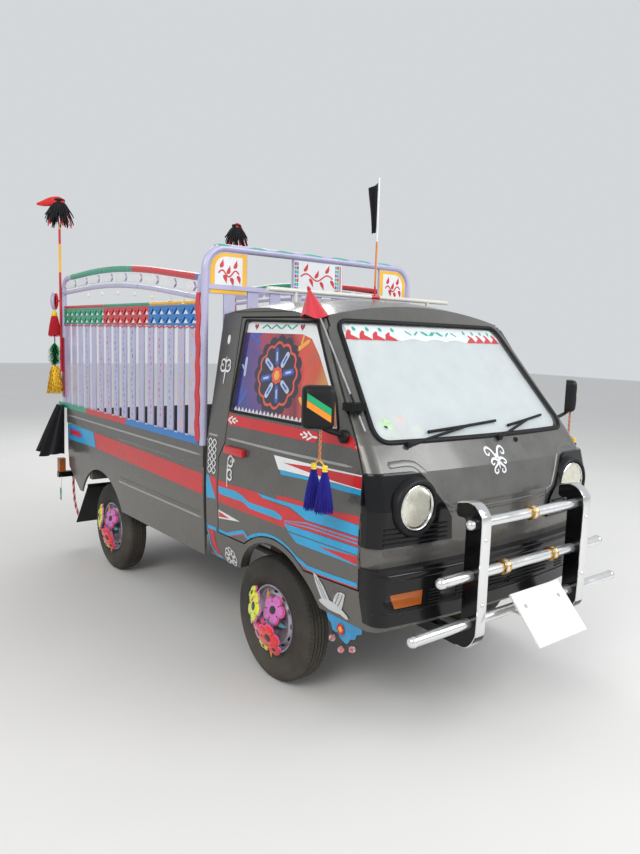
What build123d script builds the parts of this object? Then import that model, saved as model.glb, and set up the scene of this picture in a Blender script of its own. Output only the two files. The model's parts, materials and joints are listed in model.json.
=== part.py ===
from build123d import *
import math
import os

os.makedirs("parts", exist_ok=True)

# Decorated forward-control pickup. Millimetres, +X forward, +Y to the vehicle's left, +Z up.
# Lengths along X are measured from the front axle, heights from the ground.

# Overall reach and running gear
NOSE_REACH = 1040
TAIL_REACH = 2760
WHEELBASE = 1840
TYRE_R = 279
TYRE_W = 135
FRONT_TYRE_FACE = 677
REAR_TYRE_FACE = 665
RIM_R = 152.4
RIM_FLANGE_R = 166
RIM_FIT = 0.3
SPINDLE_R = 14
SPINDLE_FIT = 0.08
KINGPIN_Y = 500
SEAT_GAP = 0.3
FRONT_Y = FRONT_TYRE_FACE - TYRE_W / 2
REAR_Y = REAR_TYRE_FACE - TYRE_W / 2
AXLE_X = (TAIL_REACH - NOSE_REACH) / 2

# Cab: a table of level sections from the sill to above the roof
CAB_SECTIONS = [  # height, centre line of the front, half width
    (436, 700, 660),
    (575, 706, 690),
    (800, 716, 697),
    (910, 722, 695),
    (1040, 690, 690),
    (1140, 622, 676),
    (1760, 118, 586),
]
CAB_BACK = -550
CAB_BOW = 46
CAB_CORNER_R = 58
FRONT_WALL = 38
SIDE_WALL = 50
BACK_WALL = 34
ROOF_WALL = 30
ROOF_CROWN_X = -230
ROOF_CROWN_Z = 1731
ROOF_CROSS_R = 2600
ROOF_LONG_R = 1900
DOOR_GAP = 7
DOOR_FRONT = 600
DOOR_REAR = -440
DOOR_REAR_HIGH = -388
DOOR_TOP = 1622
DOOR_SILL = 575
DOOR_HINGE_Y = 697
DOOR_HINGE_R = 3
DOOR_HINGE_Z = (730, 880)
HINGE_TALL = 90
DOOR_HANDLE = (-352, 986, -202, 1012, 6)
DOOR_HANDLE_Y = (680, 706)
GLASS_T = 5
GLASS_SET = 14
WINDOW_FIT = 1.0
DOOR_WINDOW = [(-372, 1182, 14), (428, 1182, 14), (388, 1290, 90), (178, 1592, 36), (-340, 1600, 18)]
DOOR_FRONT_LINE = [(DOOR_FRONT, 1040), (536, 1150), (226, 1566), (192, DOOR_TOP)]
SCREEN_FOOT = (600, 1152)
SCREEN_HEAD = (506, 1600)
SCREEN_CORNER = 50
BACK_WINDOW = (470, 1240, 1560)

# Wheel arches
FRONT_ARCH = (26, 296, 334)
REAR_ARCH = (-1958, 246, 384)
FLOOR_Z = 560
DECK_Z = 700
PLATE_T = 20

# Chassis
RAIL_Y = 330
RAIL_W = 50
RAIL_H = 90
RAIL_Z = 445
RAIL_FRONT = 640
RAIL_REAR = -2480
CROSS_X = [520, -420, -1000, -1480, -2100, -2440]
CROSS_INSET = 15
CROSS_W = 60

# Bed
BED_FRONT = -575
BED_REAR = -2536
BED_SIDE_Y = 696
BED_SIDE_T = 22
BED_TOP = 985
BED_KNEE = 690
BED_SKIRT = 425
BED_FLOOR_Z = 655
BED_FLOOR_T = 28
BEARER_X = [-720, -1110, -1500, -2160, -2440]
TAILGATE_T = 30
TAILGATE_GAP = 6
HINGE_X = BED_REAR + TAILGATE_T / 2
HINGE_Z = BED_FLOOR_Z - TAILGATE_T / 2
HINGE_R = 8
HINGE_FIT = 0.08
GATE_SWEEP = 14

# Racks and headboard
RACK_Y = 690
RACK_REAR = -2600
RACK_TUBE_R = 17
SLAT_COUNT = 16
SLAT_W = 70
SLAT_T = 8
RAIL_TOP = 1012
PANEL_LOW = 1575
PANEL_HIGH = 1680
HOOP_CREST_Z = 1925
HOOP_REAR_FALL = 40
HOOP_FRONT_FALL = 118
HOOP_R = 7000
HOOP_BEND = 90
INNER_DROP = 98
FRET_CELLS = 21
PLATE_COUNT = 9
HEADBOARD_X = -596
HEADBOARD_TOP = 1957
HEADBOARD_R = 19
RACK_POST_X = HEADBOARD_X - HEADBOARD_R - RACK_TUBE_R - 2
HEADBOARD_CORNER = 112

# Bull bar
BAR_X = 850
BAR_POST_Y = 335
BAR_POST_W = 50
BAR_TUBES = [  # height, half length
    (863, 382),
    (667, 530),
    (480, 663),
]
BAR_TUBE_R = 21


def sheet(*corners):
    """A flat outline from corners (a, b), or (a, b, radius) where the corner is rounded."""
    radii = [c[2] if len(c) > 2 else 0 for c in corners]
    points = [c[:2] for c in corners]
    if max(radii) == 0:
        return make_face(Polyline(*points, close=True))
    return make_face(FilletPolyline(*points, radius=radii, close=True))


def rectangle(a0, b0, a1, b1, radius=0):
    return sheet((a0, b0, radius), (a1, b0, radius), (a1, b1, radius), (a0, b1, radius))


def across(outline, y0, y1):
    """Outline in X and Z, drawn out across the vehicle from y0 to y1."""
    return Pos(0, y1, 0) * extrude(Plane.XZ * outline, amount=y1 - y0)


def along(outline, x0, x1):
    """Outline in Y and Z, drawn out along the vehicle from x0 to x1."""
    return Pos(x0, 0, 0) * extrude(Plane.YZ * outline, amount=x1 - x0)


def block(x0, y0, z0, x1, y1, z1):
    return Pos((x0 + x1) / 2, (y0 + y1) / 2, (z0 + z1) / 2) * Box(x1 - x0, y1 - y0, z1 - z0)


def rod(start, end, radius):
    line = Line(start, end)
    return extrude(Plane(origin=start, z_dir=line % 0) * Circle(radius), amount=line.length)


def tube(points, radii, radius):
    path = FilletPolyline(*points, radius=radii)
    return sweep(Plane(origin=path @ 0, z_dir=path % 0) * Circle(radius), path=path)


def both(piece):
    """The piece and its mirror image on the other side of the vehicle."""
    return Compound(children=list(piece.solids()) + list(mirror(piece, Plane.XZ).solids()))


def turned(profile, y_sign):
    """Ring about the wheel's own axis from a profile of (radius, distance outward)."""
    ring = revolve(Plane.XZ * sheet(*profile), Axis.Z, 360)
    return Rot(-90 * y_sign, 0, 0) * ring


def circle_arch(arch, y0, y1):
    x, z, radius = arch
    return across(Pos(x, z) * Circle(radius), y0, y1)


made = {}


def keep(name, *pieces):
    solids = [s for piece in pieces for s in piece.solids()]
    made[name] = Compound(children=solids) if len(solids) > 1 else solids[0]


# Cab shell


def cab_body(front, side, back, roof):
    """The cab's closed form, set in by the given walls from its outer skin."""
    rings = []
    corner = max(CAB_CORNER_R - side, 8)
    x_back = CAB_BACK + back
    for z, x_front, half in CAB_SECTIONS:
        nose = x_front - front
        shoulder = nose - CAB_BOW
        w = half - side
        edges = [
            ThreePointArc((shoulder, corner - w, z), (nose, 0, z), (shoulder, w - corner, z)),
            ThreePointArc(
                (shoulder, w - corner, z),
                (shoulder - 0.35 * corner, w - 0.25 * corner, z),
                (shoulder - corner, w, z),
            ),
            Line((shoulder - corner, w, z), (x_back, w, z)),
            Line((x_back, w, z), (x_back, -w, z)),
            Line((x_back, -w, z), (shoulder - corner, -w, z)),
            ThreePointArc(
                (shoulder - corner, -w, z),
                (shoulder - 0.35 * corner, 0.25 * corner - w, z),
                (shoulder, corner - w, z),
            ),
        ]
        rings.append(Wire(edges))
    form = Solid.make_loft(rings, ruled=True)
    crown_z = ROOF_CROWN_Z - roof
    width = CAB_SECTIONS[2][2] + 20
    drop = width**2 / (2 * ROOF_CROSS_R)
    section = make_face(
        [
            Line((-width, crown_z + 400), (width, crown_z + 400)),
            Line((width, crown_z + 400), (width, crown_z - drop)),
            ThreePointArc((width, crown_z - drop), (0, crown_z), (-width, crown_z - drop)),
            Line((-width, crown_z - drop), (-width, crown_z + 400)),
        ]
    )
    axis = Axis((ROOF_CROWN_X, 0, crown_z - ROOF_LONG_R), (0, 1, 0))
    above = revolve(Pos(ROOF_CROWN_X, 0, 0) * (Plane.YZ * section), axis, 50)
    return form - above.rotate(axis, -25)


def door_outline(gap):
    arch_x, arch_z, arch_r = FRONT_ARCH
    rise = arch_r + 24
    foot = DOOR_SILL - arch_z
    reach = math.sqrt(rise**2 - foot**2)
    knee_front = arch_x + reach
    knee_rear = arch_x - reach
    edges = [
        Line((DOOR_REAR, DOOR_SILL), (knee_rear, DOOR_SILL)),
        ThreePointArc((knee_rear, DOOR_SILL), (arch_x, arch_z + rise), (knee_front, DOOR_SILL)),
        Line((knee_front, DOOR_SILL), (DOOR_FRONT, DOOR_SILL + 18)),
        Line((DOOR_FRONT, DOOR_SILL + 18), DOOR_FRONT_LINE[0]),
        *[Line(low, high) for low, high in zip(DOOR_FRONT_LINE, DOOR_FRONT_LINE[1:])],
        Line(DOOR_FRONT_LINE[-1], (DOOR_REAR_HIGH, DOOR_TOP)),
        Line((DOOR_REAR_HIGH, DOOR_TOP), (DOOR_REAR_HIGH, 1030)),
        Line((DOOR_REAR_HIGH, 1030), (DOOR_REAR, 950)),
        Line((DOOR_REAR, 950), (DOOR_REAR, DOOR_SILL)),
    ]
    face = make_face(edges)
    if gap:
        face = offset(face, -gap, kind=Kind.INTERSECTION)
    return face


outer = cab_body(0, 0, 0, 0)
inner = cab_body(FRONT_WALL, SIDE_WALL, BACK_WALL, ROOF_WALL)
shell = outer - inner
shell -= block(-900, -560, 300, 560, 560, FLOOR_Z)

foot_y, foot_z = SCREEN_FOOT
head_y, head_z = SCREEN_HEAD
screen_face = sheet(
    (-foot_y, foot_z, SCREEN_CORNER),
    (foot_y, foot_z, SCREEN_CORNER),
    (head_y, head_z, SCREEN_CORNER - 5),
    (-head_y, head_z, SCREEN_CORNER - 5),
)
screen_hole = along(screen_face, 100, 760)
window_face = sheet(*DOOR_WINDOW)
back_half, back_low, back_high = BACK_WINDOW
back_face = rectangle(-back_half, back_low, back_half, back_high, SCREEN_CORNER)
back_hole = along(back_face, CAB_BACK - 40, CAB_BACK + 120)

arch_tools = [circle_arch(FRONT_ARCH, s * 640 - 200, s * 640 + 200) for s in (-1, 1)]
for tool in arch_tools:
    shell -= tool
shell -= screen_hole
shell -= back_hole

opening = door_outline(0)
leaf = door_outline(DOOR_GAP)
FORE = -200
door_core = cab_body(FORE, SIDE_WALL, -BACK_WALL, -ROOF_WALL)
pocket_core = cab_body(FORE, SIDE_WALL + DOOR_GAP, -BACK_WALL, -ROOF_WALL)
side_bands = [across(opening, 400, 800) - pocket_core, across(opening, -800, -400) - pocket_core]

pane_out = cab_body(GLASS_SET, GLASS_SET, GLASS_SET, GLASS_SET)
GLASS_BACK = GLASS_SET + GLASS_T
pane_in = cab_body(GLASS_BACK, GLASS_BACK, GLASS_BACK, GLASS_BACK)
pane = pane_out - pane_in

screen_pane = pane & along(offset(screen_face, -WINDOW_FIT), 140, 760)
back_pane = pane & along(offset(back_face, -WINDOW_FIT), CAB_BACK - 40, CAB_BACK + 80)
keep("cab_glass", screen_pane, back_pane)


def hinge(sign, z, on_door):
    """One hinge's barrels on the shut line with the leaf that carries them: the door's or the body's."""
    x = DOOR_FRONT - DOOR_GAP / 2
    y = sign * DOOR_HINGE_Y
    third = HINGE_TALL / 3
    rows = [(z - third / 2, z + third / 2)]
    if not on_door:
        rows = [(z - HINGE_TALL / 2, z - third / 2 - SEAT_GAP), (z + third / 2 + SEAT_GAP, z + HINGE_TALL / 2)]
    reach = x - DOOR_GAP - 4 if on_door else x + DOOR_GAP
    y0, y1 = sorted((y, y - sign * DOOR_HINGE_R))
    parts = [rod((x, y, z0), (x, y, z1), DOOR_HINGE_R) for z0, z1 in rows]
    parts += [block(min(x, reach), y0, z0, max(x, reach), y1, z1) for z0, z1 in rows]
    return parts


# Door leaf, glass and hinges on each side
for side, sign in (("left", 1), ("right", -1)):
    y0, y1 = sorted((sign * 500, sign * 760))
    door = (shell & across(leaf, y0, y1)) - door_core
    door -= across(window_face, y0, y1)
    door += across(rectangle(*DOOR_HANDLE), *sorted(sign * y for y in DOOR_HANDLE_Y))
    for z in DOOR_HINGE_Z:
        for part in hinge(sign, z, True):
            door += part
    keep("door_" + side, door)
    keep("door_glass_" + side, pane & across(offset(window_face, -WINDOW_FIT), y0, y1))

frame = shell
for band in side_bands:
    frame -= band

# The frame is parted where the real panels meet
ROOF_SEAM_Z = DOOR_TOP + 20
BACK_SEAM_X = CAB_BACK + BACK_WALL
BACK_PANEL_HALF = 560
PILLAR_FOOT_Z = 1176
NOSE_WAIST_Z = 700
HEADER_HALF = 440
DRIP_RAIL = (-548, 1646, 146, 1658)


def nose_zone(gap):
    pillar_foot = PILLAR_FOOT_Z + gap
    waist = NOSE_WAIST_Z
    x = DOOR_FRONT - gap
    behind = x - 180
    corners = [(x, 300), (900, 300), (900, pillar_foot), (behind, pillar_foot), (behind, waist), (x, waist)]
    return across(sheet(*corners), -800, 800)


def roof_zone(gap):
    """Roof panel with the header over the windscreen."""
    header_half = HEADER_HALF + gap
    zone = block(-700, -800, ROOF_SEAM_Z - gap, 400, 800, 1900)
    return zone + block(0, -header_half, SCREEN_HEAD[1] - 30, 400, header_half, ROOF_SEAM_Z)


def back_zone(gap):
    half = BACK_PANEL_HALF + gap
    return block(-700, -half, 300, BACK_SEAM_X + gap, half, ROOF_SEAM_Z - SEAT_GAP)


cab_front = frame & nose_zone(0)
for sign in (-1, 1):
    for z in DOOR_HINGE_Z:
        for part in hinge(sign, z, False):
            cab_front += part
cab_roof = frame & roof_zone(0)
cab_back = frame & back_zone(0)
cab_sides = frame - nose_zone(SEAT_GAP) - roof_zone(SEAT_GAP) - back_zone(SEAT_GAP)
lip_band = cab_body(-9, -9, 0, 0) - outer
lip_path = across(rectangle(*DRIP_RAIL), -800, 800)
side_zone = block(-600, 500, 1500, 240, 800, 1700)
cab_roof += (lip_band & lip_path) & (side_zone + mirror(side_zone, Plane.XZ))
keep("cab_front", cab_front)
keep("cab_roof", cab_roof)
keep("cab_back", cab_back)
keep("cab_sides", cab_sides)

# Floor of the footwell, stepped up over the wheelhouses
floor_half = 636
floor_front = 655
step_x = 330
WHEELHOUSE_Y = (356, 368)
WHEELHOUSE_REAR = -340
floor = across(
    sheet(
        (floor_front, FLOOR_Z - PLATE_T),
        (floor_front, FLOOR_Z),
        (step_x + PLATE_T, FLOOR_Z),
        (step_x + PLATE_T, DECK_Z, 12),
        (BACK_SEAM_X, DECK_Z),
        (BACK_SEAM_X, DECK_Z - PLATE_T),
        (step_x, DECK_Z - PLATE_T),
        (step_x, FLOOR_Z - PLATE_T),
    ),
    -floor_half,
    floor_half,
)
floor = floor & inner
for sign in (-1, 1):
    wall = rectangle(WHEELHOUSE_REAR, RAIL_Z + RAIL_H + 2, step_x, DECK_Z - PLATE_T)
    floor += across(wall, *sorted(sign * y for y in WHEELHOUSE_Y))
keep("cab_floor", floor)

# Chassis ladder frame
rails = block(RAIL_REAR, RAIL_Y - RAIL_W / 2, RAIL_Z, RAIL_FRONT, RAIL_Y + RAIL_W / 2, RAIL_Z + RAIL_H)
frame_rails = rails + mirror(rails, Plane.XZ)
for x in CROSS_X:
    low, high = RAIL_Z + CROSS_INSET, RAIL_Z + RAIL_H - CROSS_INSET
    frame_rails += block(x - CROSS_W / 2, -RAIL_Y, low, x + CROSS_W / 2, RAIL_Y, high)
keep("chassis_frame", frame_rails)

# Engine and gearbox as one plain block, exhaust and fuel tank
CROSS_UNDER = RAIL_Z + CROSS_INSET - SEAT_GAP
ENGINE_BLOCKS = [  # rear, front, half width, bottom, top
    (-384, -80, 170, 300, 458),
    (-380, -80, 170, 458, 545),
    (-820, -384, 110, 290, CROSS_UNDER),
]
engine = [block(x0, -half, z0, x1, half, z1) for x0, x1, half, z0, z1 in ENGINE_BLOCKS]
keep("engine_block", engine[0] + engine[1] + engine[2])
EXHAUST_Z = 330
EXHAUST_RUN = [  # start, end, radius
    ((-250, -170 - SEAT_GAP, EXHAUST_Z), (-250, -230, EXHAUST_Z), 18),
    ((-250, -212, EXHAUST_Z), (-1290, -200, EXHAUST_Z), 17),
    ((-1690, -200, EXHAUST_Z), (-1270, -200, EXHAUST_Z), 62),
    ((-1680, -200, EXHAUST_Z), (-2420, -240, EXHAUST_Z + 10), 17),
]
exhaust = rod(*EXHAUST_RUN[0])
for stretch in EXHAUST_RUN[1:]:
    exhaust += rod(*stretch)
keep("exhaust", exhaust)
TANK_X = (-1420, -900)
TANK_Y = (120, 290)
TANK_LOW = 290
keep("fuel_tank", block(TANK_X[0], TANK_Y[0], TANK_LOW, TANK_X[1], TANK_Y[1], CROSS_UNDER))

# Front crossmember, control arms and struts
BEAM_X = 60
BEAM_LOW = 300
BALL_Z = 152
BOSS_TOP = 194
ARM_R = 14
BRACE_R = 10
BRACE_FOOT = (170, 428)
KNUCKLE_LOW = BOSS_TOP + SEAT_GAP
KNUCKLE_HIGH = 366
STRUT_R = 21
SPRING_R = 40
SPRING_Z = 632
SPRING_TALL = 96
suspension = block(-BEAM_X, -RAIL_Y - 25, BEAM_LOW, BEAM_X, RAIL_Y + 25, RAIL_Z)
for sign in (-1, 1):
    brace_x, brace_z = BRACE_FOOT
    kingpin = sign * KINGPIN_Y
    suspension += rod((0, sign * 300, BEAM_LOW + 30), (0, kingpin, BALL_Z), ARM_R)
    suspension += rod((brace_x, sign * RAIL_Y, brace_z), (0, kingpin - sign * 10, BALL_Z + 8), BRACE_R)
    suspension += rod((brace_x, sign * RAIL_Y, brace_z - 13), (brace_x, sign * RAIL_Y, RAIL_Z), ARM_R)
    suspension += rod((0, kingpin, BOSS_TOP - 30), (0, kingpin, BOSS_TOP), 26)
keep("front_suspension", suspension)
strut = rod((0, KINGPIN_Y, KNUCKLE_HIGH + SEAT_GAP), (0, KINGPIN_Y, DECK_Z - PLATE_T), STRUT_R)
spring_low, spring_high = SPRING_Z - SPRING_TALL / 2, SPRING_Z + SPRING_TALL / 2
strut += rod((0, KINGPIN_Y, spring_low), (0, KINGPIN_Y, spring_high), SPRING_R)
keep("front_struts", both(strut))

# Rear axle with springs under the rails and the propeller shaft
axle_x = -WHEELBASE
HUB_FACE = 46
SPINDLE_REACH = 14
AXLE_TUBE_R = 34
DIFF_R = 104
SHAFT_R = 26
SHAFT_FRONT = (-823, 345)
SPRING_EYES = (-2290, -1400)
SPRING_EYE_Z = (425, 437)
SPRING_DIP_Z = (318, 350)
SPRING_HALF = 22
hub_in = REAR_Y - HUB_FACE
axle = rod((axle_x, -hub_in, TYRE_R), (axle_x, hub_in, TYRE_R), AXLE_TUBE_R)
axle += Pos(axle_x, 0, TYRE_R) * Sphere(DIFF_R)
axle += rod((axle_x, 0, TYRE_R), (SHAFT_FRONT[0], 0, SHAFT_FRONT[1]), SHAFT_R)
rear_eye, front_eye = SPRING_EYES
eye_low, eye_high = SPRING_EYE_Z
dip_low, dip_high = SPRING_DIP_Z
leaf_face = make_face(
    [
        ThreePointArc((rear_eye, eye_low), (axle_x, dip_low), (front_eye, eye_low)),
        Line((front_eye, eye_low), (front_eye, eye_high)),
        ThreePointArc((front_eye, eye_high), (axle_x, dip_high), (rear_eye, eye_high)),
        Line((rear_eye, eye_high), (rear_eye, eye_low)),
    ]
)
for sign in (-1, 1):
    spindle_end = sign * (REAR_Y + SPINDLE_REACH)
    axle += rod((axle_x, sign * hub_in, TYRE_R), (axle_x, spindle_end, TYRE_R), SPINDLE_R)
    y0, y1 = sorted((sign * (RAIL_Y - SPRING_HALF), sign * (RAIL_Y + SPRING_HALF)))
    axle += across(leaf_face, y0, y1)
    axle += across(rectangle(axle_x - 40, TYRE_R, axle_x + 40, dip_high + 2), y0, y1)
    for x in (rear_eye + 12, front_eye - 12):
        axle += across(rectangle(x - 14, eye_low, x + 14, RAIL_Z - SEAT_GAP), y0, y1)
keep("rear_axle", axle)

# Knuckles with the front spindles
KNUCKLE_R = 24
STUB_R = 32
for side, sign in (("left", 1), ("right", -1)):
    kingpin = sign * KINGPIN_Y
    hub_y = sign * (FRONT_Y - HUB_FACE)
    upright = rod((0, kingpin, KNUCKLE_LOW), (0, kingpin, KNUCKLE_HIGH), KNUCKLE_R)
    upright += rod((0, kingpin, TYRE_R), (0, hub_y, TYRE_R), STUB_R)
    upright += rod((0, hub_y, TYRE_R), (0, sign * (FRONT_Y + SPINDLE_REACH), TYRE_R), SPINDLE_R)
    arm_y = sorted((sign * (KINGPIN_Y - 14), sign * (KINGPIN_Y + 6)))
    upright += across(rectangle(-118, 232, 0, 256), *arm_y)
    keep("knuckle_" + side, upright)

# Wheels: tyre, steel rim with drum and hub, foam flowers on a stem
HALF_TYRE = TYRE_W / 2
TYRE_PROFILE = [  # radius, distance outward; the outer shoulder is bevelled
    (RIM_R + RIM_FIT, -HALF_TYRE),
    (RIM_R + RIM_FIT, HALF_TYRE),
    (256, HALF_TYRE),
    (TYRE_R, 40),
    (TYRE_R, -HALF_TYRE),
]
RIM_PROFILE = [
    (RIM_R, -51),
    (RIM_R, 51),
    (RIM_R - 8, 51),
    (RIM_R - 14, 30),
    (132, 26),
    (112, 44),
    (72, 40),
    (56, 22),
    (SPINDLE_R + SPINDLE_FIT, 22),
    (SPINDLE_R + SPINDLE_FIT, -42),
    (108, -42),
    (108, 8),
    (60, 8),
    (60, 14),
    (112, 32),
    (138, 14),
    (RIM_R - 8, -30),
    (RIM_R - 8, -51),
]
FLOWERS = [  # forward, upward, outward place and petal ring radius
    (0, 0, 62, 50),
    (44, 42, 78, 34),
    (-40, 34, 88, 34),
    (-26, -46, 76, 36),
    (42, -34, 92, 32),
]
PETALS = 5
HEART_SHARE = 0.5
PETAL_SHARE = 0.4
PETAL_REACH = 0.62
HEART_T = 16
PETAL_T = 14
STEM_R = 16
STEM_FOOT = 22.4
STEM_TALL = 78
BACKING = (44, 10, 80)


def flower_cluster(sign):
    """Foam flowers round a stem that stands on the hub, outward along the axle."""
    cluster = rod((0, 0, STEM_FOOT), (0, 0, STEM_FOOT + STEM_TALL), STEM_R)
    for dx, dz, out, radius in FLOWERS:
        head = Pos(dx, dz, out) * Cylinder(radius * HEART_SHARE, HEART_T)
        for k in range(PETALS):
            turn = math.radians(360 / PETALS * k)
            px = dx + PETAL_REACH * radius * math.cos(turn)
            pz = dz + PETAL_REACH * radius * math.sin(turn)
            head += Pos(px, pz, out) * Cylinder(radius * PETAL_SHARE, PETAL_T)
        cluster += head
    backing_r, backing_t, backing_out = BACKING
    cluster += Pos(0, 0, backing_out) * Cylinder(backing_r, backing_t)
    return Rot(-90 * sign, 0, 0) * cluster


WHEELS = [  # name, place along, side, distance of the middle from the centre line
    ("front_left", 0, 1, FRONT_Y),
    ("front_right", 0, -1, FRONT_Y),
    ("rear_left", -WHEELBASE, 1, REAR_Y),
    ("rear_right", -WHEELBASE, -1, REAR_Y),
]
for name, x, sign, lane in WHEELS:
    seat = Pos(x, sign * lane, TYRE_R)
    keep("tyre_" + name, seat * turned(TYRE_PROFILE, sign))
    keep("rim_" + name, seat * turned(RIM_PROFILE, sign))
    keep("flowers_" + name, seat * flower_cluster(sign))

# Cab interior
DASH_HALF = 610
DASH_LINE = [(480, 900, 20), (456, 1040, 30), (500, 1108, 20), (585, 1108), (640, 1010), (640, 900)]
STEER_PLACE = (262, -330, 1010)
STEER_TILT = 30
STEER_R = 180
STEER_GRIP_R = 12
STEER_SPOKE = (180, 26, 10)
STEER_HUB = (42, 26)
COLUMN_R = 22
COLUMN_LONG = 600
SEAT_LINE = [
    (60, DECK_Z + SEAT_GAP),
    (60, 830, 40),
    (-330, 815),
    (-395, 1330, 30),
    (-480, 1330, 30),
    (-430, DECK_Z + SEAT_GAP),
]
SEAT_Y = (90, 560)
dash_room = cab_body(FRONT_WALL + SEAT_GAP, SIDE_WALL + DOOR_GAP + 1, BACK_WALL, ROOF_WALL)
keep("dashboard", across(sheet(*DASH_LINE), -DASH_HALF, DASH_HALF) & dash_room)
steer_tilt = Rot(0, -STEER_TILT, 0)
ring = Torus(STEER_R, STEER_GRIP_R)
for turn in (90, 210, 330):
    ring += Rot(0, 0, turn) * (Pos(STEER_R / 2, 0, -10) * Box(*STEER_SPOKE))
hub_r, hub_tall = STEER_HUB
ring += Pos(0, 0, -14) * Cylinder(hub_r, hub_tall)
keep("steering_wheel", Pos(*STEER_PLACE) * (steer_tilt * ring))
column_top = -14 - hub_tall / 2 - SEAT_GAP
column = Pos(0, 0, column_top - COLUMN_LONG / 2) * Cylinder(COLUMN_R, COLUMN_LONG)
column = Pos(*STEER_PLACE) * (steer_tilt * column)
keep("steering_column", column - block(0, -700, 0, 800, 0, FLOOR_Z + SEAT_GAP))
keep("seats", both(across(sheet(*SEAT_LINE), *SEAT_Y)))

# Front bumper, lamps and bezels
BUMPER_Z = (470, 692)
BUMPER_REAR = 604
BUMPER_OUT = 42
INDICATOR_Y = (470, 645)
INDICATOR_Z = (535, 600)
INDICATOR_FIT = 3
BEZEL_LINE = [(318, 772), (700, 772), (700, 1046), (470, 1046, 70), (330, 862, 10)]
BEZEL_OUT = 14
LAMP_Y, LAMP_Z, LAMP_R = 509, 915, 86
LAMP_FACE = 706
LAMP_DEEP = 30
LENS_TALL = 14
LENS_TAPER = 34
skin = cab_body(-SEAT_GAP, -SEAT_GAP, 0, 0)
bumper = cab_body(-BUMPER_OUT, -4, 0, 0) & block(430, -760, BUMPER_Z[0], 900, 760, BUMPER_Z[1])
bumper = (bumper - skin) & block(BUMPER_REAR, -760, BUMPER_Z[0], 900, 760, BUMPER_Z[1])
for sign in (-1, 1):
    y0, y1 = sorted((sign * INDICATOR_Y[0], sign * INDICATOR_Y[1]))
    bumper -= block(700, y0, INDICATOR_Z[0], 900, y1, INDICATOR_Z[1])
keep("front_bumper", bumper)
bezel = (cab_body(-BEZEL_OUT, -6, 0, 0) - skin) & along(sheet(*BEZEL_LINE), 606, 780)
bezel -= along(Pos(LAMP_Y, LAMP_Z) * Circle(LAMP_R + 12), 500, 800)
keep("lamp_bezels", both(bezel))
lamp = along(Pos(LAMP_Y, LAMP_Z) * Circle(LAMP_R), LAMP_FACE - LAMP_DEEP, LAMP_FACE)
lens = Cone(LAMP_R, LAMP_R - LENS_TAPER, LENS_TALL, align=(Align.CENTER, Align.CENTER, Align.MIN))
lamp += Pos(LAMP_FACE, LAMP_Y, LAMP_Z) * (Rot(0, 90, 0) * lens)
keep("headlamps", both(lamp - skin))

# Amber lamps in the bumper and on the ends of the rear bar
REAR_BAR_X = -2600
REAR_BAR_Z = (480, 520)
REAR_LAMP_Y = (702, 746)
REAR_LAMP_TALL = 98
indicator = (cab_body(-38, -2, 0, 0) - skin) & block(
    700,
    INDICATOR_Y[0] + INDICATOR_FIT,
    INDICATOR_Z[0] + INDICATOR_FIT,
    900,
    INDICATOR_Y[1] - INDICATOR_FIT,
    INDICATOR_Z[1] - INDICATOR_FIT,
)
lamp_foot = REAR_BAR_Z[1] + SEAT_GAP
rear_lamp = block(
    REAR_BAR_X - 24, REAR_LAMP_Y[0], lamp_foot, REAR_BAR_X + 24, REAR_LAMP_Y[1], REAR_BAR_Z[1] + REAR_LAMP_TALL
)
keep("amber_lamps", both(indicator), both(rear_lamp))

# Bull bar: two uprights and three tubes through them
POST_LINE = [
    (770, 930, 14),
    (826, 942, 30),
    (892, 905, 40),
    (892, 420, 50),
    (838, 374, 30),
    (560, 386),
    (560, RAIL_Z - SEAT_GAP),
    (640, RAIL_Z - SEAT_GAP),
    (654, 424),
    (790, 424, 16),
    (818, 470, 20),
    (818, 880, 16),
    (770, 880, 14),
]
BAR_COLLARS = [(0, BAR_TUBES[0][0]), (-160, BAR_TUBES[1][0]), (160, BAR_TUBES[1][0])]
COLLAR_HALF = 14
COLLAR_R = BAR_TUBE_R + 7
bull_bar = across(sheet(*POST_LINE), BAR_POST_Y - BAR_POST_W / 2, BAR_POST_Y + BAR_POST_W / 2)
bull_bar += mirror(bull_bar, Plane.XZ)
for z, half in BAR_TUBES:
    end = half - 8
    bull_bar += rod((BAR_X, -end, z), (BAR_X, end, z), BAR_TUBE_R)
    for y in (-end, end):
        bull_bar += Pos(BAR_X, y, z) * Sphere(BAR_TUBE_R - 0.01)
for y, z in BAR_COLLARS:
    bull_bar += rod((BAR_X, y - COLLAR_HALF, z), (BAR_X, y + COLLAR_HALF, z), COLLAR_R)
keep("bull_bar", bull_bar)

# Blank number plate, tilted, clipped to the low tube
PLATE_HALF = 160
PLATE_TOP = (BAR_X + 34, 560)
PLATE_LOW = (NOSE_REACH - 6, 396)
PLATE_SET = (6, 5)
STRAP_Y = (-110, 110)
STRAP_HALF = (10, 3)
plate_face = sheet(
    PLATE_TOP,
    PLATE_LOW,
    (PLATE_LOW[0] + PLATE_SET[0], PLATE_LOW[1] + PLATE_SET[1]),
    (PLATE_TOP[0] + PLATE_SET[0], PLATE_TOP[1] + PLATE_SET[1]),
)
plate = across(plate_face, -PLATE_HALF, PLATE_HALF)
strap_z = BAR_TUBES[2][0]
strap_share = (PLATE_TOP[1] - strap_z) / (PLATE_TOP[1] - PLATE_LOW[1])
strap_reach = PLATE_TOP[0] + strap_share * (PLATE_LOW[0] - PLATE_TOP[0]) + 3
strap_wide, strap_thick = STRAP_HALF
for y in STRAP_Y:
    strap_foot = BAR_X + BAR_TUBE_R + SEAT_GAP
    plate += block(
        strap_foot, y - strap_wide, strap_z - strap_thick, strap_reach, y + strap_wide, strap_z + strap_thick
    )
keep("front_plate", plate)

# Wipers lying on the windscreen, on pivots in the panel below it


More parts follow.
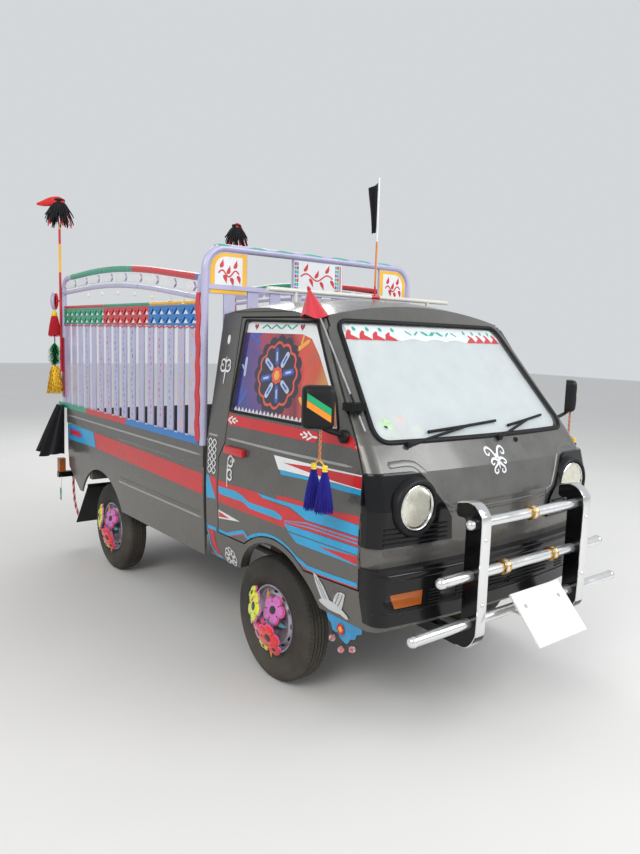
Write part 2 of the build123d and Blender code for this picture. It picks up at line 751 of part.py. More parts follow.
def skin_x(y, z):
    """Outer skin of the cab's front at a place across and up."""
    rows = zip(CAB_SECTIONS, CAB_SECTIONS[1:])
    (z0, nose0, half0), (z1, nose1, half1) = next(pair for pair in rows if z <= pair[1][0])
    share = (z - z0) / (z1 - z0)
    nose = nose0 + share * (nose1 - nose0)
    shoulder_y = half0 + share * (half1 - half0) - CAB_CORNER_R
    return nose - CAB_BOW * (y / shoulder_y) ** 2


WIPERS = [  # pivot across and up, blade's inner and outer end across and up
    ((-470, 1138), (-330, 1176), (100, 1200)),
    ((50, 1138), (170, 1178), (480, 1206)),
]
WIPER_R = 6
WIPER_CLEAR = 5
PIVOT_R = 12
PIVOT_OUT = 20
PIVOT_LONG = 60


def on_glass(y, z):
    """Axis of a wiper blade that lies just off the windscreen."""
    return (skin_x(y, z) - GLASS_SET + WIPER_CLEAR + WIPER_R, y, z)


wiper_set = []
for (py, pz), inner_end, tip in WIPERS:
    stand = skin_x(py, pz) + PIVOT_OUT
    middle = tuple((a + b) / 2 for a, b in zip(inner_end, tip))
    pivot = rod((stand - PIVOT_LONG, py, pz), (stand, py, pz), PIVOT_R) - skin
    lift = (on_glass(*middle)[0] + WIPER_R, *middle)
    blade = rod(on_glass(*inner_end), on_glass(*middle), WIPER_R)
    blade += rod(on_glass(*middle), on_glass(*tip), WIPER_R)
    wiper_set.append(pivot + rod((stand - 4, py, pz), lift, WIPER_R) + blade)
keep("wipers", *wiper_set)

# Loading bed
RAIL_LEDGE = 44
BED_BEAD_Z = (875, 885)
BED_BEAD = 6
BED_FOOT_Z = 575
bed_side_section = sheet(
    (BED_SIDE_Y - BED_SIDE_T, BED_SKIRT),
    (BED_SIDE_Y - 12, BED_SKIRT),
    (BED_SIDE_Y - BED_BEAD, BED_FOOT_Z),
    (BED_SIDE_Y, BED_KNEE),
    (BED_SIDE_Y, BED_BEAD_Z[0]),
    (BED_SIDE_Y + BED_BEAD, BED_BEAD_Z[1]),
    (BED_SIDE_Y + BED_BEAD, BED_TOP),
    (BED_SIDE_Y - RAIL_LEDGE, BED_TOP),
    (BED_SIDE_Y - RAIL_LEDGE, BED_TOP - 30),
    (BED_SIDE_Y - BED_SIDE_T, BED_TOP - RAIL_LEDGE),
)
bed_side = along(bed_side_section, BED_REAR, BED_FRONT)
pin_hole_y = (BED_SIDE_Y - 60, BED_SIDE_Y + 20)
bed_side -= rod((HINGE_X, pin_hole_y[0], HINGE_Z), (HINGE_X, pin_hole_y[1], HINGE_Z), HINGE_R + HINGE_FIT)
arch_x, arch_z, arch_r = REAR_ARCH
bed_side -= circle_arch(REAR_ARCH, 500, 800)
tail_cut = sheet((BED_REAR - 20, 580), (arch_x - arch_r * 0.9, 400), (BED_REAR - 20, 400))
bed_side -= across(tail_cut, 500, 800)
keep("bed_side_left", bed_side)
keep("bed_side_right", mirror(bed_side, Plane.XZ))
BEARER_HALF = 26
CLEATS = (-900, -1200, -1500, -1800, -2100)
CLEAT_HALF = 60
CLEAT_T = 5
FRONT_BOARD_T = 24
bed_half = BED_SIDE_Y - BED_SIDE_T - SEAT_GAP
bed_tail = BED_REAR + TAILGATE_T + GATE_SWEEP
floor_low = BED_FLOOR_Z - BED_FLOOR_T
bed_floor = block(bed_tail, -bed_half, floor_low, BED_FRONT, bed_half, BED_FLOOR_Z)
board_half = bed_half - 30
bed_floor += block(BED_FRONT - FRONT_BOARD_T, -board_half, BED_FLOOR_Z, BED_FRONT, board_half, BED_TOP - 12)
for x in BEARER_X:
    bed_floor += block(x - BEARER_HALF, -bed_half, RAIL_Z + RAIL_H, x + BEARER_HALF, bed_half, floor_low)
cleat_half = bed_half - 60
for x in CLEATS:
    bed_floor += block(
        x - CLEAT_HALF, -cleat_half, BED_FLOOR_Z, x + CLEAT_HALF, cleat_half, BED_FLOOR_Z + CLEAT_T
    )
keep("bed_floor", bed_floor)

GATE_PANELS = ((-560, -210), (-175, 175), (210, 560))
GATE_PANEL_Z = (700, 930)
GATE_PANEL_DEEP = 8
gate_half = BED_SIDE_Y - RAIL_LEDGE - TAILGATE_GAP
pin_half = BED_SIDE_Y - 2
gate = block(BED_REAR, -gate_half, BED_FLOOR_Z - TAILGATE_T, BED_REAR + TAILGATE_T, gate_half, BED_TOP - 8)
gate += rod((HINGE_X, -pin_half, HINGE_Z), (HINGE_X, pin_half, HINGE_Z), HINGE_R)
for y0, y1 in GATE_PANELS:
    gate -= block(BED_REAR - 1, y0, GATE_PANEL_Z[0], BED_REAR + GATE_PANEL_DEEP, y1, GATE_PANEL_Z[1])
keep("tailgate", gate)

# Rear bar on arms from the rails, mudflaps and the rope that holds them back
REAR_BAR_HALF = 750
rear_bar = block(
    REAR_BAR_X - 20, -REAR_BAR_HALF, REAR_BAR_Z[0], REAR_BAR_X + 20, REAR_BAR_HALF, REAR_BAR_Z[1]
)
for sign in (-1, 1):
    y0, y1 = sorted((sign * (RAIL_Y - 20), sign * (RAIL_Y + 20)))
    rear_bar += block(REAR_BAR_X, y0, REAR_BAR_Z[0] + 4, RAIL_REAR - SEAT_GAP, y1, REAR_BAR_Z[1] - 4)
keep("rear_bar", rear_bar)
FLAP_TOP = (-2238, 470)
FLAP_LOW = (-2470, 165)
FLAP_Y = (500, 668)
FLAP_SET = (4, -3)
flap_face = sheet(
    FLAP_TOP,
    FLAP_LOW,
    (FLAP_LOW[0] + FLAP_SET[0], FLAP_LOW[1] + FLAP_SET[1]),
    (FLAP_TOP[0] + FLAP_SET[0], FLAP_TOP[1] + FLAP_SET[1]),
)
flap = across(flap_face, *FLAP_Y)
hanger_foot = RAIL_Y + RAIL_W / 2 + SEAT_GAP
hanger = rectangle(FLAP_TOP[0] - 14, FLAP_TOP[1] - 12, FLAP_TOP[0] + 10, FLAP_TOP[1] + 12)
flap += across(hanger, hanger_foot, FLAP_Y[1] - 4)
keep("mudflaps", both(flap))

ROPE_R = 9
ROPE_POINTS = [
    (-2600, 640, 480),
    (-2600, 640, 430),
    (-2589, 642, 376),
    (-2566, 646, 322),
    (-2532, 650, 273),
    (-2490, 653, 238),
    (-2447, 655, 212),
]
ROPE_BEND_SHARE = 0.45
rope_radii = []
for before, here, after in zip(ROPE_POINTS, ROPE_POINTS[1:], ROPE_POINTS[2:]):
    first = Vector(*here) - Vector(*before)
    second = Vector(*after) - Vector(*here)
    turn = math.radians(first.get_angle(second))
    rope_radii.append(ROPE_BEND_SHARE * min(first.length, second.length) / math.tan(turn / 2))
keep("rope", both(tube(ROPE_POINTS, rope_radii, ROPE_R)))

# Side racks
INNER_HOOP_R = 13
PLATE_WIRE_R = 5
HOOP_PLATE_TALL = 23
HOOP_PLATE_T = 8
HOOP_PLATE_BEVEL = 22
RAIL_BOARD_T = 30
FRET_PANEL_T = 12
FRET_MARGIN = 10
FRET_RIB = 12
CAP_ROD_R = 8


def arch_points(x0, x1, drop):
    """Ends and crest of the hoop's arch, or of a line that runs parallel below it."""
    crest_x = (RACK_REAR + RACK_POST_X) / 2
    crest = (crest_x, RACK_Y, HOOP_CREST_Z - drop)
    rear = (x0, RACK_Y, HOOP_CREST_Z - drop - HOOP_REAR_FALL * (crest_x - x0) / 1000)
    front = (x1, RACK_Y, HOOP_CREST_Z - drop - HOOP_FRONT_FALL * (x1 - crest_x) / 1000)
    return [rear, crest, front]


def fret_panel():
    """Long panel with two rows of triangles cut through it."""
    inside = RACK_POST_X - RACK_REAR - 2 * RACK_TUBE_R
    cell = inside / FRET_CELLS
    row_h = (PANEL_HIGH - PANEL_LOW - 3 * FRET_RIB) / 2
    half = FRET_PANEL_T / 2
    panel = across(rectangle(RACK_REAR, PANEL_LOW, RACK_POST_X, PANEL_HIGH), RACK_Y - half, RACK_Y + half)
    for row in range(2):
        z0 = PANEL_LOW + FRET_RIB + row * (row_h + FRET_RIB)
        for k in range(FRET_CELLS):
            x0 = RACK_REAR + RACK_TUBE_R + cell * k
            left, right, top = x0 + FRET_MARGIN, x0 + cell - FRET_MARGIN, x0 + cell / 2
            hole = sheet((left, z0), (right, z0), (top, z0 + row_h))
            panel -= across(hole, RACK_Y - 20, RACK_Y + 20)
    return panel


def hoop_plates(plate_line):
    """Six-sided plates strung on the wire between the two hoops."""
    line = FilletPolyline(*plate_line, radius=[HOOP_R])
    w = 0.5 / PLATE_COUNT * (RACK_POST_X - RACK_REAR) - 10
    h = HOOP_PLATE_TALL
    short = w - HOOP_PLATE_BEVEL
    outline = sheet((-w, 0), (-short, h), (short, h), (w, 0), (short, -h), (-short, -h))
    plates = []
    for k in range(PLATE_COUNT):
        share = (k + 0.7) / (PLATE_COUNT + 0.4)
        slope = math.degrees(math.asin((line % share).Z))
        plate = across(outline, -HOOP_PLATE_T / 2, HOOP_PLATE_T / 2)
        plates.append(Pos(*(line @ share)) * (Rot(0, -slope, 0) * plate))
    return plates


def side_rack():
    y, front = RACK_Y, RACK_POST_X
    rear_end, crest, front_end = arch_points(RACK_REAR, front, 0)
    rack = tube([(RACK_REAR, y, BED_TOP), rear_end, crest, front_end], [HOOP_BEND, HOOP_R], RACK_TUBE_R)
    rack += rod((front, y, BED_TOP), front_end, RACK_TUBE_R)
    rack += Pos(*front_end) * Sphere(RACK_TUBE_R)
    rack += tube(arch_points(RACK_REAR, front, INNER_DROP), [HOOP_R], INNER_HOOP_R)
    plate_line = arch_points(RACK_REAR, front, INNER_DROP / 2)
    rack += tube(plate_line, [HOOP_R], PLATE_WIRE_R)
    board_half = RAIL_BOARD_T / 2
    board_top = RAIL_TOP + 6
    rack += block(RACK_REAR - 100, y - board_half, BED_TOP, front + RACK_TUBE_R, y + board_half, board_top)
    pitch = (front - RACK_REAR - 2 * RACK_TUBE_R) / SLAT_COUNT
    for k in range(SLAT_COUNT):
        x = RACK_REAR + RACK_TUBE_R + pitch * (k + 0.5)
        slat = rectangle(x - SLAT_W / 2, RAIL_TOP, x + SLAT_W / 2, PANEL_LOW + 4)
        rack += across(slat, y - SLAT_T / 2, y + SLAT_T / 2)
    rack += fret_panel()
    cap_z = PANEL_HIGH + 12
    rack += rod((RACK_REAR, y, cap_z), (front, y, cap_z), CAP_ROD_R)
    rack += across(rectangle(RACK_REAR, PANEL_HIGH - 2, front, cap_z), y - 3, y + 3)
    for plate in hoop_plates(plate_line):
        rack += plate
    return rack


rack = side_rack()
keep("side_rack_left", rack)
keep("side_rack_right", mirror(rack, Plane.XZ))

# Headboard behind the cab
BOARD_SLATS = range(-4, 5)
BOARD_PITCH = 138
BOARD_SLAT_HALF = 32
BOARD_T = 5
MID_RAIL_Z = (1755, 1778)
CORNER_PANEL = [(452, 1732), (682, 1732), (682, 1945, 96), (452, 1945)]
CENTRE_PANEL = (-165, 1770, 175, 1945, 6)
board = tube(
    [
        (HEADBOARD_X, -RACK_Y, BED_TOP),
        (HEADBOARD_X, -RACK_Y, HEADBOARD_TOP),
        (HEADBOARD_X, RACK_Y, HEADBOARD_TOP),
        (HEADBOARD_X, RACK_Y, BED_TOP),
    ],
    [HEADBOARD_CORNER, HEADBOARD_CORNER],
    HEADBOARD_R,
)
board += block(HEADBOARD_X - 12, -RACK_Y, MID_RAIL_Z[0], HEADBOARD_X + 12, RACK_Y, MID_RAIL_Z[1])
foot_half = RACK_Y - 16
board += block(HEADBOARD_X - 14, -foot_half, BED_TOP, HEADBOARD_X + 12, foot_half, BED_TOP + 30)
for k in BOARD_SLATS:
    slat = rectangle(k * BOARD_PITCH - BOARD_SLAT_HALF, BED_TOP + 20, k * BOARD_PITCH + BOARD_SLAT_HALF, 1766)
    board += along(slat, HEADBOARD_X - BOARD_T, HEADBOARD_X + BOARD_T)
corner_panel = along(sheet(*CORNER_PANEL), HEADBOARD_X - BOARD_T - 1, HEADBOARD_X + BOARD_T + 1)
board += corner_panel
board += mirror(corner_panel, Plane.XZ)
board += along(rectangle(*CENTRE_PANEL), HEADBOARD_X - BOARD_T - 1, HEADBOARD_X + BOARD_T + 1)
keep("headboard", board)

# Rods and poles: roof bar with flag pole, aerial, rear corner poles
ROOF_BAR_X, ROOF_BAR_Z = -190, 1746
ROOF_BAR_HALF = 598
ROOF_BAR_R = 11
FLAG_POLE_Y = 55
FLAG_POLE_R = 5
FLAG_POLE_TOP = 2330
AERIAL_FOOT = (545, -640, 1190)
AERIAL_TIP = (118, -590, 1716)
AERIAL_R = 4
POLE_Y = RACK_Y + RACK_TUBE_R + 8 + SEAT_GAP
POLE_R = 8
POLE_Z = (1240, 2440)
CORNER_MIRROR = (RACK_REAR - 92, POLE_Y + 12, 1735)
CORNER_MIRROR_R = 62
CORNER_MIRROR_T = 16
roof_bar = rod((ROOF_BAR_X, -ROOF_BAR_HALF, ROOF_BAR_Z), (ROOF_BAR_X, ROOF_BAR_HALF, ROOF_BAR_Z), ROOF_BAR_R)
for y in (-440, 440):
    roof_bar += rod((ROOF_BAR_X, y, 1690), (ROOF_BAR_X, y, ROOF_BAR_Z), 9)
roof_bar -= outer
roof_bar += rod((ROOF_BAR_X, FLAG_POLE_Y, ROOF_BAR_Z), (ROOF_BAR_X, FLAG_POLE_Y, FLAG_POLE_TOP), FLAG_POLE_R)
keep("roof_bar", roof_bar)
aerial = rod(AERIAL_FOOT, AERIAL_TIP, AERIAL_R)
aerial += block(440, -668, 1262, 500, -600, 1292)
keep("aerial", aerial - skin)

mirror_x, mirror_y, mirror_z = CORNER_MIRROR
poles = rod((RACK_REAR, POLE_Y, POLE_Z[0]), (RACK_REAR, POLE_Y, POLE_Z[1]), POLE_R)
poles += rod((RACK_REAR, POLE_Y, mirror_z), (mirror_x, mirror_y - 2, mirror_z), 6)
poles += Pos(*CORNER_MIRROR) * (Rot(90, 0, 60) * Cylinder(CORNER_MIRROR_R, CORNER_MIRROR_T))
keep("corner_poles", both(poles))

# Tassel bunches on the pole tops and the garlands below the round mirrors
BUNCH = (108, 40, 200, 2330)
GARLAND_X = RACK_REAR - 30
GARLAND_Y = POLE_Y + 34
GARLAND_STRING_R = 5
GARLAND = [  # height of the middle, radius below and above, height
    (1570, 42, 14, 170),
    (1380, 40, 24, 150),
    (1180, 44, 26, 190),
]
low_r, high_r, tall, bunch_z = BUNCH
pole_room = rod((RACK_REAR, POLE_Y, 1000), (RACK_REAR, POLE_Y, 2450), POLE_R + SEAT_GAP)
tube_room = rod((RACK_REAR, RACK_Y, 900), (RACK_REAR, RACK_Y, 2000), RACK_TUBE_R + SEAT_GAP)
bunch = Pos(RACK_REAR, POLE_Y, bunch_z) * Cone(low_r, high_r, tall) - pole_room
garland = rod((GARLAND_X, GARLAND_Y, 1130), (GARLAND_X, GARLAND_Y, 1660), GARLAND_STRING_R)
for z, low_r, high_r, tall in GARLAND:
    garland += Pos(GARLAND_X, GARLAND_Y, z) * Cone(low_r, high_r, tall)
keep("tassels", both(bunch), both(garland - pole_room - tube_room))

# Black cloths that hang from the rear ends of the rack rails
CLOTH_TOP_Z = 1000
CLOTH_HEM_Z = 640
CLOTH_TOP_X = (RACK_REAR - 90, RACK_REAR + 60)
CLOTH_TOP_T = 22
cloth_y = RACK_Y + RACK_TUBE_R + SEAT_GAP
top_rear, top_front = CLOTH_TOP_X
cloth_top = Wire(
    Polyline(
        (top_rear, cloth_y, CLOTH_TOP_Z),
        (top_front, cloth_y, CLOTH_TOP_Z),
        (top_front, cloth_y + CLOTH_TOP_T, CLOTH_TOP_Z),
        (top_rear, cloth_y + CLOTH_TOP_T, CLOTH_TOP_Z),
        close=True,
    )
)
cloth_hem = Wire(
    Polyline(
        (-TAIL_REACH, cloth_y, CLOTH_HEM_Z),
        (-2500, cloth_y, CLOTH_HEM_Z),
        (-2520, 860, CLOTH_HEM_Z),
        (-TAIL_REACH, 880, CLOTH_HEM_Z),
        close=True,
    )
)
keep("corner_cloths", both(Solid.make_loft([cloth_top, cloth_hem], ruled=True)))

# Flags: the roof pole's flag, the aerial's pennant and the small flaps on the front sills
FLAG_X = (-260, ROOF_BAR_X - FLAG_POLE_R - SEAT_GAP)
FLAG_Z = (2060, 2310)
FLAG_T = 6
PENNANT_PLACE = (150, -586, 1676)
PENNANT = (62, 12, 120)
FLAP_EDGE = [(552, 388, 14), (492, 340, 20), (420, 372, 14)]
FLAP_X = (372, 590)
FLAP_T = 6
flag_face = rectangle(FLAG_X[0], FLAG_Z[0], FLAG_X[1], FLAG_Z[1])
flag = across(flag_face, FLAG_POLE_Y - FLAG_T / 2, FLAG_POLE_Y + FLAG_T / 2)
pennant = Pos(*PENNANT_PLACE) * Cone(*PENNANT)
pennant -= rod(AERIAL_FOOT, AERIAL_TIP, AERIAL_R + SEAT_GAP)
pennant -= cab_body(-1, -1, 0, -1)
sill_z, _, sill_half = CAB_SECTIONS[0]
flap_top = sill_z - SEAT_GAP
flap_y = sill_half - 10
sill_flap = across(sheet((FLAP_X[0], flap_top), (FLAP_X[1], flap_top), *FLAP_EDGE), flap_y, flap_y + FLAP_T)
keep("flags", flag, pennant, both(sill_flap))

# Door mirrors with a chain and two tassels
HEAD_PLACE = (478, 815, 1282)
HEAD_HALF = (60, 28, 80)
HEAD_CORNER = 26
HEAD_TURN = -58
MIRROR_ARM = ((470, 672, 1165), (480, 806, 1215))
MIRROR_ARM_R = 9
MIRROR_FOOT = (440, 1148, 500, 1182, 8)
MIRROR_FOOT_Y = (676, 694)
CHAIN_X, CHAIN_Y = 486, 808
CHAIN_Z = (1080, 1215)
CHAIN_R = 5
TASSEL = (27, 12, 160)
TASSEL_Z = 985
TASSEL_APART = 26
for side, sign in (("left", 1), ("right", -1)):
    head_x, head_y, head_z = HEAD_PLACE
    half_wide, half_deep, half_tall = HEAD_HALF
    head = across(rectangle(-half_wide, -half_tall, half_wide, half_tall, HEAD_CORNER), -half_deep, half_deep)
    piece = Pos(head_x, sign * head_y, head_z) * (Rot(0, 0, sign * HEAD_TURN) * head)
    (foot_x, foot_y, foot_z), (end_x, end_y, end_z) = MIRROR_ARM
    piece += rod((foot_x, sign * foot_y, foot_z), (end_x, sign * end_y, end_z), MIRROR_ARM_R)
    piece += across(rectangle(*MIRROR_FOOT), *sorted(sign * y for y in MIRROR_FOOT_Y))
    chain_y = sign * CHAIN_Y
    piece += rod((CHAIN_X, chain_y, CHAIN_Z[0]), (CHAIN_X, chain_y, CHAIN_Z[1]), CHAIN_R)
    for dx in (-TASSEL_APART, TASSEL_APART):
        piece += rod((CHAIN_X, chain_y, CHAIN_Z[0] + 8), (CHAIN_X + dx, chain_y, CHAIN_Z[0] - 18), CHAIN_R - 1)
        piece += Pos(CHAIN_X + dx, chain_y, TASSEL_Z) * Cone(*TASSEL)
    keep("mirror_" + side, piece - skin)


for name, piece in made.items():
    export_step(Pos(AXLE_X, 0, 0) * piece, "parts/" + name + ".step")
print(len(made), "nodes")
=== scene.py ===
# %% [markdown]
# # Dressing a decorated pickup truck
# The truck's shapes come from a CAD model. This lesson gives it its looks: paint and painted stripes,
# glass, rubber, foam flowers, tassels, cloth and rope. Every length is in metres. X points forward,
# Y to the truck's left and Z up, and the ground is at Z = 0.

import json
import math
import random

import bmesh
import bpy
import numpy as np
from mathutils import Matrix, Vector
from mathutils.bvhtree import BVHTree
from mathutils.geometry import tessellate_polygon

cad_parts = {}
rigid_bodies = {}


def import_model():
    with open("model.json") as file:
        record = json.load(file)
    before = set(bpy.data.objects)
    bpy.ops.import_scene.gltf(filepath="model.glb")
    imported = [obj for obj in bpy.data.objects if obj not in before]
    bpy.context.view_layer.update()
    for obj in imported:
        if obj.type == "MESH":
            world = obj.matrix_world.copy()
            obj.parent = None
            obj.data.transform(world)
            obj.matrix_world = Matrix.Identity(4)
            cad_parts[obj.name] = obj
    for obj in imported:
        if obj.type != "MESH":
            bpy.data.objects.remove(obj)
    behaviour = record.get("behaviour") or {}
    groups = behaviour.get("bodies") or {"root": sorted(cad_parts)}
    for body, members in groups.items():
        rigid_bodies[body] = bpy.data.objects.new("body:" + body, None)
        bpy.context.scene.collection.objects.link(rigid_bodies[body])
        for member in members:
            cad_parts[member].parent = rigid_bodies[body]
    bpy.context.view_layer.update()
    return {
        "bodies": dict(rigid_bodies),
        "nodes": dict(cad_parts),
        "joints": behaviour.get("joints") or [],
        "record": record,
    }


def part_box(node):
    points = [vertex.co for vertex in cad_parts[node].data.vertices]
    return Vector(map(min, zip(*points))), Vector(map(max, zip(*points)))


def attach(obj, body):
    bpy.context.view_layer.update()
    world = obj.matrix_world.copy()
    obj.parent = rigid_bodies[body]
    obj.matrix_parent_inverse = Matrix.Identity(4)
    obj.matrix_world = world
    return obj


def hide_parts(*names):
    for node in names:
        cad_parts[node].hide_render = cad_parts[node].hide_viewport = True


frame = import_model()
nodes = frame["nodes"]
scene = bpy.context.scene
scene.view_settings.view_transform = "Standard"
AXLE = 0.86  # the front axle's place along X; the tables below are measured from it
FORWARD, BACKWARD = Vector((1, 0, 0)), Vector((-1, 0, 0))
LEFTWARD, UP = Vector((0, 1, 0)), Vector((0, 0, 1))
SIDES = (("left", 1), ("right", -1))
CORNERS = ("front_left", "front_right", "rear_left", "rear_right")

# %% [markdown]
# ## Camera
# The photograph was taken standing up, ahead of the truck and to its right. Three turns set such a
# camera: yaw round the vertical, pitch up or down, and a slight roll. The view is built from them as
# three directions, because that shows which way each one turns the picture.

# %% Camera at the photograph's angle
CAMERA_PLACE = Vector((3.358, -2.417, 1.533))
CAMERA_YAW, CAMERA_PITCH, CAMERA_ROLL = (math.radians(a) for a in (141.407, -7.147, -1.813))
FOCAL_PIXELS = 709.12
PICTURE_TALL = 854

look = Vector(
    (
        math.cos(CAMERA_PITCH) * math.cos(CAMERA_YAW),
        math.cos(CAMERA_PITCH) * math.sin(CAMERA_YAW),
        math.sin(CAMERA_PITCH),
    )
)
side = look.cross(UP).normalized()
down = look.cross(side)
right = math.cos(CAMERA_ROLL) * side + math.sin(CAMERA_ROLL) * down
low = math.cos(CAMERA_ROLL) * down - math.sin(CAMERA_ROLL) * side

lens = bpy.data.cameras.new("camera")
lens.sensor_width = 36
lens.lens = FOCAL_PIXELS * lens.sensor_width / PICTURE_TALL
lens.clip_end = 200
camera = bpy.data.objects.new("camera", lens)
turn = Matrix((right, -low, -look)).transposed().to_4x4()
camera.matrix_world = Matrix.Translation(CAMERA_PLACE) @ turn
scene.collection.objects.link(camera)
scene.camera = camera
print("lens:", round(lens.lens, 2), "mm")

# %% [markdown]
# ## Helpers for materials
# Almost every finish here is a base colour that is never quite even, a roughness that wanders a
# little, a fine bump, and dust that thickens towards the ground. One helper makes all of that from
# noise in the object's own coordinates, so no finish depends on an unwrapped mesh.

# %% Node helpers
DUST = (0.30, 0.25, 0.19)


def link(tree, source, target):
    """Joins a socket, or sets a plain value."""
    if isinstance(source, bpy.types.NodeSocket):
        tree.links.new(source, target)
    elif isinstance(source, (tuple, list)) and len(source) == 3:
        target.default_value = (*source, 1)
    else:
        target.default_value = source


def maths(tree, operation, a, b=0.0, c=0.0):
    node = tree.nodes.new("ShaderNodeMath")
    node.operation = operation
    for value, socket in zip((a, b, c), node.inputs):
        link(tree, value, socket)
    return node.outputs[0]


def mix(tree, share, a, b):
    node = tree.nodes.new("ShaderNodeMix")
    node.data_type = "RGBA"
    link(tree, share, node.inputs[0])
    link(tree, a, node.inputs[6])
    link(tree, b, node.inputs[7])
    return node.outputs[2]


def spread(tree, value, low_in, high_in, low_out, high_out):
    node = tree.nodes.new("ShaderNodeMapRange")
    for given, socket in zip((value, low_in, high_in, low_out, high_out), node.inputs):
        link(tree, given, socket)
    return node.outputs[0]


def places(tree):
    """The point on the surface in the truck's frame, whole and as X, Y and Z."""
    coords = tree.nodes.new("ShaderNodeTexCoord").outputs["Object"]
    parts = tree.nodes.new("ShaderNodeSeparateXYZ")
    tree.links.new(coords, parts.inputs[0])
    return coords, parts.outputs[0], parts.outputs[1], parts.outputs[2]


def noise(tree, coords, scale, detail=3.0):
    node = tree.nodes.new("ShaderNodeTexNoise")
    tree.links.new(coords, node.inputs["Vector"])
    node.inputs["Scale"].default_value = scale
    node.inputs["Detail"].default_value = detail
    return node.outputs["Fac"]


def uneven(tree, patches, low, high):
    """Noise keeps mostly to its middle, so that range is stretched over the wanted one."""
    return spread(tree, patches, 0.3, 0.7, low, high)


def within(tree, value, low_end, high_end):
    """1 where the value lies between two ends, else 0."""
    return maths(tree, "COMPARE", value, (low_end + high_end) / 2, (high_end - low_end) / 2)


def steps(tree, value, rows, start, end):
    """Colours in hard-edged runs: rows of (where the run starts, colour)."""
    node = tree.nodes.new("ShaderNodeValToRGB")
    ramp = node.color_ramp
    ramp.interpolation = "CONSTANT"
    tree.links.new(spread(tree, value, start, end, 0.0, 1.0), node.inputs[0])
    for k, (place, colour) in enumerate(rows):
        stop = ramp.elements[k] if k < 2 else ramp.elements.new(1)
        stop.position = max(0, (place - start) / (end - start))
        stop.color = (*colour, 1)
    return node.outputs[0]


def finish(
    name, colour, rough=0.4, metallic=0.0, coat=0.0, mottle=0.08, mottle_scale=9.0, grain=0.02,
    grain_scale=260.0, dust=0.0, dust_top=0.75, sheen=0.0, wander=0.08, weave=0.0, gloss=0.5,
):
    """An opaque finish. colour is a colour, or a function that makes one from the tree and the place."""
    material = bpy.data.materials.new(name)
    material.use_nodes = True
    tree = material.node_tree
    shader = tree.nodes["Principled BSDF"]
    coords, x, y, z = places(tree)
    base = colour(tree, x, y, z) if callable(colour) else colour
    patches = noise(tree, coords, mottle_scale)
    shade = tree.nodes.new("ShaderNodeHueSaturation")
    link(tree, uneven(tree, patches, 1 - mottle, 1 + mottle), shade.inputs["Value"])
    link(tree, base, shade.inputs["Color"])
    base = shade.outputs[0]
    if dust:
        low_down = spread(tree, z, 0.1, dust_top, 1.0, 0.0)
        settled = maths(tree, "MULTIPLY", low_down, uneven(tree, noise(tree, coords, 5.0), 0.3, 1.0))
        base = mix(tree, maths(tree, "MULTIPLY", settled, dust), base, DUST)
    link(tree, base, shader.inputs["Base Color"])
    fine = noise(tree, coords, grain_scale, 2.0)
    link(tree, uneven(tree, patches, max(rough - wander, 0.02), rough + wander), shader.inputs["Roughness"])
    shader.inputs["Metallic"].default_value = metallic
    shader.inputs["Specular IOR Level"].default_value = gloss
    shader.inputs["Coat Weight"].default_value = coat
    shader.inputs["Coat Roughness"].default_value = 0.08
    shader.inputs["Sheen Weight"].default_value = sheen
    height = fine
    if weave:
        waves = [maths(tree, "SINE", maths(tree, "MULTIPLY", axis, 2 * math.pi / weave)) for axis in (x, y, z)]
        height = maths(tree, "ADD", maths(tree, "ADD", waves[0], waves[1]), waves[2])
    bump = tree.nodes.new("ShaderNodeBump")
    bump.inputs["Strength"].default_value = 0.6 if weave else 0.35
    bump.inputs["Distance"].default_value = weave / 6 if weave else grain * 0.01
    tree.links.new(height, bump.inputs["Height"])
    tree.links.new(bump.outputs[0], shader.inputs["Normal"])
    return material


def glassy(name, colour, rough=0.03, alpha=0.35):
    """A thin clear or tinted pane."""
    material = bpy.data.materials.new(name)
    material.use_nodes = True
    tree = material.node_tree
    shader = tree.nodes["Principled BSDF"]
    coords = places(tree)[0]
    smears = noise(tree, coords, 12.0)
    link(tree, mix(tree, smears, colour, tuple(c * 0.85 for c in colour)), shader.inputs["Base Color"])
    link(tree, uneven(tree, smears, rough, rough + 0.05), shader.inputs["Roughness"])
    shader.inputs["Alpha"].default_value = alpha
    shader.inputs["IOR"].default_value = 1.45
    return material


def wear(node, material):
    """Gives a CAD node its finish."""
    slots = nodes[node].data.materials
    slots.clear()
    slots.append(material)


print("helpers for finishes are ready")

# %% [markdown]
# ## Helpers for meshes
# Trim, seals and tubes are one shape drawn along a line, so one helper sweeps a section along any
# path. Its section turns with the path, and where a surface is given as guide it stays square to it.

# %% Mesh helpers
def add_mesh(name, points, faces, material, smooth=35):
    data = bpy.data.meshes.new(name)
    data.from_pydata([tuple(p) for p in points], [], faces)
    data.update()
    piece = bpy.data.objects.new(name, data)
    scene.collection.objects.link(piece)
    for one in material if isinstance(material, (list, tuple)) else [material]:
        data.materials.append(one)
    if smooth:
        data.shade_smooth()
        data.set_sharp_from_angle(angle=math.radians(smooth))
    return piece


def smooth_line(points, count=8, closed=False):
    """A line of many points that runs smoothly through a few."""
    rows = [Vector(p) for p in points]
    total = len(rows)
    line = []
    for k in range(total if closed else total - 1):
        a, b = rows[k], rows[(k + 1) % total]
        before = rows[k - 1] if closed or k else a + (a - b)
        after = rows[(k + 2) % total] if closed or k + 2 < total else b + (b - a)
        for j in range(count):
            t = j / count
            line.append(
                0.5 * (2 * a + (b - before) * t + (2 * before - 5 * a + 4 * b - after) * t**2)
                + 0.5 * (3 * a - before - 3 * b + after) * t**3
            )
    return line if closed else line + [rows[-1]]


def heading(line, k):
    """The direction of a line at one of its points."""
    return (line[min(k + 1, len(line) - 1)] - line[max(k - 1, 0)]).normalized()


def circle_angles(count):
    return [2 * math.pi * k / count for k in range(count)]


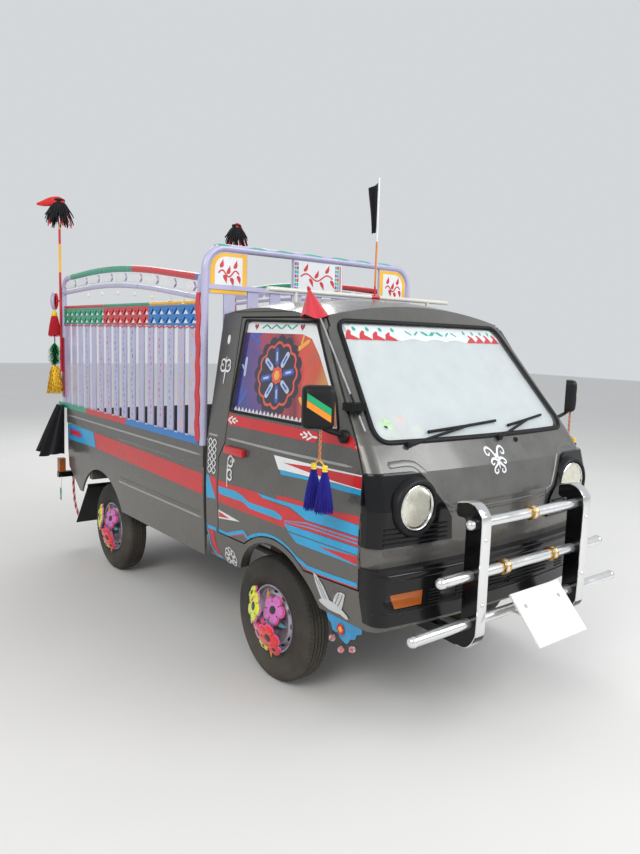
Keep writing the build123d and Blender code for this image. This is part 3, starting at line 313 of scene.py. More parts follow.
def oval(wide, tall, count):
    return [(wide * math.cos(a), tall * math.sin(a)) for a in circle_angles(count)]


def ring(radius, count=12):
    return oval(radius, radius, count)


def grid_faces(rows, columns, close_rows=False, close_columns=True, back=False):
    """Four-sided faces between neighbouring rows of points, or the same faces seen from the back."""
    faces = []
    for j in range(rows if close_rows else rows - 1):
        for k in range(columns if close_columns else columns - 1):
            here, beside = j * columns + k, j * columns + (k + 1) % columns
            over, across = (j + 1) % rows * columns + (k + 1) % columns, (j + 1) % rows * columns + k
            faces.append((here, across, over, beside) if back else (here, beside, over, across))
    return faces


def flipped(faces):
    return [tuple(reversed(face)) for face in faces]


def box_outline(low_a, low_b, high_a, high_b):
    return [(low_a, low_b), (high_a, low_b), (high_a, high_b), (low_a, high_b)]


def flat_section(width, height, bevel=0.25):
    """A bead's section: flat below, rounded above."""
    w, b = width / 2, bevel * width
    return [(-w, 0), (w, 0), (w - b * 0.3, height * 0.75), (w - b, height), (b - w, height),
            (b * 0.3 - w, height * 0.75)]


def sweep_rows(path, section, guides=None, closed=False, scale=None):
    """Points and faces of a section drawn along a path."""
    path = [Vector(p) for p in path]
    count, around = len(path), len(section)
    points = []
    up = None
    for k, here in enumerate(path):
        ahead = path[(k + 1) % count] if closed or k + 1 < count else here
        behind = path[k - 1] if closed or k else here
        along = (ahead - behind).normalized()
        guide = Vector(guides[k]) if guides else (up or along.orthogonal())
        up = (guide - guide.dot(along) * along).normalized()
        across = along.cross(up)
        size = scale[k] if scale else 1.0
        points += [here + across * a * size + up * b * size for a, b in section]
    faces = grid_faces(count, around, close_rows=closed)
    if not closed:
        faces.append(tuple(reversed(range(around))))
        faces.append(tuple(range((count - 1) * around, count * around)))
    return points, faces


def sweep(name, path, section, material, guides=None, closed=False, scale=None, smooth=40):
    points, faces = sweep_rows(path, section, guides, closed, scale)
    return add_mesh(name, points, faces, material, smooth)


def turned_rows(profile, place, axis, count=24):
    """Points and faces of a form turned about an axis: rows of (radius, distance along the axis)."""
    axis = Vector(axis).normalized()
    first = axis.orthogonal().normalized()
    second = axis.cross(first)
    points = []
    for radius, out in profile:
        for angle in circle_angles(count):
            points.append(Vector(place) + axis * out
                          + radius * (math.cos(angle) * first + math.sin(angle) * second))
    faces = grid_faces(len(profile), count)
    faces.append(tuple(reversed(range(count))))
    faces.append(tuple((len(profile) - 1) * count + k for k in range(count)))
    return points, faces


def open_turned_rows(profile, place, axis, count):
    """The same without its two end caps."""
    points, faces = turned_rows(profile, place, axis, count)
    return points, faces[:-2]


class Bundle:
    """Many small forms that are joined into one piece, each with its own material."""

    def __init__(self):
        self.points, self.faces, self.marks = [], [], []

    def add(self, points, faces, mark=0):
        start = len(self.points)
        self.points += [Vector(p) for p in points]
        self.faces += [tuple(start + i for i in face) for face in faces]
        self.marks += [mark] * len(faces)

    def piece(self, name, materials, smooth=35):
        made = add_mesh(name, self.points, self.faces, materials, smooth)
        made.data.polygons.foreach_set("material_index", self.marks)
        return made


def flat_faces(outline):
    """The triangles that fill a flat outline."""
    return [tuple(t) for t in tessellate_polygon([[Vector((a, b, 0)) for a, b in outline]])]


def plate_rows(outline, thick, place, across, up):
    """A flat outline drawn out to a plate, its first face at the place, with a small bevelled rim."""
    normal = across.cross(up)
    centre = Vector((sum(a for a, b in outline), sum(b for a, b in outline))) / len(outline)
    rim = min(thick * 0.4, 0.003)
    points = []
    for depth, inset in ((0.0, rim), (rim, 0.0), (thick - rim, 0.0), (thick, rim)):
        for a, b in outline:
            away = Vector((a, b)) - centre
            a, b = Vector((a, b)) - away.normalized() * inset
            points.append(place + across * a + up * b + normal * depth)
    count = len(outline)
    faces = grid_faces(4, count)
    for a, b, c in flat_faces(outline):
        faces.append((3 * count + a, 3 * count + b, 3 * count + c))
        faces.append((c, b, a))
    return points, faces


print("helpers for meshes are ready")

# %% [markdown]
# ## Ropes
# Two braided ropes hold the mudflaps back: each leaves the underside of the rear bar, falls, and
# bends forward to the flap. The line is a smooth curve through the CAD route, and the braid is three
# strands wound round that line, which is how such a rope shows its red and white.

# %% Ropes
ROPE_LINE = [
    (-2.600, 0.640, 0.480),
    (-2.600, 0.640, 0.430),
    (-2.589, 0.642, 0.376),
    (-2.566, 0.646, 0.322),
    (-2.532, 0.650, 0.273),
    (-2.490, 0.653, 0.238),
    (-2.447, 0.655, 0.212),
]
ROPE_LAY = 0.06  # one turn of the strands
STRANDS, STRAND_OUT, STRAND_R = 3, 0.0046, 0.0047

yarn_red = finish("yarn_red", (0.62, 0.03, 0.04), rough=0.8, sheen=0.3, weave=0.0025)
yarn_white = finish("yarn_white", (0.75, 0.72, 0.68), rough=0.8, sheen=0.3, weave=0.0025)


def curve_line(name, control):
    """Evenly sampled points of a smooth curve pulled towards its control points."""
    data = bpy.data.curves.new(name, "CURVE")
    data.dimensions = "3D"
    spline = data.splines.new("NURBS")
    spline.points.add(len(control) - 1)
    for point, place in zip(spline.points, control):
        point.co = (*place, 1)
    spline.order_u = 3
    spline.use_endpoint_u = True
    spline.resolution_u = 12
    holder = bpy.data.objects.new(name, data)
    made = bpy.data.meshes.new_from_object(holder)
    line = [v.co.copy() for v in made.vertices]
    bpy.data.meshes.remove(made)
    bpy.data.objects.remove(holder)
    bpy.data.curves.remove(data)
    return line


def line_length(line):
    return sum((b - a).length for a, b in zip(line, line[1:]))


for side_name, sign in SIDES:
    route = curve_line("rope_route", [(x + AXLE, sign * y, z) for x, y, z in ROPE_LINE])
    long = line_length(route)
    rounds = 2 * math.pi * long / ROPE_LAY
    strands = Bundle()
    for strand in range(STRANDS):
        gone, helix = 0.0, []
        for k, here in enumerate(route):
            if k:
                gone += (here - route[k - 1]).length
            along = heading(route, k)
            out = (LEFTWARD - along.y * along).normalized()
            angle = rounds * gone / long + 2 * math.pi * strand / STRANDS
            helix.append(here + STRAND_OUT * (math.cos(angle) * out + math.sin(angle) * along.cross(out)))
        strands.add(*sweep_rows(helix, ring(STRAND_R, 8)), mark=0 if strand == 0 else 1)
    rope = strands.piece("rope_" + side_name, [yarn_white, yarn_red], smooth=60)
    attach(rope, "chassis")
    if sign == 1:
        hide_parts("rope")
    print("rope", side_name, "length", round(long, 3))

# %% [markdown]
# ## Floor, backdrop and light
# A plain pale floor under a pale sky of even light keeps the colours true. Three large soft lamps give
# the long highlights that show how the panels curve. The backdrop is pale only for the camera, for
# reflections and through glass, so it adds no light of its own.

# %% Floor and light
FLOOR_HALF = 30
SKY_LIGHT, SKY_STRENGTH = (0.90, 0.95, 1.0, 1), 0.73
BACKDROP = (0.66, 0.68, 0.70, 1)
floor_paint = finish("floor_paint", (0.72, 0.70, 0.67), rough=0.85, mottle=0.02, mottle_scale=0.7, grain=0.05,
                     grain_scale=30)
floor = add_mesh(
    "floor",
    [(a * FLOOR_HALF, b * FLOOR_HALF, 0) for a, b in ((-1, -1), (1, -1), (1, 1), (-1, 1))],
    [(0, 1, 2, 3)], floor_paint, smooth=0,
)

world = bpy.data.worlds.new("studio")
scene.world = world
world.use_nodes = True
sky = world.node_tree
sky.nodes.clear()
soft = sky.nodes.new("ShaderNodeBackground")
soft.inputs[0].default_value = SKY_LIGHT
soft.inputs[1].default_value = SKY_STRENGTH
pale = sky.nodes.new("ShaderNodeBackground")
pale.inputs[0].default_value = BACKDROP
rays = sky.nodes.new("ShaderNodeLightPath")
seen = maths(sky, "MAXIMUM", rays.outputs["Is Camera Ray"], rays.outputs["Is Transmission Ray"])
seen = maths(sky, "MAXIMUM", seen, rays.outputs["Is Glossy Ray"])
blend = sky.nodes.new("ShaderNodeMixShader")
sky.links.new(seen, blend.inputs[0])
sky.links.new(soft.outputs[0], blend.inputs[1])
sky.links.new(pale.outputs[0], blend.inputs[2])
sky.links.new(blend.outputs[0], sky.nodes.new("ShaderNodeOutputWorld").inputs[0])


def lamp(name, place, target, size, power, colour=(1, 1, 1)):
    data = bpy.data.lights.new(name, "AREA")
    data.shape = "RECTANGLE"
    data.size, data.size_y = size
    data.energy = power
    data.color = colour
    holder = bpy.data.objects.new(name, data)
    aim = (Vector(target) - Vector(place)).to_track_quat("-Z", "Y")
    holder.matrix_world = Matrix.Translation(place) @ aim.to_matrix().to_4x4()
    scene.collection.objects.link(holder)


lamp("key", (3.5, -6.0, 5.5), (0.2, 0, 0.9), (4.0, 3.0), 235, (1.0, 0.98, 0.95))
lamp("fill", (6.0, 2.5, 4.5), (0.8, 0, 0.9), (5.0, 3.0), 290, (0.94, 0.97, 1.0))
lamp("back", (-5.5, 2.5, 5.0), (-1.0, 0, 1.0), (3.5, 3.0), 130)

# %% [markdown]
# ## Paints and plain finishes
# The body is a warm dark grey enamel with a little metal flake and a clear, glossy top. The rack is a
# pale lilac white with pieces painted red, green, blue and yellow, which are kept as one palette so
# that stripes, panels and ornaments match.

# %% Palette and finishes
GREY = (0.118, 0.113, 0.104)
LILAC = (0.45, 0.43, 0.60)
RED = (0.56, 0.012, 0.016)
GREEN = (0.010, 0.30, 0.17)
BLUE = (0.008, 0.17, 0.50)
SKY = (0.010, 0.33, 0.60)
YELLOW = (0.84, 0.44, 0.010)
WHITE = (0.74, 0.74, 0.75)
ENAMEL_COLOURS = {
    "red": RED, "green": GREEN, "blue": BLUE, "sky": SKY, "yellow": YELLOW, "violet": (0.16, 0.12, 0.42),
}

body_enamel = finish("body_enamel", GREY, rough=0.30, metallic=0.40, coat=0.40, mottle=0.07, dust=0.30,
                     dust_top=0.9, gloss=0.35)
inner_enamel = finish("inner_enamel", (0.10, 0.097, 0.092), rough=0.5, metallic=0.2, dust=0.25)
black_enamel = finish("black_enamel", (0.004, 0.004, 0.005), rough=0.20, coat=0.15, dust=0.05, gloss=0.25)
chassis_black = finish("chassis_black", (0.03, 0.028, 0.027), rough=0.65, mottle=0.2, dust=0.55, dust_top=0.6)
rust_iron = finish("rust_iron", (0.075, 0.055, 0.045), rough=0.75, metallic=0.4, mottle=0.3, mottle_scale=25,
                   grain=0.2, dust=0.3)
lilac_enamel = finish("lilac_enamel", LILAC, rough=0.34, coat=0.35, mottle=0.05)
chrome_plate = finish("chrome_plate", (0.78, 0.78, 0.78), rough=0.12, metallic=1.0, mottle=0.03, wander=0.05,
                      grain=0.004)
brass_plate = finish("brass_plate", (0.72, 0.42, 0.10), rough=0.25, metallic=1.0, mottle=0.08)
bare_steel = finish("bare_steel", (0.42, 0.42, 0.43), rough=0.38, metallic=0.9, mottle=0.15, mottle_scale=30)
wheel_enamel = finish("wheel_enamel", (0.50, 0.48, 0.58), rough=0.38, metallic=0.5, coat=0.2, mottle=0.12,
                      mottle_scale=20, dust=0.35, dust_top=0.6)
tyre_rubber = finish("tyre_rubber", (0.013, 0.014, 0.014), rough=0.7, gloss=0.3, mottle=0.25, mottle_scale=12,
                     grain=0.08, grain_scale=500, dust=0.3, dust_top=0.75)
black_rubber = finish("black_rubber", (0.007, 0.007, 0.008), rough=0.55, mottle=0.15, grain=0.03, gloss=0.25)
moulded_black = finish("moulded_black", (0.009, 0.009, 0.010), rough=0.45, gloss=0.25, mottle=0.12, grain=0.05,
                       grain_scale=700)
plate_enamel = finish("plate_enamel", (0.74, 0.74, 0.72), rough=0.32, coat=0.3, mottle=0.03)
white_enamel = finish("white_enamel", WHITE, rough=0.34, coat=0.3, mottle=0.04)
ENAMELS = {
    name: finish(name + "_enamel", colour, rough=0.32, coat=0.3) for name, colour in ENAMEL_COLOURS.items()
}
ENAMELS["white"] = white_enamel
amber_lens = glassy("amber_lens", (0.46, 0.11, 0.015), rough=0.12, alpha=0.95)
# The cab glass is near white at half opacity: a painted reflection of the bright sky on the glass, not a tint
# the glass has.
glass_with_painted_sky_reflection = glassy("glass_with_painted_sky_reflection", (0.86, 0.91, 0.91), alpha=0.50)
dark_film = finish("dark_film", (0.02, 0.014, 0.022), rough=0.12, coat=0.6, mottle=0.3, mottle_scale=6)
seat_cloth = finish("seat_cloth", (0.085, 0.085, 0.095), rough=0.85, sheen=0.4, weave=0.003)
black_cloth = finish("black_cloth", (0.006, 0.006, 0.008), rough=0.8, sheen=0.08, gloss=0.25, weave=0.0016,
                     mottle=0.2)
print("finishes:", len(bpy.data.materials))

# %% [markdown]
# ## The rack's zones of paint
# The stake rack is one welded frame that was painted in lengths: the bottom rail and the fretwork
# panel change colour along the truck. The paint knows its place from the object's coordinates, so
# the colours change exactly where the painter masked them and no mesh needs to be cut.

# %% Zoned paints
RAIL_TOP_Z = 1.019
FRET_LOW_Z, FRET_HIGH_Z = 1.574, 1.681
STRIP_HIGH_Z = 1.702
FRET_START, FRET_END = -1.722, 0.206
RUNS_START, RUNS_END = -1.9, 0.3  # every row of runs starts and ends here
RAIL_RUNS = [(RUNS_START, GREEN), (-1.30, RED), (-0.65, BLUE)]
FRET_RUNS = [(RUNS_START, GREEN), (-1.01, RED), (-0.36, BLUE)]
STRIP_RUNS = [(RUNS_START, RED), (-1.01, GREEN), (-0.35, YELLOW)]
POLE_RUNS = [(1.0, RED), (1.93, YELLOW), (2.12, RED), (2.22, YELLOW)]
POLE_TOP_Z = 2.5


def rack_colours(tree, x, y, z):
    rail, fret, strip = (steps(tree, x, runs, RUNS_START, RUNS_END)
                         for runs in (RAIL_RUNS, FRET_RUNS, STRIP_RUNS))
    between = within(tree, x, FRET_START, FRET_END)
    base = mix(tree, within(tree, z, 0.9, RAIL_TOP_Z), LILAC, rail)
    base = mix(tree, maths(tree, "MULTIPLY", between, within(tree, z, FRET_LOW_Z, FRET_HIGH_Z)), base, fret)
    return mix(tree, maths(tree, "MULTIPLY", between, within(tree, z, FRET_HIGH_Z, STRIP_HIGH_Z)), base, strip)


def bull_bar_colours(tree, x, y, z):
    post = within(tree, maths(tree, "ABSOLUTE", y), 0.3095, 0.3605)
    return mix(tree, post, (0.78, 0.78, 0.78), (0.016, 0.016, 0.018))


def pole_colours(tree, x, y, z):
    return steps(tree, z, POLE_RUNS, POLE_RUNS[0][0], POLE_TOP_Z)


def roof_bar_colours(tree, x, y, z):
    bar = mix(tree, within(tree, y, 0.028, 0.082), (0.66, 0.64, 0.56), RED)
    pole = mix(tree, within(tree, z, 1.78, 2.02), WHITE, (0.70, 0.22, 0.03))
    return mix(tree, within(tree, z, 1.80, 2.6), bar, pole)


def aerial_colours(tree, x, y, z):
    return mix(tree, within(tree, x, 1.30, 1.363), (0.42, 0.42, 0.43), (0.010, 0.010, 0.011))


roof_bar_enamel = finish("roof_bar_enamel", roof_bar_colours, rough=0.34, coat=0.3, mottle=0.06)
aerial_metal = finish("aerial_metal", aerial_colours, rough=0.36, metallic=0.7, mottle=0.1, mottle_scale=30)
rack_enamel = finish("rack_enamel", rack_colours, rough=0.34, coat=0.35, mottle=0.05)
pole_enamel = finish("pole_enamel", pole_colours, rough=0.4, coat=0.2)
print("zoned paints are ready")

# %% [markdown]
# ## Finishes on the CAD parts
# Each CAD part whose shape is already right only needs its finish. A table of part and finish is
# easier to read and to change than sixty separate lines.

# %% Finishes by part
PLAIN = {
    "chassis_frame": chassis_black, "engine_block": rust_iron, "exhaust": rust_iron, "fuel_tank": chassis_black,
    "front_suspension": chassis_black, "front_struts": chassis_black, "rear_axle": chassis_black,
    "knuckle_left": rust_iron, "knuckle_right": rust_iron, "cab_floor": inner_enamel,
    "cab_front": body_enamel, "cab_sides": body_enamel, "cab_roof": body_enamel, "cab_back": body_enamel,
    "door_left": body_enamel, "door_right": body_enamel, "bed_side_left": body_enamel,
    "bed_side_right": body_enamel, "tailgate": body_enamel, "bed_floor": inner_enamel,
    "cab_glass": glass_with_painted_sky_reflection, "door_glass_left": dark_film, "door_glass_right": dark_film,
    "dashboard": moulded_black, "seats": seat_cloth, "steering_column": moulded_black,
    "steering_wheel": moulded_black, "front_bumper": black_enamel, "lamp_bezels": black_enamel,
    "headlamps": chrome_plate, "amber_lamps": amber_lens, "front_plate": plate_enamel,
    "wipers": black_rubber, "roof_bar": roof_bar_enamel, "aerial": aerial_metal,
    "side_rack_left": rack_enamel, "side_rack_right": rack_enamel, "headboard": lilac_enamel,
    "corner_poles": pole_enamel, "tassels": ENAMELS["red"], "corner_cloths": black_cloth,
    "flags": ENAMELS["red"],
    "rear_bar": black_enamel, "mudflaps": black_rubber, "mirror_left": moulded_black,
    "mirror_right": moulded_black, "bull_bar": chrome_plate,
}
for corner in CORNERS:
    PLAIN["tyre_" + corner] = tyre_rubber
    PLAIN["rim_" + corner] = wheel_enamel
    PLAIN["flowers_" + corner] = ENAMELS["yellow"]
for part, material in PLAIN.items():
    wear(part, material)
print("parts finished:", len(PLAIN))

# %% [markdown]
# ## Tyres
# A tyre is a turned shape whose tread is cut by wavy grooves. The CAD tyre is smooth, so each is
# replaced by a mesh that is turned from one profile: at every small step round the wheel the groove
# edges shift sideways a little, which draws the zigzag, and the shoulders are notched.

# %% Tyres with tread
TYRE_R = 0.279
PITCHES = 72
WAVE = (0, 1, 0, -1)  # one pitch of the zigzag, in steps round the wheel
GROOVE_DEPTH, ZIGZAG = 0.0058, 0.0022
SHOULDER_R, SHOULDER_NOTCH = 0.27, 0.0035
SIDE_PROFILE = [
    (0.1528, 0.0520), (0.1700, 0.0612), (0.1860, 0.0652), (0.1930, 0.0663), (0.1945, 0.0676), (0.1975, 0.0676),
    (0.1990, 0.0664), (0.2220, 0.0672), (0.2330, 0.0664), (0.2345, 0.0674), (0.2375, 0.0671), (0.2390, 0.0656),
    (0.2520, 0.0622), (0.2640, 0.0572), (0.2712, 0.0530), (0.2750, 0.0500), (0.2772, 0.0445), (0.2786, 0.0385),
]
GROOVES = (-0.0265, -0.0090, 0.0090, 0.0265)
GROOVE_FORM = ((-0.0026, 0), (-0.0018, 1), (0.0018, 1), (0.0026, 0))  # across, share of the depth


def tyre_mesh(name, centre, material):
    rows = [(r, -w, 0, 0) for r, w in SIDE_PROFILE]
    rows += [(TYRE_R, groove + shift, depth, 1) for groove in GROOVES for shift, depth in GROOVE_FORM]
    rows += [(r, w, 0, 0) for r, w in reversed(SIDE_PROFILE)]
    count = PITCHES * len(WAVE)
    points = []
    for k, angle in enumerate(circle_angles(count)):
        step = k % len(WAVE)
        for radius, wide, depth, moves in rows:
            r = radius - GROOVE_DEPTH * depth
            if not moves and radius > SHOULDER_R and step == 0:
                r -= SHOULDER_NOTCH
            y = wide + (ZIGZAG * WAVE[step] if moves else 0)
            points.append((centre[0] + r * math.cos(angle), centre[1] + y, centre[2] + r * math.sin(angle)))
    return add_mesh(name, points, grid_faces(count, len(rows), close_rows=True), material, smooth=32)


WHEELS = {}
for corner in CORNERS:
    low_end, high_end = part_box("tyre_" + corner)
    centre = (low_end + high_end) / 2
    WHEELS[corner] = (centre, 1 if corner.endswith("left") else -1)
    tyre = tyre_mesh("tread_" + corner, centre, tyre_rubber)
    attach(tyre, "wheel_" + corner)
    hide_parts("tyre_" + corner)
print("tyre faces:", len(tyre.data.polygons), "middle of the last:", [round(v, 3) for v in centre])

# %% [markdown]
# ## Wheel nuts, vents and valve
# The pressed steel wheel carries four nuts, a ring of vent slots near its edge and a short rubber
# valve. These are small, so they stay out of the CAD model, and they are joined into one piece here.

# %% Wheel fittings
NUT_RING, NUT_FACE, NUT_SUNK = 0.044, 0.0225, 0.001
NUT_FORM = [(0.0108, 0), (0.0108, 0.010), (0.0085, 0.013), (0.0045, 0.0145)]  # radius, height
STUD_FORM = [(0.0048, 0.012), (0.0048, 0.019), (0.0035, 0.020)]
VENT_COUNT, VENT_RING, VENT_OUT, VENT_THICK = 12, 0.123, 0.0362, 0.0012
VENT_SHAPE = oval(0.013, 0.0055, 12)
VALVE_RING, VALVE_OUT = 0.140, 0.018
VALVE_FORM = [(0.0055, 0), (0.0050, 0.014), (0.0036, 0.016), (0.0036, 0.026)]

for corner, (centre, sign) in WHEELS.items():
    out = Vector((0, sign, 0))
    fittings = Bundle()
    for k in range(4):
        angle = math.pi / 4 + math.pi / 2 * k
        spot = centre + NUT_RING * Vector((math.cos(angle), 0, math.sin(angle))) + out * (NUT_FACE - NUT_SUNK)
        fittings.add(*turned_rows(NUT_FORM, spot, out, 6))
        fittings.add(*turned_rows(STUD_FORM, spot, out, 10))
    for angle in circle_angles(VENT_COUNT):
        radial = Vector((math.cos(angle), 0, math.sin(angle)))
        along = Vector((-math.sin(angle), 0, math.cos(angle)))
        spot = centre + VENT_RING * radial + out * VENT_OUT
        slope = (out * -0.018 + radial * 0.020).normalized()
        fittings.add(*plate_rows(VENT_SHAPE, VENT_THICK, spot, along * sign, slope), mark=1)
    valve = centre + VALVE_RING * Vector((0.6, 0, 0.8)) + out * VALVE_OUT
    fittings.add(*turned_rows(VALVE_FORM, valve, out, 10), mark=2)
    piece = fittings.piece("wheel_fittings_" + corner, [bare_steel, moulded_black, black_rubber])
    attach(piece, "wheel_" + corner)
print("wheel fittings:", len(WHEELS))

# %% [markdown]
# ## Foam flowers on the hubs
# The hubs carry big flowers cut from craft foam: five round petals, a black dot in the middle, and a
# second, larger flower in another colour behind each one. Foam is soft and dull, and its cut edge is
# thick, so each flower is a rounded plate with a small bevel and a matt, slightly furry finish.

# %% Hub flowers
FOAM_COLOURS = {
    "lemon": (0.72, 0.80, 0.02), "pink": (0.80, 0.07, 0.26), "red": (0.80, 0.025, 0.02),
    "violet": (0.62, 0.16, 0.48),
    "teal": (0.01, 0.28, 0.30), "black": (0.012, 0.012, 0.014), "mint": (0.45, 0.72, 0.35),
    "orange": (0.85, 0.30, 0.02),
}
foam = {
    name: finish("foam_" + name, colour, rough=0.8, sheen=0.35, mottle=0.1, mottle_scale=40, grain=0.06,
                 grain_scale=900, dust=0.08)
    for name, colour in FOAM_COLOURS.items()
}
FOAM_ORDER = list(foam)
FOAM_THICK = 0.007
STALK_FORM = [(0.016, 0.0225), (0.014, 0.050), (0.026, 0.066), (0.022, 0.082)]
LEAVES = (  # forward, up, colour
    (-0.100, -0.040, "mint"), (0.030, -0.128, "orange"), (0.108, 0.010, "teal"),
    (0.0, 0.110, "orange"), (-0.118, 0.050, "violet"),
)
LEAF_OUT, LEAF_THICK = 0.076, 0.004
LEAF_SHAPE = [(0.034 * math.cos(a), 0.014 * math.sin(a) * abs(math.cos(a / 2))) for a in circle_angles(16)]
FLOWERS = [  # forward, up, out, size, face, back, lean forward, lean up
    (-0.056, 0.052, 0.114, 0.066, "lemon", "violet", -0.25, 0.15),
    (-0.088, 0.100, 0.102, 0.034, "lemon", "pink", -0.35, 0.40),
    (0.058, 0.066, 0.092, 0.060, "violet", "pink", 0.20, 0.25),
    (0.018, 0.016, 0.086, 0.046, "pink", "violet", 0.30, 0.50),
    (0.058, -0.050, 0.116, 0.062, "red", "pink", 0.15, -0.25),
    (0.088, -0.094, 0.104, 0.032, "red", "violet", 0.35, -0.35),
    (-0.038, -0.066, 0.098, 0.056, "pink", "red", -0.25, -0.30),
    (-0.086, -0.012, 0.104, 0.028, "mint", "red", -0.50, 0.0),
    (0.000, -0.108, 0.096, 0.030, "lemon", "red", 0.0, -0.5),
    (0.002, 0.000, 0.094, 0.042, "teal", "teal", 0.0, 0.0),
]


def petals(radius, count=5, points=60):
    """Outline of a flower with round petals."""
    rows = []
    for angle in circle_angles(points):
        reach = radius * (0.70 + 0.30 * abs(math.cos(count * angle / 2)) ** 0.7)
        rows.append((reach * math.cos(angle), reach * math.sin(angle)))
    return rows


def foam_mark(name):
    return FOAM_ORDER.index(name)


def foam_flower(bundle, centre, out, row):
    forward, up, away, size, face, back, lean_f, lean_u = row
    normal = (out + Vector((lean_f, 0, lean_u))).normalized()
    across = UP.cross(normal).normalized()
    rise = normal.cross(across)
    place = centre + Vector((forward, 0, up)) + out * (away - 0.010)
    bundle.add(*plate_rows(petals(size * 1.10), FOAM_THICK, place, across, rise), mark=foam_mark(back))
    bundle.add(*plate_rows(petals(size), FOAM_THICK, place + normal * 0.0068, across, rise),
               mark=foam_mark(face))
    dot = place + normal * 0.0135
    dot_form = [(size * 0.30, -0.001), (size * 0.30, 0.0015), (size * 0.22, 0.003)]
    bundle.add(*turned_rows(dot_form, dot, normal, 20), mark=foam_mark("black"))
    for k in range(5):
        angle = 2 * math.pi * (k + 0.5) / 5
        spot = dot + size * 0.62 * (math.cos(angle) * across + math.sin(angle) * rise) - normal * 0.0004
        bundle.add(*turned_rows([(size * 0.07, -0.001), (size * 0.06, 0.0012)], spot, normal, 8),
                   mark=foam_mark("black"))


for corner, (centre, sign) in WHEELS.items():
    out = Vector((0, sign, 0))
    bunch = Bundle()
    bunch.add(*turned_rows(STALK_FORM, centre, out, 16), mark=foam_mark("teal"))
    for row in FLOWERS:
        foam_flower(bunch, centre, out, row)
    for forward, up, face in LEAVES:
        place = centre + Vector((forward, 0, up)) + out * LEAF_OUT
        along = Vector((forward, 0, up)).normalized() * sign
        bunch.add(*plate_rows(LEAF_SHAPE, LEAF_THICK, place, along, out.cross(along)), mark=foam_mark(face))
    piece = bunch.piece("hub_flowers_" + corner, [foam[n] for n in FOAM_ORDER], smooth=50)
    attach(piece, "wheel_" + corner)
    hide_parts("flowers_" + corner)
print("flowers on each hub:", len(FLOWERS))

# %% [markdown]
# ## Painted stripes on the doors and sides
# The stripes are masked and painted flat on the panels. Each one is an outline in the side view, cut
# into small cells and pressed on to the panel behind it, a fraction of a millimetre proud. That keeps
# the edges crisp, and the paint follows every crease of the panel. The left side mirrors the right.

# %% Pressing paint on to a panel
CELL = 0.03
PANEL_Y = 0.70
LIFT_FIRST, LIFT_LAYER = 0.0007, 0.0005


def panel_tree(*names):
    points, faces = [], []
    for name in names:
        data = nodes[name].data
        start = len(points)
        points += [v.co.copy() for v in data.vertices]
        faces += [tuple(start + i for i in p.vertices) for p in data.polygons]
    return BVHTree.FromPolygons(points, faces)


def look_at_skin(tree, start, view, reach=2.0):
    """Where a look along the view meets the skin, and which way the skin faces there."""
    hit, normal, _, _ = tree.ray_cast(start, view, reach)
    if hit is not None and normal.dot(view) > 0:
        normal = -normal
    return hit, normal


def line_on_skin(tree, starts, view, reach=2.0, lift=0.0):
    """A line on the skin, found from a start ahead of each of its points, and its guides."""
    path, guides = [], []
    for start in starts:
        hit, normal = look_at_skin(tree, start, view, reach)
        if hit is not None:
            path.append(hit + normal * lift)
            guides.append(normal)
    return path, guides


def press(points, tree, view, lift):
    """Each point moves along the view on to the panel, and stands off it by the lift."""
    moved = []
    for point in points:
        hit, normal = look_at_skin(tree, Vector(point) - view * 0.25, view, 0.5)
        if hit is None:
            hit, normal, _, _ = tree.find_nearest(point)
            normal = -normal if normal.dot(view) > 0 else normal
        moved.append(hit + normal * lift)
    return moved


def cut_cells(outline, cell=CELL):
    """A flat outline as triangles that are no larger than the cell either way."""
    mesh = bmesh.new()
    corners = [mesh.verts.new((a, b, 0)) for a, b in outline]
    for tri in flat_faces(outline):
        mesh.faces.new([corners[i] for i in tri])
    for direction, values in ((FORWARD, [a for a, b in outline]), (LEFTWARD, [b for a, b in outline])):
        first = math.ceil(min(values) / cell)
        for k in range(first, math.floor(max(values) / cell) + 1):
            everything = mesh.verts[:] + mesh.edges[:] + mesh.faces[:]
            bmesh.ops.bisect_plane(mesh, geom=everything, dist=1e-6, plane_co=direction * (k * cell),
                                   plane_no=direction)
    mesh.verts.ensure_lookup_table()
    mesh.verts.index_update()
    points = [tuple(v.co[:2]) for v in mesh.verts]
    faces = [tuple(v.index for v in f.verts) for f in mesh.faces]
    mesh.free()
    return points, faces


def band_outline(line, widths):
    """Outline of a band of given width along a line in the side view."""
    line = [Vector(p) for p in line]
    left, right_edge = [], []
    for k, here in enumerate(line):
        along = heading(line, k)
        half = (widths[k] if isinstance(widths, (list, tuple)) else widths) / 2
        normal = Vector((-along.y, along.x))
        left.append(tuple(here + normal * half))
        right_edge.append(tuple(here - normal * half))
    return left + right_edge[::-1]


def side_paint(name, rows, tree_names, body, cell=CELL):
    """Painted outlines on one side of the truck, joined into one piece. Rows: (outline, colour name, layer)."""
    sign = 1 if name.endswith("left") else -1
    tree = panel_tree(*tree_names)
    paint = Bundle()
    used = []
    for outline, colour, layer in rows:
        if colour not in used:
            used.append(colour)
        flat, faces = cut_cells([(x + AXLE, z) for x, z in outline], cell)
        lift = LIFT_FIRST + LIFT_LAYER * layer
        points = press([(x, sign * PANEL_Y, z) for x, z in flat], tree, Vector((0, -sign, 0)), lift)
        paint.add(points, flipped(faces) if sign == 1 else faces, mark=used.index(colour))
    piece = paint.piece(name, [ENAMELS[c] for c in used], smooth=0)
    piece.data.shade_smooth()
    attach(piece, body)
    return piece


print("paints for stripes:", list(ENAMELS))

# %% [markdown]
# ## The stripe layout
# Every stripe has its corners in one table, measured from the front axle, so a stripe can be moved or
# recoloured without touching the code. Later rows lie over earlier ones by a thin layer.

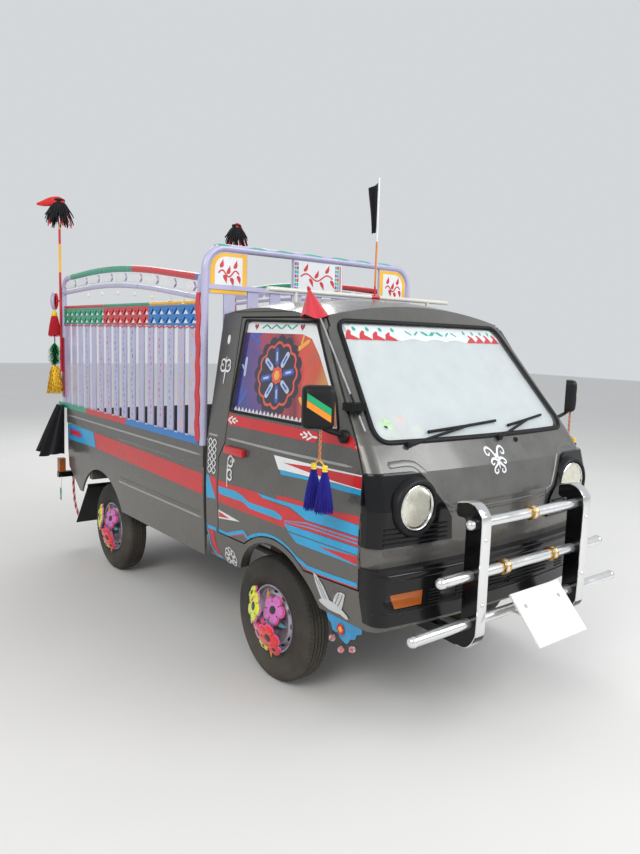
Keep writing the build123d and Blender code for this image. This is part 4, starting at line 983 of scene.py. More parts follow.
# %% Door stripes
DOOR_STRIPES = [  # outline in the side view, paint, layer
    ([(-0.434, 0.838), (-0.30, 0.836), (-0.196, 0.841), (-0.079, 0.842), (-0.058, 0.825), (0.155, 0.821),
      (0.203, 0.812), (0.26, 0.796), (0.300, 0.772), (0.116, 0.730), (-0.434, 0.730)], "red", 0),
    ([(-0.434, 0.809), (-0.273, 0.814), (-0.212, 0.804), (-0.16, 0.784), (0.054, 0.788), (0.107, 0.771),
      (0.098, 0.757), (-0.149, 0.756), (-0.208, 0.775), (-0.418, 0.773)], "sky", 1),
    ([(-0.086, 0.84), (0.057, 0.841), (0.269, 0.849), (0.592, 0.848), (0.592, 0.806), (0.272, 0.797),
      (0.214, 0.813), (0.155, 0.828), (-0.046, 0.826)], "sky", 1),
    ([(0.056, 0.858), (0.153, 0.867), (0.366, 0.868), (0.592, 0.882), (0.592, 0.849), (0.269, 0.850),
      (0.057, 0.842)], "red", 0),
    ([(0.107, 0.766), (0.267, 0.795), (0.592, 0.803), (0.592, 0.766), (0.116, 0.750)], "red", 2),
    ([(0.120, 0.763), (0.270, 0.787), (0.592, 0.796), (0.592, 0.790), (0.270, 0.782), (0.122, 0.761)],
     "sky", 3),
    ([(0.120, 0.758), (0.300, 0.774), (0.592, 0.781), (0.592, 0.775), (0.300, 0.769), (0.122, 0.756)],
     "sky", 3),
    ([(0.116, 0.749), (0.592, 0.763), (0.592, 0.734), (0.147, 0.723)], "sky", 1),
    ([(0.147, 0.718), (0.592, 0.730), (0.592, 0.691), (0.208, 0.684)], "sky", 1),
    ([(0.352, 0.708), (0.592, 0.729), (0.592, 0.694)], "red", 2),
    ([(0.024, 1.028), (0.315, 1.030), (0.592, 1.036), (0.592, 0.981), (0.453, 0.981), (0.063, 0.972)],
     "white", 0),
    ([(0.093, 1.006), (0.315, 1.021), (0.592, 1.031), (0.592, 0.985), (0.453, 0.987), (0.262, 0.995)],
     "red", 1),
    ([(0.072, 0.971), (0.274, 0.974), (0.463, 0.979), (0.592, 0.979), (0.592, 0.961), (0.464, 0.958),
      (0.274, 0.962), (0.083, 0.953)], "sky", 0),
    ([(-0.430, 0.693), (-0.234, 0.675), (-0.428, 0.650)], "white", 0),
    ([(-0.425, 0.684), (-0.327, 0.670), (-0.424, 0.658)], "red", 1),
    ([(0.330, 1.182), (0.545, 1.171), (0.572, 1.126), (0.330, 1.126)], "red", 0),
    ([(-0.412, 1.163), (0.296, 1.160), (0.310, 1.150), (0.296, 1.116), (-0.392, 1.114), (-0.425, 1.138)],
     "red", 1),
]
ARCH_X, ARCH_Z, ARCH_R = 0.026, 0.296, 0.370
arch_angles = [math.radians(130 - 8.6 * k) for k in range(13)]
arch = [(ARCH_X + ARCH_R * math.cos(a), ARCH_Z + ARCH_R * math.sin(a)) for a in arch_angles]
ARCH_LINE = [(-0.430, 0.588), (-0.345, 0.588), (-0.300, 0.604), (-0.205, 0.635)]
ARCH_LINE += [(x, z) for x, z in arch if x > -0.19 and z > 0.605]
ARCH_LINE += [(0.285, 0.600), (0.380, 0.603), (0.470, 0.608), (0.590, 0.616)]
DOOR_STRIPES.append((band_outline(ARCH_LINE, 0.018), "sky", 1))
DOOR_STRIPES.append((band_outline([(x, z - 0.011) for x, z in ARCH_LINE], 0.008), "red", 0))
for side_name in ("left", "right"):
    piece = side_paint("door_stripes_" + side_name, DOOR_STRIPES, ["door_" + side_name], "door_" + side_name)
print("door stripe cells:", len(piece.data.polygons))

# %% [markdown]
# ## Stripes on the bed and behind the door
# A broad red band runs along the bed side, with a sky blue block behind it, and a blue wedge leads it
# on to the door. These ride with the body of the truck, since the door swings and the bed doesn't.

# %% Bed and pillar stripes
BED_STRIPES = [
    ([(-2.038, 0.872), (-0.585, 0.842), (-0.585, 0.738), (-2.000, 0.770)], "red", 0),
    ([(-2.520, 0.876), (-2.050, 0.872), (-2.010, 0.772), (-2.520, 0.765)], "sky", 0),
    ([(-2.500, 0.852), (-2.300, 0.848), (-2.235, 0.822), (-2.290, 0.796), (-2.500, 0.798)], "violet", 1),
    ([(-2.470, 0.840), (-2.320, 0.837), (-2.275, 0.822), (-2.320, 0.808), (-2.470, 0.810)], "red", 2),
]
PILLAR_STRIPES = [
    ([(-0.545, 0.848), (-0.522, 0.848), (-0.455, 0.740), (-0.545, 0.732)], "sky", 1),
    ([(-0.545, 0.849), (-0.449, 0.842), (-0.449, 0.738), (-0.455, 0.740)], "red", 0),
    ([(-0.530, 0.590), (-0.480, 0.590), (-0.478, 0.490), (-0.438, 0.452), (-0.470, 0.452), (-0.522, 0.486)],
     "red", 1),
    (band_outline([(-0.538, 0.594), (-0.534, 0.482), (-0.480, 0.446), (-0.430, 0.446)], 0.012), "sky", 2),
    (band_outline([(-0.545, 0.588), (-0.450, 0.588)], 0.018), "sky", 2),
]
for side_name in ("left", "right"):
    side_paint("bed_stripes_" + side_name, BED_STRIPES, ["bed_side_" + side_name], "chassis")
    piece = side_paint("pillar_stripes_" + side_name, PILLAR_STRIPES, ["cab_sides"], "chassis", cell=0.02)
print("pillar stripe cells:", len(piece.data.polygons))

# %% [markdown]
# ## Painted hoop, plates and small bells
# The hoop over each rack is painted in lengths like the rail: lilac at the rear bend, then green, red
# and blue. A thin sleeve of paint over the CAD tube gives each length its own end. Pale plates stand
# on the rod below it, and tiny cream bells hang from the inner tube.

# %% Hoop paint
RACK_REAR_X, RACK_POST_X = -2.600 + AXLE, -0.634 + AXLE
CREST_X, CREST_Z = (RACK_REAR_X + RACK_POST_X) / 2, 1.925
REAR_SLOPE, FRONT_SLOPE, HOOP_RADIUS = math.atan(0.040), math.atan(0.118), 7.0
TANGENT = HOOP_RADIUS * math.tan((REAR_SLOPE + FRONT_SLOPE) / 2)
TUBE_R, SLEEVE_THICK = 0.017, 0.0014
RACK_SIDE = 0.690


def hoop_height(x, drop=0.0):
    """Centre line of the hoop: two straight ends and one long arc between them."""
    first = CREST_X - TANGENT * math.cos(REAR_SLOPE)
    last = CREST_X + TANGENT * math.cos(FRONT_SLOPE)
    if x < first:
        return CREST_Z - drop - (CREST_X - x) * math.tan(REAR_SLOPE)
    if x > last:
        return CREST_Z - drop - (x - CREST_X) * math.tan(FRONT_SLOPE)
    middle_x = first + HOOP_RADIUS * math.sin(REAR_SLOPE)
    middle_z = CREST_Z - TANGENT * math.sin(REAR_SLOPE) - HOOP_RADIUS * math.cos(REAR_SLOPE)
    return middle_z + math.sqrt(HOOP_RADIUS**2 - (x - middle_x) ** 2) - drop


HOOP_LENGTHS = [(-1.560, -0.560, 0), (-0.560, 0.200, 1), (0.200, RACK_POST_X, 2)]  # start, end, colour
SLAT_COUNT = 16
SLAT_PITCH = (RACK_POST_X - RACK_REAR_X - 2 * TUBE_R) / SLAT_COUNT
BELL_X = (-1.28, -1.04, -0.79, -0.55, -0.32, -0.105, 0.05, 0.198)
MARK_COLOURS = [None, "orange", None, "teal", None, "pink", "pink", "blue", "blue", "blue", None, "pink",
                "pink", "teal", "orange", "orange"]

cream = finish("cream", (0.78, 0.74, 0.60), rough=0.45, mottle=0.1, mottle_scale=60)
MARKS = {
    name: finish("mark_" + name, colour, rough=0.5)
    for name, colour in (
        ("pink", (0.62, 0.08, 0.20)), ("teal", (0.05, 0.36, 0.38)), ("blue", (0.04, 0.20, 0.48)),
        ("orange", (0.80, 0.38, 0.06)),
    )
}

for side_name, sign in SIDES:
    sleeves = Bundle()
    for start, end, colour in HOOP_LENGTHS:
        count = max(4, int((end - start) / 0.05))
        line = [Vector((start + (end - start) * k / count, sign * RACK_SIDE, 0)) for k in range(count + 1)]
        for point in line:
            point.z = hoop_height(point.x)
        sleeves.add(*sweep_rows(line, ring(TUBE_R + SLEEVE_THICK, 20), guides=[LEFTWARD] * len(line)),
                    mark=colour)
    hoop = sleeves.piece("hoop_paint_" + side_name, [ENAMELS["green"], ENAMELS["red"], ENAMELS["blue"]])
    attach(hoop, "chassis")
print("hoop from", round(hoop_height(RACK_REAR_X), 3), "over", round(hoop_height(CREST_X), 3), "to",
      round(hoop_height(RACK_POST_X), 3))

# %% [markdown]
# ## Plates, bells, slat marks and fretwork trim
# The plates are white painted tin with a raised rim. The slats carry a row of small brushed leaves
# each, in the colour of their group. The fretwork has a bead along its edges, a row of studs, and a
# red zigzag below it. All of it repeats, so loops over short tables place it.

# %% Rack ornament
PLATE_COUNT, PLATE_HALF_TALL, PLATE_DROP = 9, 0.0225, 0.049
PLATE_HALF_WIDE = 0.5 / PLATE_COUNT * (RACK_POST_X - RACK_REAR_X) - 0.011
w, h = PLATE_HALF_WIDE, PLATE_HALF_TALL
PLATE_SHAPE = [
    (-w, 0), (0.018 - w, h * 0.8), (0.026 - w, h), (w - 0.026, h), (w - 0.018, h * 0.8), (w, 0),
    (w - 0.018, -h * 0.8), (w - 0.026, -h), (0.026 - w, -h), (0.018 - w, -h * 0.8),
]
BELL_DROP, BELL_HANG = 0.098, 0.013
BELL_FORM = [(0.0030, -0.014), (0.0065, -0.020), (0.0085, -0.030), (0.0125, -0.037), (0.0105, -0.0365)]
CLAPPER_FORM = [(0.001, -0.0345), (0.0036, -0.038), (0.0036, -0.041), (0.001, -0.044)]
MARK_ROWS, MARK_LOW_Z, MARK_RISE = 15, 1.055, 0.034
FRET_LINES = (1.581, 1.6275, 1.674)
STUD_LINES, STUD_CELLS = (1.604, 1.6535), 21
RIM_OUT = RACK_SIDE + 0.006
ZIGZAG_POINTS, ZIGZAG_Z, ZIGZAG_HALF = 64, 1.566, 0.0045

for side_name, sign in SIDES:
    out = Vector((0, sign, 0))
    plates = Bundle()
    for k in range(PLATE_COUNT):
        x = RACK_REAR_X + (RACK_POST_X - RACK_REAR_X) * (k + 0.7) / (PLATE_COUNT + 0.4)
        slope = (hoop_height(x + 0.01) - hoop_height(x - 0.01)) / 0.02
        lean = (FORWARD + UP * slope).normalized() * sign
        place = Vector((x, sign * (RACK_SIDE + 0.0042), hoop_height(x, PLATE_DROP)))
        plates.add(*plate_rows(PLATE_SHAPE, 0.0022, place, lean, out.cross(lean)))
        inner = [(a * 0.80, b * 0.55) for a, b in PLATE_SHAPE]
        plates.add(*plate_rows(inner, 0.0014, place + out * 0.0021, lean, out.cross(lean)))
    piece = plates.piece("rack_plates_" + side_name, [white_enamel])
    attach(piece, "chassis")

    bells = Bundle()
    for x in BELL_X:
        spot = Vector((x, sign * RACK_SIDE, hoop_height(x, BELL_DROP) - BELL_HANG))
        bells.add(*sweep_rows([spot + UP * 0.002, spot - UP * 0.016], ring(0.0011, 6)))
        bells.add(*turned_rows(BELL_FORM, spot, UP, 14))
        bells.add(*turned_rows(CLAPPER_FORM, spot, UP, 8))
    piece = bells.piece("rack_bells_" + side_name, [cream], smooth=60)
    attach(piece, "chassis")

    marks = Bundle()
    names = list(MARKS)
    for k, colour in enumerate(MARK_COLOURS):
        if colour is None:
            continue
        x = RACK_REAR_X + TUBE_R + SLAT_PITCH * (k + 0.5)
        for j in range(MARK_ROWS):
            size = 0.010 + 0.003 * math.sin(j * 1.7 + k)
            leaf = [(a, b) for b, a in oval(size, 0.42 * size, 8)]
            shift = 0.010 * math.sin(j * 0.9)
            for face in (1, -1):
                place = Vector((x + shift, sign * RACK_SIDE + face * 0.0041, MARK_LOW_Z + MARK_RISE * j))
                lean = (FORWARD + UP * 0.35 * (-1) ** j).normalized() * face
                rise = Vector((0, face, 0)).cross(lean)
                marks.add(*plate_rows(leaf, 0.0006, place, lean, rise), mark=names.index(colour))
    piece = marks.piece("slat_marks_" + side_name, [MARKS[n] for n in names], smooth=0)
    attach(piece, "chassis")

    trim = Bundle()
    start, end = RACK_REAR_X + TUBE_R, RACK_POST_X - TUBE_R
    for z in FRET_LINES:
        line = [Vector((x, sign * RIM_OUT, z)) for x in (start, end)]
        trim.add(*sweep_rows(line, flat_section(0.007, 0.0035), guides=[out, out]))
    cell = (end - start) / STUD_CELLS
    for z in STUD_LINES:
        for k in range(STUD_CELLS + 1):
            spot = Vector((start + cell * min(max(k, 0.3), STUD_CELLS - 0.3), sign * RIM_OUT, z))
            trim.add(*turned_rows([(0.0058, -0.001), (0.0052, 0.003), (0.0028, 0.0052)], spot, out, 10))
    piece = trim.piece("fret_trim_" + side_name, [rack_enamel])
    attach(piece, "chassis")

    zigzag = []
    for k in range(ZIGZAG_POINTS):
        x = start + (end - start) * k / (ZIGZAG_POINTS - 1)
        zigzag.append(Vector((x, sign * (RACK_SIDE + 0.0065), ZIGZAG_Z + ZIGZAG_HALF * (-1) ** k)))
    guides = [out] * ZIGZAG_POINTS
    piece = sweep("fret_zigzag_" + side_name, zigzag, flat_section(0.006, 0.002), ENAMELS["red"], guides=guides)
    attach(piece, "chassis")
print("slat pitch:", round(SLAT_PITCH, 4))

# %% [markdown]
# ## Wavy boards on the front and rear posts
# A red board with a white wavy edge stands on the front post of each rack, and a narrow board that is
# half blue and half red covers the lower part of the rear post. They are flat sawn boards, so they are
# cut-out plates with a slightly larger white one behind.

# %% Post boards
BOARD_LOW_Z, BOARD_HIGH_Z, BOARD_MIDDLE_X = 1.000, 1.735, RACK_POST_X + 0.012
BOARD_HALF, BOARD_WAVE, BOARD_STEPS = 0.021, 0.0055, 40
BOARD_THICK, STRIP_THICK = 0.007, 0.005
STRIPS = ((-1.752, -1.732, 0), (-1.732, -1.712, 1))  # from, to, colour
STRIP_LOW_Z, STRIP_TOP_Z = 1.06, 1.48
POST_FACE = RACK_SIDE + TUBE_R + 0.0005


def wavy_edge(sign, phase, grow):
    """One sawn edge of the board, from low to high."""
    rows = []
    for k in range(BOARD_STEPS + 1):
        wave = BOARD_WAVE * math.sin(k * 2 * math.pi / 8 + phase)
        z = BOARD_LOW_Z + (BOARD_HIGH_Z - BOARD_LOW_Z) * k / BOARD_STEPS
        rows.append((sign * BOARD_HALF + wave + sign * grow, z))
    return rows


def as_seen(shape, sign):
    """A shape drawn for the left side, turned so that its plate faces outward on either side."""
    shape = [(a * sign, b) for a, b in shape]
    return shape if sign == 1 else shape[::-1]


for side_name, sign in SIDES:
    across = FORWARD * sign
    board = Bundle()
    for grow, depth, mark in ((0.0065, 0.000, 0), (0.0, 0.006, 1)):
        shape = wavy_edge(1, 0.0, grow) + wavy_edge(-1, 1.2, grow)[::-1]
        place = Vector((BOARD_MIDDLE_X, sign * (POST_FACE + depth), 0))
        board.add(*plate_rows(as_seen(shape, sign), BOARD_THICK, place, across, UP), mark=mark)
    piece = board.piece("front_board_" + side_name, [white_enamel, ENAMELS["red"]])
    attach(piece, "chassis")
    strip = Bundle()
    for x0, x1, mark in STRIPS:
        shape = as_seen(box_outline(x0, STRIP_LOW_Z, x1, STRIP_TOP_Z), sign)
        strip.add(*plate_rows(shape, STRIP_THICK, Vector((0, sign * POST_FACE, 0)), across, UP), mark=mark)
    piece = strip.piece("rear_board_" + side_name, [ENAMELS["blue"], ENAMELS["red"]])
    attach(piece, "chassis")
print("boards stand from", BOARD_LOW_Z, "to", BOARD_HIGH_Z)

# %% [markdown]
# ## Headboard panels
# Three sign panels sit under the headboard's hoop. Each is a white field with a plain red vine, the
# corner ones in a broad yellow border, and the middle one between two columns of small coloured
# checks. Green leaves are brushed along the lilac hoop above them.

# %% Headboard
BOARD_X = -0.596 + AXLE
FIELD_THICK, VINE_THICK, FIELD_STEP = 0.0012, 0.0008, 0.0011
CORNER_SIGN = ((0.456, 0.664, 1.736, 1.934, 0.085, 0),
               (0.482, 0.640, 1.760, 1.916, 0.065, 1))  # y, y, z, z, radius, colour
CHECK_COLUMNS, CHECK_LOW_Z, CHECK_RISE = (-0.152, -0.138, 0.124, 0.138), 1.782, 0.0215
CHECK_HALF, CHECK_TALL = 0.006, 0.017
SIGN_STRIPES = ((0.142, 0.148, 4), (0.150, 0.155, 5), (0.157, 0.161, 2))  # from, to, colour
leaf_green = finish("leaf_green", (0.02, 0.42, 0.28), rough=0.35, coat=0.3)


def rounded(y0, z0, y1, z1, radius, corner=None, count=8):
    """Outline of a panel with one corner rounded, or all of them."""
    rows = []
    for cy, cz, first, key in ((y1, z0, -90, "a"), (y1, z1, 0, "b"), (y0, z1, 90, "c"), (y0, z0, 180, "d")):
        r = radius if corner is None or key == corner else 0.004
        inner_y = cy - r if cy == y1 else cy + r
        inner_z = cz - r if cz == z1 else cz + r
        for k in range(count + 1):
            angle = math.radians(first + 90 * k / count)
            rows.append((inner_y + r * math.cos(angle), inner_z + r * math.sin(angle)))
    return rows


def vine(wide, tall):
    """Outlines of a wavy stem with six leaves."""
    stem = [(-wide / 2 + wide * k / 24, tall * 0.14 * math.sin(3 * math.pi * k / 24)) for k in range(25)]
    rows = [band_outline(stem, 0.0075)]
    for k, hand in ((3, 1), (7, -1), (11, 1), (15, -1), (19, 1), (23, -1)):
        a, b = stem[k]
        leaf = []
        for angle in circle_angles(16):
            long = 0.5 + 0.5 * math.cos(angle)
            aside = 0.16 * tall * math.sin(angle) * long
            leaf.append((a + aside + 0.10 * wide * (1 - long), b + hand * (0.012 + 0.40 * tall * (1 - long))))
        rows.append(leaf)
    return rows


signs = Bundle()
for face in (1, -1):
    across = Vector((0, face, 0))
    step = Vector((face * FIELD_STEP, 0, 0))
    first = Vector((BOARD_X + face * 0.0062, 0, 0))
    for hand in (1, -1):
        corner = "b" if hand * face == 1 else "c"
        place = first.copy()
        for near, far, low_z, high_z, radius, mark in CORNER_SIGN:
            ends = sorted((hand * face * near, hand * face * far))
            outline = rounded(ends[0], low_z, ends[1], high_z, radius, corner)
            signs.add(*plate_rows(outline, FIELD_THICK, place, across, UP), mark=mark)
            place += step
        for outline in vine(0.118, 0.110):
            shifted = [(a + sum(ends) / 2, b + 1.834) for a, b in outline]
            signs.add(*plate_rows(shifted, VINE_THICK, place, across, UP), mark=2)
    signs.add(*plate_rows(rounded(-0.160, 1.774, 0.170, 1.935, 0.006), FIELD_THICK, first, across, UP), mark=1)
    place = first + step
    for outline in vine(0.220, 0.120):
        shifted = [(a - 0.008, b + 1.855) for a, b in outline]
        signs.add(*plate_rows(shifted, VINE_THICK, place, across, UP), mark=2)
    for k in range(7):
        z = CHECK_RISE * k
        for j, y in enumerate(CHECK_COLUMNS):
            check = box_outline(y - CHECK_HALF, CHECK_LOW_Z + z, y + CHECK_HALF, CHECK_LOW_Z + CHECK_TALL + z)
            signs.add(*plate_rows(check, VINE_THICK, place, across, UP), mark=(2, 5, 3)[(k + j) % 3])
    for y0, y1, mark in SIGN_STRIPES:
        stripe = box_outline(y0, 1.780, y1, 1.930)
        signs.add(*plate_rows(stripe, VINE_THICK, first + Vector((face * 0.001, 0, 0)), across, UP), mark=mark)
piece = signs.piece("sign_panels", [ENAMELS["yellow"], white_enamel, ENAMELS["red"], leaf_green,
                                    MARKS["orange"], ENAMELS["sky"]], smooth=0)
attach(piece, "chassis")

HOOP_Z, LEAF_R, LEAF_CELLS = 1.957, 0.0198, 14
LEAF_ENDS = (
    (-0.636, -0.560), (-0.450, -0.345), (-0.290, -0.170), (-0.110, 0.020), (0.080, 0.210), (0.260, 0.370),
    (0.430, 0.530),
)
leaves = Bundle()
for y0, y1 in LEAF_ENDS:
    for middle_angle in (38, 142):
        points = []
        for k in range(LEAF_CELLS + 1):
            t = k / LEAF_CELLS
            y = y0 + (y1 - y0) * k / LEAF_CELLS
            half = 20 * math.sin(math.pi * min(max(t, 0.02), 0.98)) ** 0.8
            for j in range(5):
                angle = math.radians(middle_angle + 14 * math.sin(t * 4) + half * (j - 2) / 2)
                points.append((BOARD_X + LEAF_R * math.cos(angle), y, HOOP_Z + LEAF_R * math.sin(angle)))
        leaves.add(points, grid_faces(LEAF_CELLS + 1, 5, close_columns=False, back=True))
piece = leaves.piece("hoop_leaves", [leaf_green], smooth=60)
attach(piece, "chassis")
print("sign panels and leaves are on the headboard at x", BOARD_X)

# %% [markdown]
# ## Window seals
# The windscreen and the back window sit in black rubber seals with rounded corners, and each door
# window has a thin black channel. A bead swept round the edge of each hole, square to the skin, gives
# the seal its soft, bright edge. The skin's place is found by looking along the view on to the panel.

# %% Seals round the glass
def corner_ends(before, here, after, radius):
    """Where a rounded corner starts and ends on its two sides."""
    to_before, to_after = (before - here).normalized(), (after - here).normalized()
    half = to_before.angle(to_after) / 2
    return here + to_before * radius / math.tan(half), here + to_after * radius / math.tan(half)


def frame_line(corners, radius, count=8, cells=14):
    """A closed outline with rounded corners, with extra points on its straight sides."""
    corners = [Vector(corner) for corner in corners]
    rows = []
    total = len(corners)
    for k, here in enumerate(corners):
        after, beyond = corners[(k + 1) % total], corners[(k + 2) % total]
        start, end = corner_ends(corners[k - 1], here, after, radius)
        for j in range(count + 1):
            t = j / count
            rows.append((1 - t) ** 2 * start + 2 * t * (1 - t) * here + t**2 * end)
        stop = corner_ends(here, after, beyond, radius)[0]
        for j in range(1, cells):
            rows.append(end + (stop - end) * j / cells)
    return rows


cab_skin = panel_tree("cab_front", "cab_roof", "cab_sides", "cab_back", "door_left", "door_right")


def seal(name, outline, view, material, width, height, body, tree=cab_skin):
    """A bead along an outline on the skin: (across, up) for a view along X, (along, up) for one along Y."""
    places_seen = [Vector((0.0, a, b)) if view.x else Vector((a, 0.0, b)) for a, b in outline]
    path, guides = line_on_skin(tree, [place - view * 2.0 for place in places_seen], view, 3.0)
    piece = sweep(name, path, flat_section(width, height), material, guides=guides, closed=True, smooth=50)
    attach(piece, body)
    return piece


screen_line = frame_line([(-0.607, 1.145), (0.607, 1.145), (0.513, 1.607), (-0.513, 1.607)], 0.055)
piece = seal("screen_seal", screen_line, BACKWARD, black_rubber, 0.020, 0.010, "chassis")
back_line = frame_line(box_outline(-0.476, 1.234, 0.476, 1.566), 0.055)
piece = seal("back_seal", back_line, FORWARD, black_rubber, 0.018, 0.009, "chassis")
DOOR_WINDOW = [(-0.376, 1.178), (0.428, 1.178), (0.384, 1.300), (0.182, 1.598), (-0.345, 1.605)]
for side_name, sign in SIDES:
    line = frame_line([(x + AXLE, z) for x, z in DOOR_WINDOW], 0.016)
    view, body = Vector((0, -sign, 0)), "door_" + side_name
    piece = seal("door_seal_" + side_name, line, view, black_rubber, 0.011, 0.005, body, panel_tree(body))
print("seal points:", len(screen_line))

# %% [markdown]
# ## Pressed lines in the panels
# Real panels have pressed beads: one along the belt below the windows, one across the front below the
# lamps, and two along the bed side. Each is a low bead swept along the skin. The hood beads and one bed
# bead are in the body colour; the belt beads and the other bed beads are a paler grey, a painted
# highlight for the thin bright line they catch.

# %% Pressed beads
BEAD_SUNK = 0.0004
# The body grey made about three times lighter: a painted highlight along the beads.
painted_highlight_bead = finish("painted_highlight_bead", (0.34, 0.335, 0.325), rough=0.34, coat=0.3, metallic=0.2, dust=0.1)


def bead(name, points, view, tree, body, material, width=0.012, height=0.0045, count=10):
    """A low bead that thins out at both ends."""
    starts = [point - view * 0.5 for point in smooth_line(points, count)]
    path, guides = line_on_skin(tree, starts, view, 1.5, lift=-BEAD_SUNK)
    sizes = [0.05 if k in (0, len(path) - 1) else 1.0 for k in range(len(path))]
    piece = sweep(name, path, flat_section(width, height), material, guides=guides, scale=sizes, smooth=60)
    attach(piece, body)


# The belt beads and the first and last bed beads wear the painted highlight paint; the middle bed bead is body
# colour.
BELT_DOOR = [(-0.425, 1.050), (0.1, 1.050), (0.585, 1.058)]  # forward, up
BELT_PILLAR = [(-0.540, 1.050), (-0.455, 1.050)]
BED_LINES = ((0.937, -2.525, painted_highlight_bead), (0.640, -1.66, body_enamel), (0.615, -1.66, painted_highlight_bead))
HOOD_MIDDLE = [(-0.30, 0.884), (-0.15, 0.878), (0.15, 0.878), (0.30, 0.884)]  # across, up
HOOD_SIDE = [(0.30, 0.884), (0.350, 0.905), (0.395, 0.960), (0.455, 1.050), (0.500, 1.072), (0.600, 1.070)]
HOOD_X = 1.5


def in_side_view(rows, sign):
    return [(x + AXLE, sign * PANEL_Y, z) for x, z in rows]


for side_name, sign in SIDES:
    view, door = Vector((0, -sign, 0)), "door_" + side_name
    bead("belt_door_" + side_name, in_side_view(BELT_DOOR, sign), view, panel_tree(door), door, painted_highlight_bead)
    belt = in_side_view(BELT_PILLAR, sign)
    bead("belt_pillar_" + side_name, belt, view, panel_tree("cab_sides"), "chassis", painted_highlight_bead)
    bed_skin = panel_tree("bed_side_" + side_name)
    for k, (z, rear, paint) in enumerate(BED_LINES):
        line = in_side_view([(rear, z), (-1.2, z), (-0.59, z)], sign)
        bead(f"bed_line_{side_name}_{k}", line, view, bed_skin, "chassis", paint)
front_skin = panel_tree("cab_front")
hood = [(HOOD_X, y, z) for y, z in HOOD_MIDDLE]
bead("hood_line", hood, BACKWARD, front_skin, "chassis", body_enamel, 0.022, 0.006, count=12)
for side_name, sign in SIDES:
    hood = [(HOOD_X, sign * y, z) for y, z in HOOD_SIDE]
    bead("hood_line_" + side_name, hood, BACKWARD, front_skin, "chassis", body_enamel, 0.030, 0.003)
print("pressed beads are on the panels")

# %% [markdown]
# ## Lamps
# A round headlamp is a bright dish with a lens in front whose back is pressed in fine ribs. The dish,
# its chromed rim and the lens are turned shapes. The lens is nearly clear, so the dish shows through,
# and the ribs are real waves in its mesh.

# %% Headlamps
LAMP_X, LAMP_Y, LAMP_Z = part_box("headlamps")[1].x - 0.016, 0.509, 0.915
LENS_R, LENS_BOW, LENS_RIB, LENS_RIB_PITCH = 0.0795, 0.012, 0.0013, 520
DISH_FORM = [(0.006, -0.036), (0.030, -0.034), (0.055, -0.026), (0.074, -0.012), (0.082, 0.0)]
RIM_FORM = [
    (0.0790, -0.004), (0.0800, 0.003), (0.0835, 0.0055), (0.0880, 0.003), (0.0900, -0.004), (0.0895, -0.020),
    (0.0800, -0.020),
]
BULB_FORM = [(0.012, -0.03), (0.012, -0.012), (0.007, -0.006)]
SCREW_RING, SCREW_FORM = 0.0845, [(0.004, 0), (0.0035, 0.002)]
lens_glass = glassy("lens_glass", (0.86, 0.84, 0.74), rough=0.05, alpha=0.36)
dish_silver = finish("dish_silver", (0.86, 0.83, 0.72), rough=0.16, metallic=1.0, mottle=0.12, mottle_scale=30)


def lens_rows(centre, rings=9, count=72):
    """A bowed lens with upright ribs: one middle point, then rings round it."""
    points = [centre + Vector((LENS_BOW, 0, 0))]
    for j in range(1, rings + 1):
        r = LENS_R * j / rings
        bow = LENS_BOW * (1 - (j / rings) ** 2)
        for y, z in ring(r, count):
            rib = LENS_RIB * math.sin(y * LENS_RIB_PITCH) if j < rings else 0
            points.append(centre + Vector((bow + rib, y, z)))
    faces = [(0, 1 + k, 1 + (k + 1) % count) for k in range(count)]
    faces += [tuple(1 + i for i in face) for face in grid_faces(rings, count, back=True)]
    return points, faces


lamps = Bundle()
for sign in (1, -1):
    centre = Vector((LAMP_X, sign * LAMP_Y, LAMP_Z))
    lamps.add(*turned_rows(DISH_FORM, centre, FORWARD, 48), mark=0)
    lamps.add(*open_turned_rows(RIM_FORM, centre, FORWARD, 48), mark=1)
    lamps.add(*turned_rows(BULB_FORM, centre, FORWARD, 16), mark=1)
    for k in range(3):
        angle = math.radians(90 + 120 * k)
        spot = centre + Vector((0.0035, SCREW_RING * math.cos(angle), SCREW_RING * math.sin(angle)))
        lamps.add(*turned_rows(SCREW_FORM, spot, FORWARD, 8), mark=1)
    lamps.add(*lens_rows(centre + Vector((-0.002, 0, 0))), mark=2)
piece = lamps.piece("lamp_units", [dish_silver, chrome_plate, lens_glass], smooth=50)
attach(piece, "chassis")
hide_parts("headlamps")
print("headlamps face forward at x", round(LAMP_X, 3))

# %% [markdown]
# ## Lamp surrounds and louvres
# Each lamp sits in a moulded black surround: a deep round collar and four thin louvres below it that
# run on towards the middle of the truck.

